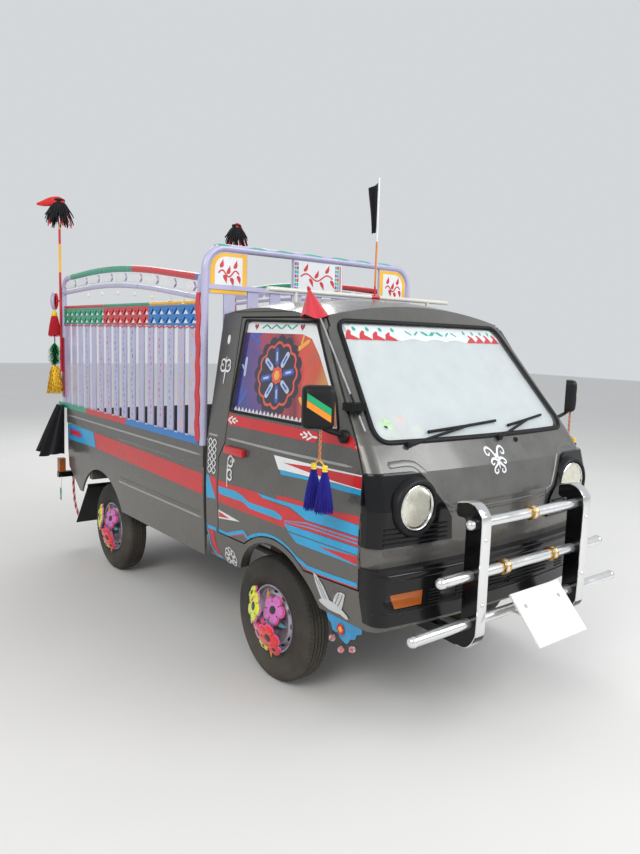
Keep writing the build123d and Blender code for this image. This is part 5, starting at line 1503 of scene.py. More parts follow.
# %% Lamp surrounds
bezel_skin = panel_tree("lamp_bezels", "cab_front")
COLLAR_FORM = [
    (0.0905, -0.030), (0.0905, 0.004), (0.0935, 0.010), (0.1010, 0.011), (0.1080, 0.006), (0.1130, -0.004),
    (0.1140, -0.040),
]
LOUVRE_LOW_Z, LOUVRE_RISE, LOUVRE_INNER, LOUVRE_OUTER = 0.787, 0.0185, 0.348, 0.655
LOOK_FROM_X = 2.2
for side_name, sign in SIDES:
    collar = Bundle()
    collar.add(*open_turned_rows(COLLAR_FORM, (LAMP_X, sign * LAMP_Y, LAMP_Z), FORWARD, 56))
    piece = collar.piece("lamp_collar_" + side_name, [moulded_black], smooth=50)
    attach(piece, "chassis")
    louvres = Bundle()
    for k in range(4):
        z = LOUVRE_LOW_Z + LOUVRE_RISE * k
        starts = [(LOOK_FROM_X, sign * y, z) for y in np.linspace(LOUVRE_INNER, LOUVRE_OUTER, 14)]
        path, guides = line_on_skin(bezel_skin, starts, BACKWARD)
        if sign == -1:
            path, guides = path[::-1], guides[::-1]
        louvres.add(*sweep_rows(path, flat_section(0.0065, 0.006, 0.15), guides=guides))
    piece = louvres.piece("lamp_louvres_" + side_name, [moulded_black], smooth=50)
    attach(piece, "chassis")
print("louvre points:", len(path))

# %% [markdown]
# ## Bumper lines and slots
# The bumper is a black steel pressing with a soft ridge along its top edge, a thin pressed line at
# half height, and short cooling slots towards the middle.

# %% Bumper trim
bumper_skin = panel_tree("front_bumper")
BUMPER_LINES = (("bumper_ridge", 0.690, 0.664, 0.030, 0.0075), ("bumper_line", 0.680, 0.522, 0.010, 0.004))
SLOT_GROUPS = (  # how many, lowest, step up, inner end, outer end, points, width, height
    (5, 0.540, 0.013, 0.385, 0.445, 5, 0.006, 0.004),
    (6, 0.545, 0.016, 0.02, 0.300, 9, 0.007, 0.005),
)


def bumper_rows(start, end, z, points):
    """A level line on the bumper's front and its guides."""
    return line_on_skin(bumper_skin, [(2.4, y, z) for y in np.linspace(start, end, points)], BACKWARD)


for name, half, z, width, height in BUMPER_LINES:
    path, guides = bumper_rows(-half, half, z, 48)
    piece = sweep(name, path, flat_section(width, height), black_enamel, guides=guides, smooth=60)
    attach(piece, "chassis")
slots = Bundle()
for sign in (1, -1):
    for rows, low_z, rise, inner, outer, points, width, height in SLOT_GROUPS:
        for k in range(rows):
            path, guides = bumper_rows(sign * inner, sign * outer, low_z + rise * k, points)
            slots.add(*sweep_rows(path, flat_section(width, height), guides=guides))
piece = slots.piece("bumper_slots", [moulded_black], smooth=50)
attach(piece, "chassis")
print("bumper slots are in place")

# %% [markdown]
# ## Bull bar
# The uprights are black steel with a polished strip round their front edge, and the cross tubes are
# polished with brass collars where the photograph shows them. The paint knows the uprights by their
# place, and the strip and the collars are pieces of their own.

# %% Bull bar trim
POST_LINE = [(0.772, 0.932), (0.800, 0.938), (0.826, 0.942), (0.858, 0.932), (0.884, 0.905), (0.893, 0.870),
             (0.893, 0.660), (0.893, 0.470), (0.886, 0.430), (0.868, 0.400), (0.842, 0.380), (0.800, 0.379)]
POST_Y = 0.335
POST_MIDDLE = (0.80, 0.66)
STRIP_SECTION = [
    (-0.0262, -0.0015), (0.0262, -0.0015), (0.0258, 0.0016), (0.020, 0.0026), (-0.020, 0.0026),
    (-0.0258, 0.0016),
]
COLLARS = ((0, 0.863), (-0.16, 0.667), (0.16, 0.667))  # across, up
BRASS_FORM = [
    (0.0215, -0.019), (0.0290, -0.017), (0.0300, -0.010), (0.0270, -0.006),
    (0.0270, 0.006), (0.0300, 0.010), (0.0290, 0.017), (0.0215, 0.019),
]
TUBES_X, TUBE_ENDS = 0.850 + AXLE, ((0.863, 0.382), (0.667, 0.530), (0.480, 0.663))  # up, half length
CAP_FORM = [(0.0212, -0.012), (0.0222, -0.010), (0.0222, -0.002), (0.0180, 0.0085), (0.0090, 0.0125)]
bar_enamel = finish("bar_enamel", bull_bar_colours, rough=0.2, metallic=0.85, coat=0.2, mottle=0.05)
wear("bull_bar", bar_enamel)
trim = Bundle()
for sign in (1, -1):
    path = smooth_line([(x + AXLE, sign * POST_Y, z) for x, z in POST_LINE], 5)
    centre = Vector((POST_MIDDLE[0] + AXLE, sign * POST_Y, POST_MIDDLE[1]))
    guides = []
    for k, point in enumerate(path):
        normal = heading(path, k).cross(LEFTWARD)
        guides.append(normal if normal.dot(point - centre) > 0 else -normal)
    trim.add(*sweep_rows(path, STRIP_SECTION, guides=guides))
    for z in (0.56, 0.81):
        bolt = [(0.008, 0), (0.008, 0.003), (0.005, 0.006)]
        trim.add(*turned_rows(bolt, (0.8955 + AXLE, sign * POST_Y, z), FORWARD, 6), mark=0)
for y, z in COLLARS:
    trim.add(*turned_rows(BRASS_FORM, (TUBES_X, y, z), LEFTWARD, 32), mark=1)
for z, half in TUBE_ENDS:
    for sign in (1, -1):
        trim.add(*turned_rows(CAP_FORM, (TUBES_X, sign * (half - 0.008), z), (0, sign, 0), 28), mark=0)
piece = trim.piece("bull_bar_trim", [chrome_plate, brass_plate], smooth=50)
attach(piece, "chassis")
print("bull bar strips and collars are on")

# %% [markdown]
# ## Front ornament, nozzle and number plate
# A white scroll ornament sits on the panel below the windscreen. It is a plain butterfly of four
# curled lines and a slim body. The number plate is plain white tin with a pressed border and two bolts.

# %% Small things on the front
def curl(turns, size, angle, hand, count=26):
    """A line that curls inward, in the plane of the panel."""
    rows = []
    a, b = 0.0, 0.0
    for k in range(count):
        t = k / (count - 1)
        bend = angle + hand * (0.6 + turns * 2 * math.pi * t**1.3)
        step = size * (1 - 0.72 * t) / count * 3.2
        a, b = a + step * math.cos(bend), b + step * math.sin(bend)
        rows.append((a, b))
    return rows


def ribbon_cells(line, wide_start, wide_end):
    widths = [wide_start + (wide_end - wide_start) * k / (len(line) - 1) for k in range(len(line))]
    return band_outline(line, widths)


def strip_faces(outline):
    """The cells of a band whose outline runs up one edge and back down the other."""
    count = len(outline) // 2
    return [(k, k + 1, 2 * count - 2 - k, 2 * count - 1 - k) for k in range(count - 1)]


WING_LINES = [  # one half: upper wing, its lower edge, lower wing
    [(0.004, 0.004), (0.011, 0.024), (0.026, 0.044), (0.045, 0.051), (0.059, 0.041), (0.057, 0.026),
     (0.044, 0.022), (0.036, 0.031)],
    [(0.005, 0.000), (0.020, 0.007), (0.036, 0.004), (0.047, -0.006), (0.040, -0.015), (0.029, -0.010)],
    [(0.004, -0.008), (0.016, -0.018), (0.031, -0.029), (0.035, -0.043), (0.024, -0.051), (0.012, -0.044),
     (0.017, -0.034)],
]
WING_MIDDLE = (-0.012, 1.052)
shapes = []
for hand in (1, -1):
    for bends in WING_LINES:
        line = [(hand * p.x + WING_MIDDLE[0], p.y + WING_MIDDLE[1])
                for p in smooth_line([(a, b, 0) for a, b in bends], 6)]
        shapes.append(ribbon_cells(line, 0.0105, 0.0055))
slim_body = [(WING_MIDDLE[0], WING_MIDDLE[1] + b) for b in (-0.034, -0.010, 0.012, 0.026)]
shapes.append(band_outline(slim_body, [0.004, 0.010, 0.010, 0.005]))
paint = Bundle()
for outline in shapes:
    paint.add(press([(1.55, a, b) for a, b in outline], front_skin, BACKWARD, 0.0008), strip_faces(outline))
piece = paint.piece("wing_scroll", [white_enamel], smooth=0)
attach(piece, "chassis")

small = Bundle()
hit, normal = look_at_skin(front_skin, (LOOK_FROM_X, 0.165, 1.12), BACKWARD)
small.add(*turned_rows([(0.012, -0.002), (0.011, 0.004), (0.006, 0.010), (0.003, 0.013)], hit, normal, 16))
piece = small.piece("washer_nozzle", [moulded_black])
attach(piece, "chassis")

PLATE_TOP, PLATE_LOW = Vector((0.884 + AXLE, 0, 0.560)), Vector((1.034 + AXLE, 0, 0.396))
plate_up = -(PLATE_LOW - PLATE_TOP).normalized()
face_out = LEFTWARD.cross(plate_up)
PLATE_EDGE_Y, PLATE_EDGE_IN = 0.154, 0.006
border = Bundle()
middle = (PLATE_TOP + PLATE_LOW) / 2 + face_out * 0.0078
half_tall = (PLATE_LOW - PLATE_TOP).length / 2 - PLATE_EDGE_IN
corners = frame_line(box_outline(-PLATE_EDGE_Y, -half_tall, PLATE_EDGE_Y, half_tall), 0.010, 5, 3)
path = [middle + LEFTWARD * a + plate_up * b for a, b in corners]
border.add(*sweep_rows(path, flat_section(0.004, 0.0016), guides=[face_out] * len(path), closed=True))
for y in (-0.11, 0.11):
    spot = middle + LEFTWARD * y + plate_up * 0.05
    border.add(*turned_rows([(0.007, 0), (0.007, 0.002), (0.004, 0.0042)], spot, face_out, 12), mark=1)
piece = border.piece("plate_border", [plate_enamel, bare_steel], smooth=50)
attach(piece, "chassis")
print("plate faces", [round(v, 2) for v in face_out])

# %% [markdown]
# ## Tassels
# A tassel is a skirt of cut threads tied under a wound head. Threads are cheap to make as thin
# tapered tubes that fan out from the head, each a little different. The random numbers come from a
# seeded source, so every run gives the same tassel.

# %% Tassel threads
THREAD_COLOURS = {
    "navy": (0.010, 0.008, 0.20), "crimson": (0.55, 0.015, 0.03), "black": (0.010, 0.010, 0.012),
    "bright_red": (0.70, 0.03, 0.03), "gold": (0.80, 0.42, 0.03), "emerald": (0.005, 0.28, 0.06),
    "pale": (0.72, 0.72, 0.68),
    "sun": (0.82, 0.60, 0.03), "copper": (0.62, 0.22, 0.09), "rose": (0.75, 0.30, 0.32),
}
thread = {
    name: finish("thread_" + name, colour, rough=0.75, sheen=0.12, gloss=0.2, mottle=0.2, mottle_scale=80,
                 grain=0.05, grain_scale=800)
    for name, colour in THREAD_COLOURS.items()
}
foil = {
    name: finish("foil_" + name, colour, rough=0.28, metallic=0.75, mottle=0.25, mottle_scale=120)
    for name, colour in (
        ("gold", (0.80, 0.50, 0.04)), ("green", (0.005, 0.30, 0.08)), ("red", (0.62, 0.02, 0.03)),
    )
}


def threads(bundle, top, length, narrow, wide, count, mark, seed, thick, ragged=0.0):
    """A skirt of threads that hang from a ring and fan out."""
    chance = random.Random(seed)
    drop = -UP
    first = drop.orthogonal().normalized()
    second = drop.cross(first)
    for k in range(count):
        angle = 2 * math.pi * (k + chance.random() * 0.6) / count
        share = math.sqrt(chance.random()) if k % 3 else 1.0
        out = math.cos(angle) * first + math.sin(angle) * second
        long = length * (0.90 + 0.13 * chance.random()) * (1 - ragged * chance.random())
        path = []
        for j in range(5):
            t = j / 4
            flare = narrow * share + (wide - narrow) * share * t**0.8
            sway = 0.10 * wide * math.sin(t * 4 + 6 * chance.random())
            path.append(Vector(top) + drop * long * t + out * flare + sway * t * second)
        bundle.add(*sweep_rows(path, ring(thick, 4), scale=[1, 1, 1, 0.9, 0.5]), mark=mark)


def knot(bundle, top, radius, tall, mark):
    """A wound head: a few turned rolls of thread under each other."""
    waist = 0.8
    rolls = (
        (0.35, 0.0), (0.9, -0.06), (1, -0.2), (waist, -0.36), (1.02, -0.48), (waist, -0.66), (1.05, -0.8),
        (0.95, -1.0),
    )
    rows = [(radius * wide, low * tall) for wide, low in rolls]
    bundle.add(*turned_rows(rows, top, UP, 20), mark=mark)


THREAD_ORDER = list(thread)


def thread_mark(name):
    return THREAD_ORDER.index(name)


MIRROR_X, MIRROR_Y = 0.486 + AXLE, 0.808
CHAIN_LINKS, CHAIN_TOP_Z, LINK_DROP = 12, 1.205, 0.0105
CORE_FORM = [(0.010, 0.0), (0.018, -0.03), (0.025, -0.08), (0.0300, -0.120), (0.028, -0.128)]

for side_name, sign in SIDES:
    tassels = Bundle()
    y = sign * MIRROR_Y
    for k in range(CHAIN_LINKS):
        flat = k % 2
        link_path = []
        for wide, tall in oval(0.0050, 0.0078, 10):
            z = CHAIN_TOP_Z - LINK_DROP * k + tall
            link_path.append(Vector((MIRROR_X + (wide if flat else 0), y + (0 if flat else wide), z)))
        tassels.add(*sweep_rows(link_path, ring(0.0019, 6), closed=True), mark=thread_mark("copper"))
    for hand in (1, -1):
        x = MIRROR_X + hand * 0.033
        string = smooth_line([(MIRROR_X, y, 1.085), (MIRROR_X + hand * 0.016, y, 1.078), (x, y, 1.064)], 4)
        tassels.add(*sweep_rows(string, ring(0.0028, 8)), mark=thread_mark("gold"))
        knot(tassels, (x, y, 1.072), 0.0105, 0.026, thread_mark("sun"))
        knot(tassels, (x, y, 1.050), 0.0140, 0.022, thread_mark("navy"))
        threads(tassels, (x, y, 1.034), 0.138, 0.012, 0.0350, 230, thread_mark("navy"), 11 + hand, thick=0.0017)
        tassels.add(*turned_rows(CORE_FORM, (x, y, 1.034), UP, 24), mark=thread_mark("navy"))
    piece = tassels.piece("mirror_tassels_" + side_name, [thread[n] for n in THREAD_ORDER], smooth=60)
    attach(piece, "door_" + side_name)
print("threads on a mirror:", len(piece.data.polygons))

# %% [markdown]
# ## Door mirrors
# The mirror head is a rounded black box with a glass on its rear face. On its front face it has a green
# and an orange slanting stripe. The CAD head holds the place of the chain and tassels too, so a new
# head, arm and foot replace the whole node.

# %% Mirrors
HEAD_HALF_WIDE, HEAD_HALF_TALL, HEAD_TURN = 0.060, 0.080, 58
HEAD_OUTLINE = frame_line(box_outline(-HEAD_HALF_WIDE, -HEAD_HALF_TALL, HEAD_HALF_WIDE, HEAD_HALF_TALL), 0.024,
                          8, 2)
HEAD_LAYERS = [  # towards the front, scale of the outline
    (-0.022, 0.92), (-0.026, 0.96), (-0.024, 1.0), (0.002, 1.0), (0.018, 0.94), (0.026, 0.80), (0.028, 0.55),
]
GLASS_SHARE, GLASS_BACK = 0.88, 0.0225
SLANT_HALF, SLANT_STEEP, SLANT_CELLS = 0.0125, 0.62, 8
ARM_LINE = [(0.470, 0.676, 1.165), (0.474, 0.720, 1.178), (0.479, 0.775, 1.196), (0.480, 0.808, 1.216)]
ARM_R = 0.0085
FOOT_FORM = [(0.026, -0.010), (0.026, 0.003), (0.020, 0.009), (0.010, 0.014)]
JOINT_FORM = [(0.013, -0.010), (0.016, 0.0), (0.013, 0.010)]
mirror_glass = finish("mirror_glass", (0.55, 0.58, 0.60), rough=0.06, metallic=1.0, mottle=0.04, wander=0.03)
stripe_green = finish("stripe_green", (0.01, 0.35, 0.14), rough=0.35)
stripe_orange = finish("stripe_orange", (0.80, 0.26, 0.02), rough=0.35)
for side_name, sign in SIDES:
    head = Bundle()
    turn_out = math.radians(sign * -HEAD_TURN)
    across = Vector((math.cos(turn_out), math.sin(turn_out), 0))
    depth = UP.cross(across)
    face_front = depth if depth.x > 0 else -depth
    centre = Vector((0.478 + AXLE, sign * 0.815, 1.282))
    points = []
    for shift, scale in HEAD_LAYERS:
        points += [centre + across * a * scale + UP * b * scale + face_front * shift for a, b in HEAD_OUTLINE]
    count, layers = len(HEAD_OUTLINE), len(HEAD_LAYERS)
    ends = [tuple(range(count)), tuple((layers - 1) * count + k for k in range(count))]
    head.add(points, grid_faces(layers, count) + ends)
    glass_line = [(a * GLASS_SHARE, b * GLASS_SHARE) for a, b in HEAD_OUTLINE]
    base = centre - face_front * GLASS_BACK
    head.add([base + across * a + UP * b for a, b in glass_line], flat_faces(glass_line), mark=1)
    face_across = UP.cross(face_front)
    for offset, mark in ((0.013, 2), (-0.013, 3)):
        stripe = [(a, offset - a * SLANT_STEEP)
                  for a in (t * 0.045 for t in np.linspace(-1, 1, SLANT_CELLS + 1))]
        for (a0, b0), (a1, b1) in zip(stripe, stripe[1:]):
            cells = []
            for a, b in (
                (a0, b0 - SLANT_HALF), (a1, b1 - SLANT_HALF), (a1, b1 + SLANT_HALF), (a0, b0 + SLANT_HALF),
            ):
                reach = max(abs(a) / HEAD_HALF_WIDE, abs(b) / HEAD_HALF_TALL)
                swell = 0.0287 if reach < 0.55 else 0.0287 - 0.002 * (reach - 0.55) / 0.25
                cells.append(centre + face_across * a + UP * b + face_front * swell)
            head.add(cells, [(0, 1, 2, 3)], mark=mark)
    arm = smooth_line([(x + AXLE, sign * y, z) for x, y, z in ARM_LINE], 6)
    head.add(*sweep_rows(arm, ring(ARM_R, 14)))
    head.add(*turned_rows(FOOT_FORM, (0.470 + AXLE, sign * 0.688, 1.165), (0, sign, 0), 24))
    head.add(*turned_rows(JOINT_FORM, (0.480 + AXLE, sign * 0.806, 1.212), UP, 18))
    piece = head.piece("mirror_head_" + side_name, [moulded_black, mirror_glass, stripe_green, stripe_orange],
                       smooth=45)
    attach(piece, "door_" + side_name)
    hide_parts("mirror_" + side_name)
print("mirror faces forward along", [round(v, 2) for v in face_front])

# %% [markdown]
# ## Pole tops and garlands
# Each rear pole carries a mop of black and red cloth strips. Below the round mirror hangs a garland:
# a red bell of threads under a yellow cap, a ball of green foil and a long gold tassel. Foil strips
# are flatter and shinier than thread, so they have a metallic finish.

# %% Garlands
POLE_X, POLE_Y = -2.600 + AXLE, 0.7153
ALL_SOFT = list(thread.values()) + list(foil.values())
MOP_SKIRTS = (  # colour, top, length, narrow, wide, how many, seed, thickness, ragged
    ("black", 2.410, 0.165, 0.026, 0.092, 90, 31, 0.0052, 0.45),
    ("bright_red", 2.405, 0.190, 0.020, 0.080, 7, 33, 0.0085, 0.3),
    ("black", 2.395, 0.170, 0.012, 0.070, 26, 35, 0.0080, 0.5),
    ("pale", 2.400, 0.160, 0.020, 0.086, 5, 37, 0.0040, 0.2),
)
ROLL_LINE = ((-0.100, 0.118, 2.392), (-0.068, 0.082, 2.398), (-0.030, 0.042, 2.410), (0.010, 0.004, 2.416),
             (0.038, -0.026, 2.402))
CAP_ROWS = [(0.008, 1.668), (0.016, 1.655), (0.020, 1.640), (0.020, 1.622)]  # radius, height
BELL_ROWS = [(0.019, 1.626), (0.027, 1.59), (0.036, 1.54), (0.041, 1.500)]
TAIL_ROWS = [(0.022, 1.272), (0.034, 1.23), (0.044, 1.16), (0.048, 1.10)]
FOIL_STRIPS, FOIL_TOP_Z, FOIL_TALL, BALL_Z, BALL_R = 420, 1.440, 0.135, 1.375, 0.074
FISH_TAIL = [(-0.015, -0.056), (0.0, -0.046), (0.015, -0.056), (0.005, -0.030), (-0.005, -0.030)]
MIRROR_GLASS_FORM = [(0.053, 0.0078), (0.053, 0.0088), (0.040, 0.0100), (0.010, 0.0108)]
MIRROR_RIM_FORM = [(0.052, 0.006), (0.054, 0.0105), (0.060, 0.0110), (0.0635, 0.006), (0.0635, 0.0)]


def foil_mark(name):
    return len(thread) + list(foil).index(name)


def fish_outline(count=28):
    rows = []
    for t in circle_angles(count):
        waist = 0.010 * abs(math.sin(t)) if math.cos(t) < -0.75 else 0
        rows.append((0.016 * math.sin(t) * (0.7 + 0.3 * math.cos(t)), 0.036 * math.cos(t) - waist))
    return rows


def upright(place, low, high, radius, around):
    """A plain cord from one height to another."""
    return sweep_rows([place + Vector((0, 0, low)), place + Vector((0, 0, high))], ring(radius, around))


for side_name, sign in SIDES:
    y = sign * POLE_Y
    mop = Bundle()
    knot(mop, (POLE_X, y, 2.432), 0.040, 0.075, thread_mark("black"))
    for colour, top_z, long, narrow, wide, count, seed, thick, ragged in MOP_SKIRTS:
        threads(mop, (POLE_X, y, top_z), long, narrow, wide, count, thread_mark(colour), seed, thick, ragged)
    roll = smooth_line([(POLE_X + forward, y + sign * aside, z) for forward, aside, z in ROLL_LINE], 6)
    shares = [min(1.0, 0.04 + (k / (len(roll) - 1)) ** 1.3) for k in range(len(roll))]
    swell = [0.12 + 0.95 * max(0.0, math.sin(math.pi * share)) ** 0.8 for share in shares]
    section = [(1.15 * a, 0.85 * b) for a, b in ring(0.028, 14)]
    mop.add(*sweep_rows(roll, section, scale=swell), mark=thread_mark("bright_red"))
    piece = mop.piece("pole_mop_" + side_name, ALL_SOFT, smooth=60)
    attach(piece, "chassis")
    if sign == 1:
        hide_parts("tassels")

    hang = Vector((POLE_X - 0.030, sign * (POLE_Y + 0.034), 0))
    garland = Bundle()
    garland.add(*upright(hang, 1.665, 1.14, 0.0035, 8), mark=thread_mark("black"))
    garland.add(*turned_rows(CAP_ROWS, hang, UP, 18), mark=thread_mark("sun"))
    garland.add(*turned_rows(BELL_ROWS, hang, UP, 24), mark=thread_mark("crimson"))
    threads(garland, hang + Vector((0, 0, 1.628)), 0.142, 0.019, 0.043, 170, thread_mark("crimson"), 41, 0.0019)
    chance = random.Random(43)
    for k in range(FOIL_STRIPS):
        z = FOIL_TOP_Z - FOIL_TALL * chance.random()
        swell = math.sqrt(max(0.02, 1 - ((z - BALL_Z) / BALL_R) ** 2))
        angle = 2 * math.pi * chance.random()
        out = Vector((math.cos(angle), math.sin(angle), 0))
        base = hang + Vector((0, 0, z)) + out * 0.006
        tip = base + out * 0.046 * swell + Vector((0, 0, -0.018 - 0.012 * chance.random()))
        half = out.cross(UP) * 0.0030
        corners = [base - half, base + half, tip + half * 0.6, tip - half * 0.6]
        garland.add(corners, [(0, 1, 2, 3)], mark=foil_mark("green"))
    garland.add(*turned_rows(TAIL_ROWS, hang, UP, 24), mark=foil_mark("gold"))
    for row in range(5):
        top = hang + Vector((0, 0, 1.278 - 0.034 * row))
        narrow, wide = 0.020 + 0.0065 * row, 0.040 + 0.0050 * row
        threads(garland, top, 0.062, narrow, wide, 90, foil_mark("gold"), 51 + row, 0.0019)
    low_hang = Vector((POLE_X + 0.045, sign * 0.742, 0.0))
    garland.add(*upright(low_hang, 0.492, 0.412, 0.0016, 6), mark=thread_mark("pale"))
    for shape in (fish_outline(), FISH_TAIL):
        place = low_hang + Vector((0, -0.0025, 0.376))
        garland.add(*plate_rows(shape, 0.005, place, FORWARD, UP), mark=foil_mark("green"))
    piece = garland.piece("garland_" + side_name, ALL_SOFT, smooth=60)
    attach(piece, "chassis")

    glass = Bundle()
    centre = Vector((POLE_X - 0.092, sign * (POLE_Y + 0.012), 1.735))
    axis = Vector((-0.5, sign * 0.8660254, 0))  # 60 degrees out from straight back
    for end in (1, -1):
        glass.add(*turned_rows(MIRROR_GLASS_FORM, centre, axis * end, 40), mark=1)
        glass.add(*open_turned_rows(MIRROR_RIM_FORM, centre, axis * end, 40), mark=0)
    piece = glass.piece("round_mirror_" + side_name, [lilac_enamel, mirror_glass], smooth=45)
    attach(piece, "chassis")
print("garlands hang at y", round(POLE_Y + 0.034, 3))

# %% [markdown]
# ## Black corner cloths
# A square of black cloth is gathered at its top edge and tied to the rail's end, so it hangs in soft
# pleats that open towards the hem. The pleats are drawn as waves that start tight and small under the
# tie and grow downward, with a few different rhythms so that no two folds match.

# %% Corner cloths
CLOTH_TOP, CLOTH_HEM, CLOTH_FOLDS = 1.004, 0.650, 3.6
CLOTH_TOP_LINE = [
    (-2.545, 0.716, CLOTH_TOP), (-2.57, 0.727, 1.002), (-2.61, 0.731, 1.0), (-2.66, 0.727, 1.002),
    (-2.688, 0.716, 0.998),
]
CLOTH_HEM_LINE = [
    (-2.510, 0.730, 0.665), (-2.530, 0.835, CLOTH_HEM), (-2.630, 0.848, 0.652), (-2.725, 0.842, 0.655),
    (-2.745, 0.735, 0.668),
]


def hang_cloth(name, outline_top, outline_low, folds, material, rows=34, count=110, seed=5):
    """Cloth between a top line and a hem line, with pleats that grow downward."""
    chance = random.Random(seed)
    phases = [chance.random() * 6 for _ in range(4)]
    top = smooth_line(outline_top, max(2, count // (len(outline_top) - 1)))
    low_line = smooth_line(outline_low, max(2, count // (len(outline_low) - 1)))
    wide = min(len(top), len(low_line))
    points = []
    for j in range(rows + 1):
        t = j / rows
        for k in range(wide):
            u = k / (wide - 1)
            a, b = top[k], low_line[k]
            belly = 4 * t * (1 - t)
            here = a.lerp(b, t)
            along = heading(low_line[:wide], k)
            normal = Vector((-along.y, along.x, 0)).normalized()
            wave = math.sin(folds * 2 * math.pi * u + phases[0] + 0.6 * t)
            wave += 0.30 * math.sin(folds * 3.3 * math.pi * u + phases[1] - t)
            wave += 0.07 * math.sin(folds * 7.1 * math.pi * u + phases[2] + 2 * t)
            edge = min(1.0, 6 * u, 6 * (1 - u))
            size = (0.005 + 0.022 * t**0.8) * (0.4 + 0.6 * edge)
            drop = 0.010 * math.sin(4 * math.pi * u + phases[3]) * t
            here = here + normal * wave * size + Vector((0, 0, drop - 0.006 * belly * abs(wave) * 0.3))
            points.append(here)
    return add_mesh(name, points, grid_faces(rows + 1, wide, close_columns=False, back=True), material,
                    smooth=180)


def mesh_area(piece):
    return sum(p.area for p in piece.data.polygons)


for side_name, sign in SIDES:
    top, low_line = ([(x + AXLE, sign * y, z) for x, y, z in line] for line in (CLOTH_TOP_LINE, CLOTH_HEM_LINE))
    cloth = hang_cloth("corner_cloth_" + side_name, top, low_line, CLOTH_FOLDS, black_cloth)
    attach(cloth, "chassis")
    if sign == 1:
        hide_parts("corner_cloths")
    area = mesh_area(cloth)
    width = round(math.sqrt(area) * 1.08, 2)
    print("corner cloth", side_name, "area", round(area, 3), "flat", width, round(area / width, 3))

# %% [markdown]
# ## Flags and small flaps
# A narrow black flag is tied along the top of the thin pole on the roof, a red pennant is wrapped as
# a cone on the aerial, and a blue cloth flap with a red flower and three pompoms hangs under each
# front sill. The flag and the flaps are cloth; the pennant's area and a flap's area are printed.

# %% Flags
FLAG_X, FLAG_Y, FLAG_TOP_Z, FLAG_TALL, FLAG_WIDE = -0.190 + AXLE, 0.055, 2.308, 0.244, 0.060
FLAG_COLUMNS, FLAG_ROWS = 12, 40
points = []
for j in range(FLAG_ROWS + 1):
    t = j / FLAG_ROWS
    for k in range(FLAG_COLUMNS + 1):
        u = k / FLAG_COLUMNS
        x = FLAG_X - 0.0062 - FLAG_WIDE * u * (1 - 0.25 * t)
        y = FLAG_Y + 0.012 * math.sin(5 * u + 3 * t) * u + 0.004 * math.sin(14 * u + 4 * t) * t
        z = FLAG_TOP_Z - FLAG_TALL * t - 0.020 * u * (1 - t)
        points.append((x, y, z))
faces = grid_faces(FLAG_ROWS + 1, FLAG_COLUMNS + 1, close_columns=False, back=True)
flag = add_mesh("roof_flag", points, faces, black_cloth, smooth=180)
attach(flag, "chassis")
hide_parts("flags")
area = mesh_area(flag)

felt_red = finish("felt_red", (0.60, 0.012, 0.03), rough=0.85, sheen=0.4, weave=0.002, mottle=0.12)
felt_blue = finish("felt_blue", (0.010, 0.27, 0.55), rough=0.85, sheen=0.3, weave=0.002, mottle=0.12)
pennant = Bundle()
axis = Vector((-0.427, 0.050, 0.526)).normalized()
tip = Vector((0.1182 + AXLE, -0.590, 1.716)) + axis * 0.018
foot_low = Vector((0.150 + AXLE, -0.586, 1.620))
CONE_ROWS, CONE_AROUND = 14, 48
points = []
for j in range(CONE_ROWS + 1):
    t = j / CONE_ROWS
    middle = tip.lerp(foot_low, t)
    for angle in circle_angles(CONE_AROUND):
        radius = 0.006 + 0.054 * t + 0.004 * t * math.sin(5 * angle + 1.0)
        wave = 0.008 * t * math.sin(3 * angle)
        points.append(middle + Vector((radius * math.cos(angle), radius * math.sin(angle), wave)))
pennant.add(points, grid_faces(CONE_ROWS + 1, CONE_AROUND, back=True))
pennant.add(*turned_rows([(0.003, -0.004), (0.009, 0.004), (0.006, 0.016), (0.001, 0.024)], tip, axis, 16))
piece = pennant.piece("aerial_pennant", [felt_red], smooth=70)
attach(piece, "chassis")
area = mesh_area(piece)
print("flag and pennant made; pennant area", round(area, 4))

# %% Sill flaps with flower and pompoms
FLAP_OUTLINE = [
    (0.372, 0.434), (0.590, 0.434), (0.586, 0.412), (0.560, 0.402), (0.552, 0.380), (0.527, 0.372),
    (0.512, 0.349), (0.488, 0.342), (0.462, 0.352), (0.448, 0.372), (0.420, 0.374), (0.404, 0.398),
    (0.384, 0.408),
]
FLAP_Y, FLAP_FLOWER_R = 0.6575, 0.024
POMPOMS, POMPOM_R, POMPOM_YARNS = ((0.418, 0.340), (0.474, 0.312), (0.540, 0.336)), 0.0135, 150

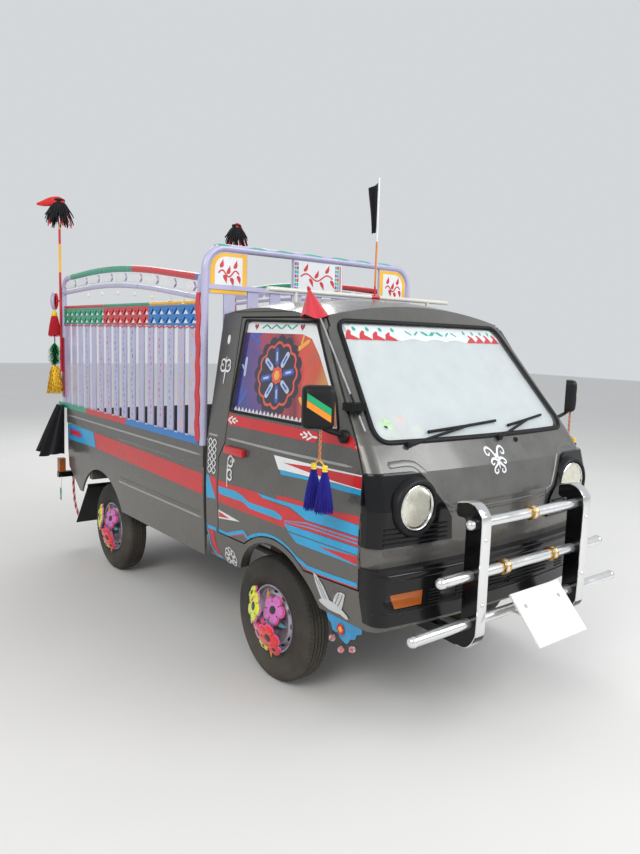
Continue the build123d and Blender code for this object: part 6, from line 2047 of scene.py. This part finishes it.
for side_name, sign in SIDES:
    flat, faces = cut_cells([(x + AXLE, z) for x, z in FLAP_OUTLINE], 0.012)
    points = []
    for x, z in flat:
        low_share = (0.434 - z) / 0.09
        points.append((x, sign * (FLAP_Y + 0.004 * low_share * math.sin(x * 60)), z))
    cloth = add_mesh("sill_flap_" + side_name, points, faces, felt_blue, smooth=180)
    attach(cloth, "chassis")
    area = mesh_area(cloth)
    extras = Bundle()
    spot = Vector((0.470 + AXLE, sign * 0.6625, 0.395))
    across = FORWARD * -sign
    heart = [(a * 0.55, b * 0.55) for a, b in petals(FLAP_FLOWER_R, 4, 40)]
    extras.add(*plate_rows(petals(FLAP_FLOWER_R, 6, 48), 0.0016, spot, across, UP), mark=0)
    extras.add(*plate_rows(heart, 0.0012, spot + across.cross(UP) * 0.0015, across, UP), mark=1)
    chance = random.Random(71)
    for x, z in POMPOMS:
        hem = min(flat, key=lambda p: (p[0] - x - AXLE) ** 2 + (p[1] - z) ** 2)
        top = Vector((hem[0], sign * FLAP_Y, hem[1]))
        ball = Vector((x + AXLE, sign * 0.660, z))
        extras.add(*sweep_rows([top, top.lerp(ball, 0.5), ball], ring(0.0012, 6)), mark=3)
        for k in range(POMPOM_YARNS):
            direction = Vector((chance.gauss(0, 1), chance.gauss(0, 1), chance.gauss(0, 1))).normalized()
            end = ball + direction * POMPOM_R
            extras.add(*sweep_rows([ball, end], ring(0.0016, 4), scale=[1.0, 0.7]), mark=2 if k % 3 else 4)
    piece = extras.piece("flap_trim_" + side_name, [ENAMELS["red"], MARKS["orange"], thread["rose"],
                                                    thread["black"], thread["pale"]], smooth=60)
    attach(piece, "chassis")
print("sill flap area", round(area, 4))

# %% [markdown]
# ## Door glass film
# The door glass carries a printed film in violet, red, orange and green. The film here is a generic
# design of the same colours and scale: flowing bands behind one large rosette. The bands are a colour
# ramp along the window, bent by soft noise, and the rosette is cut from thin layers pressed on to the
# glass. A white band with small leaves and hearts runs along the top and down the front edge.

# %% Film and rosette
def film_colours(tree, x, y, z):
    coords = places(tree)[0]
    along = maths(tree, "SUBTRACT", x, AXLE)
    bend = maths(tree, "MULTIPLY", maths(tree, "SUBTRACT", noise(tree, coords, 3.2, 2.0), 0.5), 0.42)
    slant = maths(tree, "MULTIPLY", maths(tree, "SUBTRACT", z, 1.39), 0.45)
    share = maths(tree, "ADD", maths(tree, "ADD", along, bend), slant)
    share = spread(tree, share, -0.37, 0.42, 0.0, 1.0)
    ramp = tree.nodes.new("ShaderNodeValToRGB")
    rows = [
        (0.0, (0.035, 0.040, 0.21)), (0.20, (0.12, 0.045, 0.22)), (0.33, (0.42, 0.035, 0.05)),
        (0.50, (0.16, 0.012, 0.03)),
        (0.64, (0.62, 0.06, 0.035)), (0.80, (0.50, 0.10, 0.04)), (0.90, (0.55, 0.26, 0.05)),
        (1.0, (0.20, 0.30, 0.08)),
    ]
    while len(ramp.color_ramp.elements) < len(rows):
        ramp.color_ramp.elements.new(0.5)
    for element, (place, colour) in zip(ramp.color_ramp.elements, rows):
        element.position = place
        element.color = (*colour, 1)
    link(tree, share, ramp.inputs[0])
    return ramp.outputs["Color"]


door_film = finish("door_film", film_colours, rough=0.10, coat=0.7, mottle=0.10, mottle_scale=9)
INK_ROWS = (  # name, colour, rough, coat, mottle
    ("night", (0.012, 0.010, 0.030), 0.12, 0.6, 0.15),
    ("ice", (0.42, 0.50, 0.66), 0.12, 0.6, 0.12),
    ("deep_blue", (0.035, 0.085, 0.42), 0.12, 0.6, 0.12),
    ("flame", (0.66, 0.07, 0.04), 0.12, 0.6, 0.12),
    ("amber", (0.75, 0.36, 0.05), 0.12, 0.6, 0.12),
    ("teal", (0.01, 0.36, 0.24), 0.2, 0.4, 0.12),
    ("wine", (0.30, 0.03, 0.06), 0.2, 0.4, 0.12),
)
film_ink = {
    name: finish("film_" + name, colour, rough=rough, coat=coat, mottle=mottle)
    for name, colour, rough, coat, mottle in INK_ROWS
}
film_ink["white"] = white_enamel


def rose_outline(a0, b0, radius, lobes, depth, points=96, turn=0.0):
    rows = []
    for angle in circle_angles(points):
        r = radius * (1 - depth + depth * abs(math.cos(lobes * (angle - turn) / 2)) ** 0.8)
        rows.append((a0 + r * math.cos(angle), b0 + r * math.sin(angle)))
    return rows


def leaf_outline(a0, b0, long, wide, turn, points=18):
    rows = []
    for angle in circle_angles(points):
        a = long * math.cos(angle)
        b = wide * math.sin(angle) * (0.55 + 0.45 * math.cos(angle) ** 2)
        rows.append((a0 + a * math.cos(turn) - b * math.sin(turn),
                     b0 + a * math.sin(turn) + b * math.cos(turn)))
    return rows


def heart_outline(a0, b0, size, points=28):
    rows = []
    for t in circle_angles(points):
        tall = 13 * math.cos(t) - 5 * math.cos(2 * t) - 2 * math.cos(3 * t) - math.cos(4 * t)
        rows.append((a0 + size * 0.06 * 16 * math.sin(t) ** 3, b0 + size * 0.06 * tall))
    return rows


ASIDE_Y = 1.2  # looks at a side start here
ROSE_X, ROSE_Z = -0.055, 1.365
FILM_ROWS = [  # outline in the side view, ink, layer
    (rose_outline(ROSE_X, ROSE_Z, 0.178, 16, 0.10), "night", 0),
    (rose_outline(ROSE_X, ROSE_Z, 0.150, 12, 0.12, turn=0.1), "flame", 1),
    (rose_outline(ROSE_X, ROSE_Z, 0.138, 12, 0.14, turn=0.1), "night", 2),
]
for k in range(8):
    turn = 2 * math.pi * k / 8 + 0.2
    a, b = ROSE_X + 0.083 * math.cos(turn), ROSE_Z + 0.083 * math.sin(turn)
    FILM_ROWS.append((leaf_outline(a, b, 0.040, 0.024, turn), "ice" if k % 2 else "deep_blue", 3))
    FILM_ROWS.append((leaf_outline(a, b, 0.022, 0.009, turn), "deep_blue" if k % 2 else "ice", 4))
FILM_ROWS.append((rose_outline(ROSE_X, ROSE_Z, 0.040, 8, 0.18), "flame", 3))
FILM_ROWS.append((rose_outline(ROSE_X, ROSE_Z, 0.021, 6, 0.15), "amber", 4))
for a, b, turn, ink in (
    (-0.300, 1.250, 0.9, "deep_blue"), (-0.262, 1.520, -0.5, "deep_blue"), (0.105, 1.500, 0.5, "amber"),
    (0.160, 1.255, -0.7, "amber"),
    (0.215, 1.400, 1.2, "flame"), (-0.315, 1.390, 1.57, "ice"),
):
    FILM_ROWS.append((leaf_outline(a, b, 0.046, 0.017, turn), ink, 0))
    a, b = a + 0.030 * math.cos(turn + 1.3), b + 0.030 * math.sin(turn + 1.3)
    FILM_ROWS.append((leaf_outline(a, b, 0.030, 0.011, turn + 0.8), ink, 0))
band_top = [(-0.352, 1.606), (0.180, 1.600), (0.262, 1.484), (0.386, 1.306)]
band_low = [(0.346, 1.300), (0.225, 1.462), (0.160, 1.528), (0.095, 1.546), (-0.342, 1.548)]
FILM_ROWS.append((band_top + band_low, "white", 5))
for a, turn in ((-0.20, 0.4), (-0.165, -0.5), (-0.125, 0.5), (-0.09, -0.4), (-0.05, 0.5), (-0.01, -0.5),
                (0.03, 0.5)):
    FILM_ROWS.append((leaf_outline(a, 1.576, 0.021, 0.0075, turn), "teal", 6))
for a in (-0.265, 0.085):
    FILM_ROWS.append((heart_outline(a, 1.576, 0.017), "wine", 6))
for k in range(26):
    a = -0.365 + 0.0300 * k
    FILM_ROWS.append(([(a, 1.1835), (a + 0.030, 1.1835), (a + 0.026, 1.189), (a + 0.015, 1.2035),
                       (a + 0.004, 1.189)], "white", 2))

for side_name, sign in SIDES:
    wear("door_glass_" + side_name, door_film)
    tree = panel_tree("door_glass_" + side_name)
    low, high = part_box("door_glass_" + side_name)
    design = Bundle()
    inks = list(film_ink)
    lost = 0
    for outline, ink, layer in FILM_ROWS:
        flat, faces = cut_cells([(x + AXLE, z) for x, z in outline], 0.05)
        kept = []
        for x, z in flat:
            hit, normal = look_at_skin(tree, (x, sign * ASIDE_Y, z), Vector((0, -sign, 0)), 1.0)
            if hit is None:
                lost += 1
                hit = tree.find_nearest(Vector((x, sign * 0.5 * (abs(low.y) + abs(high.y)), z)))[0]
                normal = Vector((0, sign, 0))
            kept.append(hit + normal * (0.0004 + 0.0003 * layer))
        design.add(kept, flipped(faces) if sign == 1 else faces, mark=inks.index(ink))
    piece = design.piece("film_design_" + side_name, [film_ink[n] for n in inks], smooth=0)
    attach(piece, "door_" + side_name)
print("film shapes:", len(FILM_ROWS), "points off the glass:", lost)

# %% [markdown]
# ## Windscreen band and dashboard flowers
# The windscreen has a translucent white band at the top with red crests and teal drops at its
# corners, and a bunch of foam flowers lies on the dashboard behind the glass.

# %% Windscreen band
band_white = glassy("band_white", (0.86, 0.88, 0.88), rough=0.3, alpha=0.82)
band_red = glassy("band_red", (0.62, 0.05, 0.06), rough=0.3, alpha=0.9)
band_teal = glassy("band_teal", (0.02, 0.42, 0.36), rough=0.3, alpha=0.9)
screen_tree = panel_tree("cab_glass")
BAND_ROWS = []  # outline across and up, paint, layer
edge = [((-0.540 + 1.08 * k / 32) * 1.02, 1.530 + 0.010 * abs(math.cos(k * math.pi / 4))) for k in range(33)]
BAND_ROWS.append(([(-0.505, 1.598), (0.505, 1.598)] + edge[::-1], 0, 0))
for hand in (1, -1):
    for k in range(4):
        a = hand * (0.470 - 0.068 * k)
        top = 1.574 - 0.003 * k
        crest = ((0.034, 1.532), (0.020, 1.556), (0, top), (-0.010, 1.566), (-0.002, 1.552), (-0.030, 1.538),
                 (-0.034, 1.530))
        crest = [(a + hand * aside, z) for aside, z in crest]
        BAND_ROWS.append((crest, 1, 1))
        BAND_ROWS.append((rose_outline(a - hand * 0.030, 1.576, 0.010, 5, 0.3, 20), 2, 1))
    for k in range(5):
        BAND_ROWS.append((leaf_outline(hand * (0.150 - 0.048 * k), 1.566, 0.018, 0.006, 0.5 if k % 2 else -0.5),
                          2, 1))
band = Bundle()
for outline, ink, layer in BAND_ROWS:
    flat, faces = cut_cells(outline, 0.03)
    kept, index = [], {}
    for k, (y, z) in enumerate(flat):
        hit, normal = look_at_skin(screen_tree, (LOOK_FROM_X, y, z), BACKWARD, 1.9)
        if hit is not None:
            index[k] = len(kept)
            kept.append(hit + normal * (0.0005 + 0.0004 * layer))
    faces = [tuple(index[k] for k in face) for face in faces if all(k in index for k in face)]
    band.add(kept, faces, mark=ink)
piece = band.piece("screen_band", [band_white, band_red, band_teal], smooth=0)
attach(piece, "chassis")

bunch = Bundle()
DASH_FLOWERS = [  # forward, across, up, size, face, back
    (0.500, -0.470, 1.150, 0.046, "lemon", "mint"), (0.520, -0.400, 1.135, 0.040, "pink", "orange"),
    (0.515, -0.515, 1.190, 0.036, "mint", "lemon"), (0.505, -0.430, 1.205, 0.034, "red", "lemon"),
    (0.530, -0.355, 1.165, 0.030, "lemon", "pink"),
]
BUNCH_FOOT = Vector((0.520 + AXLE, -0.440, 1.106))
normal = Vector((0.85, -0.25, 0.4)).normalized()
across = UP.cross(normal).normalized()
rise = normal.cross(across)
for forward, aside, up, size, face, back in DASH_FLOWERS:
    place = Vector((forward + AXLE, aside, up))
    bunch.add(*plate_rows(petals(size * 1.1), 0.006, place, across, rise), mark=foam_mark(back))
    bunch.add(*plate_rows(petals(size), 0.006, place + normal * 0.006, across, rise), mark=foam_mark(face))
    bunch.add(*turned_rows([(size * 0.28, 0.0), (size * 0.22, 0.004)], place + normal * 0.012, normal, 16),
              mark=foam_mark("black"))
    stalk = [BUNCH_FOOT, BUNCH_FOOT.lerp(place, 0.5) + Vector((-0.008, 0, 0)), place]
    bunch.add(*sweep_rows(stalk, ring(0.003, 8)), mark=foam_mark("mint"))
pot = [(0.030, 0), (0.030, 0.010), (0.018, 0.020)]
bunch.add(*turned_rows(pot, (0.520 + AXLE, -0.440, 1.1075), UP, 20), mark=foam_mark("black"))
piece = bunch.piece("dash_flowers", [foam[n] for n in FOAM_ORDER], smooth=50)
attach(piece, "chassis")
print("windscreen band shapes:", len(BAND_ROWS))

# %% [markdown]
# ## Door furniture and side ornaments
# The door has a red pull handle with a lock below it, and white scroll ornaments of wire-like curls
# on the pillar and the door. A white bird and a round flower ornament sit low on the side. All are
# plain traditional motifs drawn from curves, pressed on to the panels as thin layers.

# %% Handles and ornaments
def knot_column(x, z_low, z_high, wide, loops):
    """Two strands that cross and open like a plait, as closed ribbon outlines."""
    outlines = []
    for hand in (1, -1):
        shares = [k / (loops * 12) for k in range(loops * 12 + 1)]
        line = [(x + hand * wide * math.sin(math.pi * loops * t), z_low + (z_high - z_low) * t) for t in shares]
        outlines.append(band_outline(line, 0.0062))
    return outlines


def curl_ribbon(x, z, turns, size, angle, hand):
    line = [(x + a, z + b) for a, b in curl(turns, size, angle, hand)]
    return ribbon_cells(line, 0.0105, 0.0055)


DOVE = [
    [(0.322, 0.592), (0.344, 0.586), (0.367, 0.569), (0.384, 0.549), (0.398, 0.524), (0.410, 0.500),
     (0.422, 0.478), (0.394, 0.468), (0.370, 0.476), (0.356, 0.494), (0.345, 0.520), (0.333, 0.552)],
    [(0.518, 0.558), (0.494, 0.560), (0.471, 0.551), (0.452, 0.533), (0.438, 0.511), (0.428, 0.488),
     (0.420, 0.468), (0.462, 0.462), (0.480, 0.478), (0.493, 0.501), (0.505, 0.528)],
    [(0.338, 0.476), (0.352, 0.468), (0.370, 0.462), (0.398, 0.456), (0.432, 0.455), (0.470, 0.458),
     (0.504, 0.448), (0.520, 0.454), (0.514, 0.466), (0.490, 0.480), (0.460, 0.492), (0.420, 0.500),
     (0.386, 0.498), (0.365, 0.492), (0.350, 0.486)],
]
FEATHERS = [
    [(0.338, 0.578), (0.360, 0.532), (0.382, 0.486)],
    [(0.356, 0.570), (0.376, 0.530), (0.396, 0.490)],
    [(0.504, 0.552), (0.478, 0.512), (0.452, 0.480)],
    [(0.482, 0.550), (0.460, 0.516), (0.440, 0.488)],
]
dove_white = finish("dove_white", (0.56, 0.57, 0.57), rough=0.45, mottle=0.12)
LEAF_ROW = (  # ahead, up, length, turn
    (0.0, 0.0, 0.022, 0.0), (0.030, 0.009, 0.019, 0.45), (0.030, -0.009, 0.019, -0.45),
    (0.060, 0.007, 0.017, 0.3), (0.060, -0.007, 0.017, -0.3), (0.084, 0.0, 0.010, 0.0),
)
HANDLE_LOW, HANDLE_HIGH, HANDLE_Y = (-0.352 + AXLE, 0.986), (-0.202 + AXLE, 1.012), 0.706
HANDLE_LAYERS = ((-0.010, 1.0), (0.0035, 1.0), (0.0075, 0.94), (0.0085, 0.80))  # out, scale
LOCK_FORM = [(0.0115, -0.002), (0.0115, 0.002), (0.0095, 0.0035), (0.004, 0.0036)]


def side_ornament(name, outlines, tree, body, material, lift=0.0026, strips=True):
    """Thin shapes pressed on to one side of the truck. The name ends with the side."""
    sign = 1 if name.endswith("left") else -1
    paint = Bundle()
    for outline in outlines:
        points = press(in_side_view(outline, sign), tree, Vector((0, -sign, 0)), lift)
        if strips:
            faces = flipped(strip_faces(outline)) if sign == 1 else strip_faces(outline)
        else:
            faces = flat_faces(outline)
        paint.add(points, faces)
    piece = paint.piece(name, [material], smooth=0)
    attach(piece, body)


for side_name, sign in SIDES:
    view, door = Vector((0, -sign, 0)), "door_" + side_name
    door_tree, pillar_tree = panel_tree(door), panel_tree("cab_sides")
    skin_tree = panel_tree(door, "cab_sides", "cab_front")
    pillar = knot_column(-0.515, 0.862, 1.032, 0.0165, 5) + knot_column(-0.476, 0.862, 1.032, 0.0165, 5)
    side_ornament("plait_" + side_name, pillar, pillar_tree, "chassis", white_enamel)
    door_scrolls = [
        curl_ribbon(-0.345, 0.945, 0.9, 0.040, 2.0, -1), curl_ribbon(-0.345, 0.930, 0.9, 0.040, -1.2, 1),
        curl_ribbon(-0.350, 0.885, 0.8, 0.036, 1.8, -1), curl_ribbon(-0.350, 0.870, 0.8, 0.036, -1.4, 1),
        band_outline([(-0.348, 0.820), (-0.350, 0.880), (-0.346, 0.955)], [0.005, 0.009, 0.005]),
    ]
    side_ornament("scroll_door_" + side_name, door_scrolls, door_tree, door, white_enamel)
    pillar_scrolls = [
        curl_ribbon(-0.470, 1.385, 0.9, 0.045, 2.0, -1), curl_ribbon(-0.470, 1.370, 0.9, 0.045, -1.2, 1),
        curl_ribbon(-0.465, 1.385, 0.9, 0.045, 1.1, 1), curl_ribbon(-0.465, 1.370, 0.9, 0.045, -1.9, -1),
        band_outline([(-0.468, 1.300), (-0.466, 1.36), (-0.468, 1.430)], [0.005, 0.010, 0.005]),
    ]
    side_ornament("scroll_pillar_" + side_name, pillar_scrolls, pillar_tree, "chassis", white_enamel)
    round_flower = []
    for turn in circle_angles(8):
        a, b = -0.346 + 0.034 * math.cos(turn), 0.470 + 0.034 * math.sin(turn)
        loop = [(a + 0.0180 * math.cos(t), b + 0.0180 * math.sin(t)) for t in np.linspace(0, 2 * math.pi, 17)]
        round_flower.append(band_outline(loop, 0.0060))
    side_ornament("round_flower_" + side_name, round_flower, skin_tree, "chassis", white_enamel)
    side_ornament("bird_" + side_name, DOVE[:2], skin_tree, "chassis", dove_white, strips=False)
    side_ornament("bird_body_" + side_name, DOVE[2:], skin_tree, "chassis", dove_white, lift=0.0036,
                  strips=False)
    feathers = [band_outline([tuple(p) for p in smooth_line(line, 6)], 0.0035) for line in FEATHERS]
    side_ornament("bird_feathers_" + side_name, feathers, skin_tree, "chassis", body_enamel, lift=0.0032)
    ends = []
    for x, hand in ((-0.385, 1), (0.285, -1)):
        for ahead, rise, long, turn in LEAF_ROW:
            ends.append(leaf_outline(x + hand * ahead, 1.138 + rise, long, 0.0075, hand * turn))
    side_ornament("plaque_flourish_" + side_name, ends, door_tree, door, white_enamel, lift=0.0030,
                  strips=False)

    furniture = Bundle()
    low, high = HANDLE_LOW, HANDLE_HIGH
    outline = frame_line(box_outline(low[0] - 0.008, low[1] - 0.004, high[0] + 0.006, high[1] + 0.006), 0.008,
                         5, 2)
    mid_x, mid_z = (low[0] + high[0]) / 2, (low[1] + high[1]) / 2
    points = []
    for shift, scale in HANDLE_LAYERS:
        stretch, y = 1 - (1 - scale) * 0.25, sign * HANDLE_Y + sign * shift
        points += [Vector((mid_x + (x - mid_x) * stretch, y, mid_z + (z - mid_z) * scale)) for x, z in outline]
    count = len(outline)
    faces = grid_faces(4, count) + [tuple(3 * count + k for k in range(count))]
    furniture.add(points, flipped(faces) if sign == 1 else faces)
    hit, _ = look_at_skin(door_tree, (-0.300 + AXLE, sign * ASIDE_Y, 0.955), view, 1.0)
    furniture.add(*turned_rows(LOCK_FORM, hit, Vector((0, sign, 0)), 20), mark=1)
    piece = furniture.piece("door_handle_" + side_name, [ENAMELS["red"], chrome_plate], smooth=45)
    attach(piece, "door_" + side_name)
    hit, normal = look_at_skin(pillar_tree, (-0.470 + AXLE, sign * ASIDE_Y, 1.512), view, 1.0)
    reflector = Bundle()
    up_way = (UP - normal * normal.z).normalized()
    cross_way = up_way.cross(normal)
    plate = oval(0.011, 0.024, 24)
    reflector.add(*plate_rows(plate, 0.005, hit - normal * 0.0005, cross_way, up_way))
    reflector.add(*plate_rows([(a * 0.7, b * 0.8) for a, b in plate], 0.0018, hit + normal * 0.0042, cross_way,
                              up_way))
    piece = reflector.piece("side_reflector_" + side_name, [plate_enamel], smooth=50)
    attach(piece, "chassis")
print("side ornaments are on both sides")

# %% [markdown]
# ## Seats
# The cab has two plain seats. Each has a foam cushion and a raked backrest in a tight dark cloth
# cover, with piping round the front panel and two sewn channels. The pads are swollen from a flat
# form by a short cloth simulation, as foam fills a cover, then the channels are pressed in and the
# piping is laid on the swollen surface. Each seat stands on a moulded plinth with two steel rails.

# %% Seat pads
PAD_VOXEL, PAD_PRESSURE, PAD_FRAMES = 0.012, 4, 20
SEAT_MIDDLE = 0.325
CHANNEL_X, CHANNEL_DEEP, CHANNEL_HALF = 0.085, 0.0075, 0.0075
PIPING_IN, PIPING_R = 0.026, 0.0034
PADS = {  # size across, size along, thickness, place from the front axle (rear face), lean of the face, cap
    "cushion": (0.452, 0.395, 0.094, (-0.166, 0.713), (0.055, 1.0), 0.020),
    "backrest": (0.448, 0.455, 0.060, (-0.4295, 1.079), (1.0, 0.145), 0.014),
}


def baked(pad):
    """Gives the pad the mesh that its modifiers make."""
    pad.data = bpy.data.meshes.new_from_object(pad.evaluated_get(bpy.context.evaluated_depsgraph_get()))
    pad.modifiers.clear()


def puffed_pad(name, wide, long, thick, cap):
    """A pad that is swollen by pressure, in its own frame: across, along and out."""
    flat = rounded(-wide / 2, -long / 2, wide / 2, long / 2, 0.055)
    pad = add_mesh(name, *plate_rows(flat, thick, Vector((0, 0, 0)), FORWARD, LEFTWARD), seat_cloth, smooth=0)
    remesh = pad.modifiers.new("remesh", "REMESH")
    remesh.mode = "VOXEL"
    remesh.voxel_size = PAD_VOXEL
    baked(pad)
    start = [v.co.copy() for v in pad.data.vertices]
    held = pad.vertex_groups.new(name="held")
    held.add([k for k, p in enumerate(start) if p.z < 0.010], 1.0, "REPLACE")
    cloth = pad.modifiers.new("cloth", "CLOTH")
    cloth.settings.vertex_group_mass = "held"
    cloth.settings.use_pressure = True
    cloth.settings.uniform_pressure_force = PAD_PRESSURE
    cloth.settings.effector_weights.gravity = 0
    for frame in range(1, PAD_FRAMES + 1):
        scene.frame_set(frame)
    swollen = pad.evaluated_get(bpy.context.evaluated_depsgraph_get()).data
    moves = [swollen.vertices[k].co - start[k] for k in range(len(start))]
    pad.modifiers.clear()
    scene.frame_set(1)
    for vertex, move in zip(pad.data.vertices, moves):
        at_rim = abs(vertex.co.x) > wide / 2 - 0.02 or abs(vertex.co.y) > long / 2 - 0.02
        limit = cap * (0.35 if at_rim else 1.0)
        vertex.co += move * min(1.0, limit / max(move.length, 1e-6))
    print(name, "largest swell", round(max(m.length for m in moves), 3), "m before its cap of", cap)
    pad.modifiers.new("fine", "SUBSURF").levels = 1
    baked(pad)
    for vertex in pad.data.vertices:
        p = vertex.co
        if p.z > thick * 0.5:
            gap = min(abs(abs(p.x) - CHANNEL_X), abs(p.y - long * 0.30) if abs(p.x) < CHANNEL_X else 1.0)
            fade = max(0.0, min(1.0, (long / 2 - 0.045 - abs(p.y)) / 0.03))
            p.z -= CHANNEL_DEEP * math.exp(-((gap / CHANNEL_HALF) ** 2)) * fade
    pad.data.materials.clear()
    pad.data.materials.append(seat_cloth)
    pad.data.shade_smooth()
    return pad


for kind, (wide, long, thick, place, face, cap) in PADS.items():
    pad = puffed_pad("seat_" + kind + "_left", wide, long, thick, cap)
    local = [v.co.copy() for v in pad.data.vertices]
    out = Vector((face[0], 0, face[1])).normalized()
    rise = LEFTWARD.cross(out) if kind == "cushion" else out.cross(LEFTWARD)
    rise = rise if (rise.x > 0 if kind == "cushion" else rise.z > 0) else -rise
    aside = rise.cross(out)
    for side_name, sign in SIDES:
        origin = Vector((place[0] + AXLE, sign * SEAT_MIDDLE, place[1]))
        one = pad
        if side_name == "right":
            one = bpy.data.objects.new("seat_" + kind + "_right", pad.data.copy())
            scene.collection.objects.link(one)
        for vertex, p in zip(one.data.vertices, local):
            vertex.co = origin + aside * p.x + rise * p.y + out * p.z
        one.data.update()
        tree = BVHTree.FromPolygons([v.co for v in one.data.vertices],
                                    [tuple(f.vertices) for f in one.data.polygons])
        half_wide, half_long = wide / 2 - PIPING_IN, long / 2 - PIPING_IN
        rim = rounded(-half_wide, -half_long, half_wide, half_long, 0.05, count=6)
        line, guides = [], []
        for a, b in frame_line(rim, 0.001, 1, 3):
            hit, normal, _, _ = tree.ray_cast(origin + aside * a + rise * b + out * 0.3, -out, 0.5)
            line.append(hit + normal * 0.0012)
            guides.append(normal)
        piping = sweep("seat_piping_" + kind + "_" + side_name, line, ring(PIPING_R, 8), black_cloth, guides,
                       closed=True)
        for piece in (one, piping):
            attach(piece, "chassis")
            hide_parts("seats")
        print(one.name, "triangles", sum(len(f.vertices) - 2 for f in one.data.polygons))

PLINTH_LOW_Z, PLINTH_TOP_Z = 0.607, 0.712
RAIL_Z, RAIL_HALF, RAIL_TALL = 0.594, 0.014, 0.014
BACK_SHELL = [(-0.150, 0.0), (0.150, 0.0), (0.175, 0.20), (0.160, 0.40), (-0.160, 0.40), (-0.175, 0.20)]
BACK_LEAN = -Vector((0.145, 0, -1.0)).normalized()
plinths = Bundle()
for sign in (1, -1):
    middle = sign * SEAT_MIDDLE
    outline = [(a + AXLE, b) for a, b in rounded(-0.405, middle - 0.205, 0.030, middle + 0.205, 0.04)]
    low_end = Vector((0, 0, PLINTH_LOW_Z))
    plinths.add(*plate_rows(outline, PLINTH_TOP_Z - PLINTH_LOW_Z, low_end, FORWARD, LEFTWARD))
    for aside in (-0.16, 0.16):
        rail = [(a + AXLE, middle + aside + b) for a, b in box_outline(-0.39, -RAIL_HALF, 0.048, RAIL_HALF)]
        plinths.add(*plate_rows(rail, RAIL_TALL, Vector((0, 0, RAIL_Z)), FORWARD, LEFTWARD), mark=1)
    place = Vector((-0.4305 + AXLE, middle, 0.870))
    plinths.add(*plate_rows(BACK_SHELL, 0.010, place, LEFTWARD, BACK_LEAN), mark=0)
piece = plinths.piece("seat_plinths", [moulded_black, bare_steel], smooth=40)
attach(piece, "chassis")
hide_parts("seats")
print("seats: 4 pads on 2 plinths")
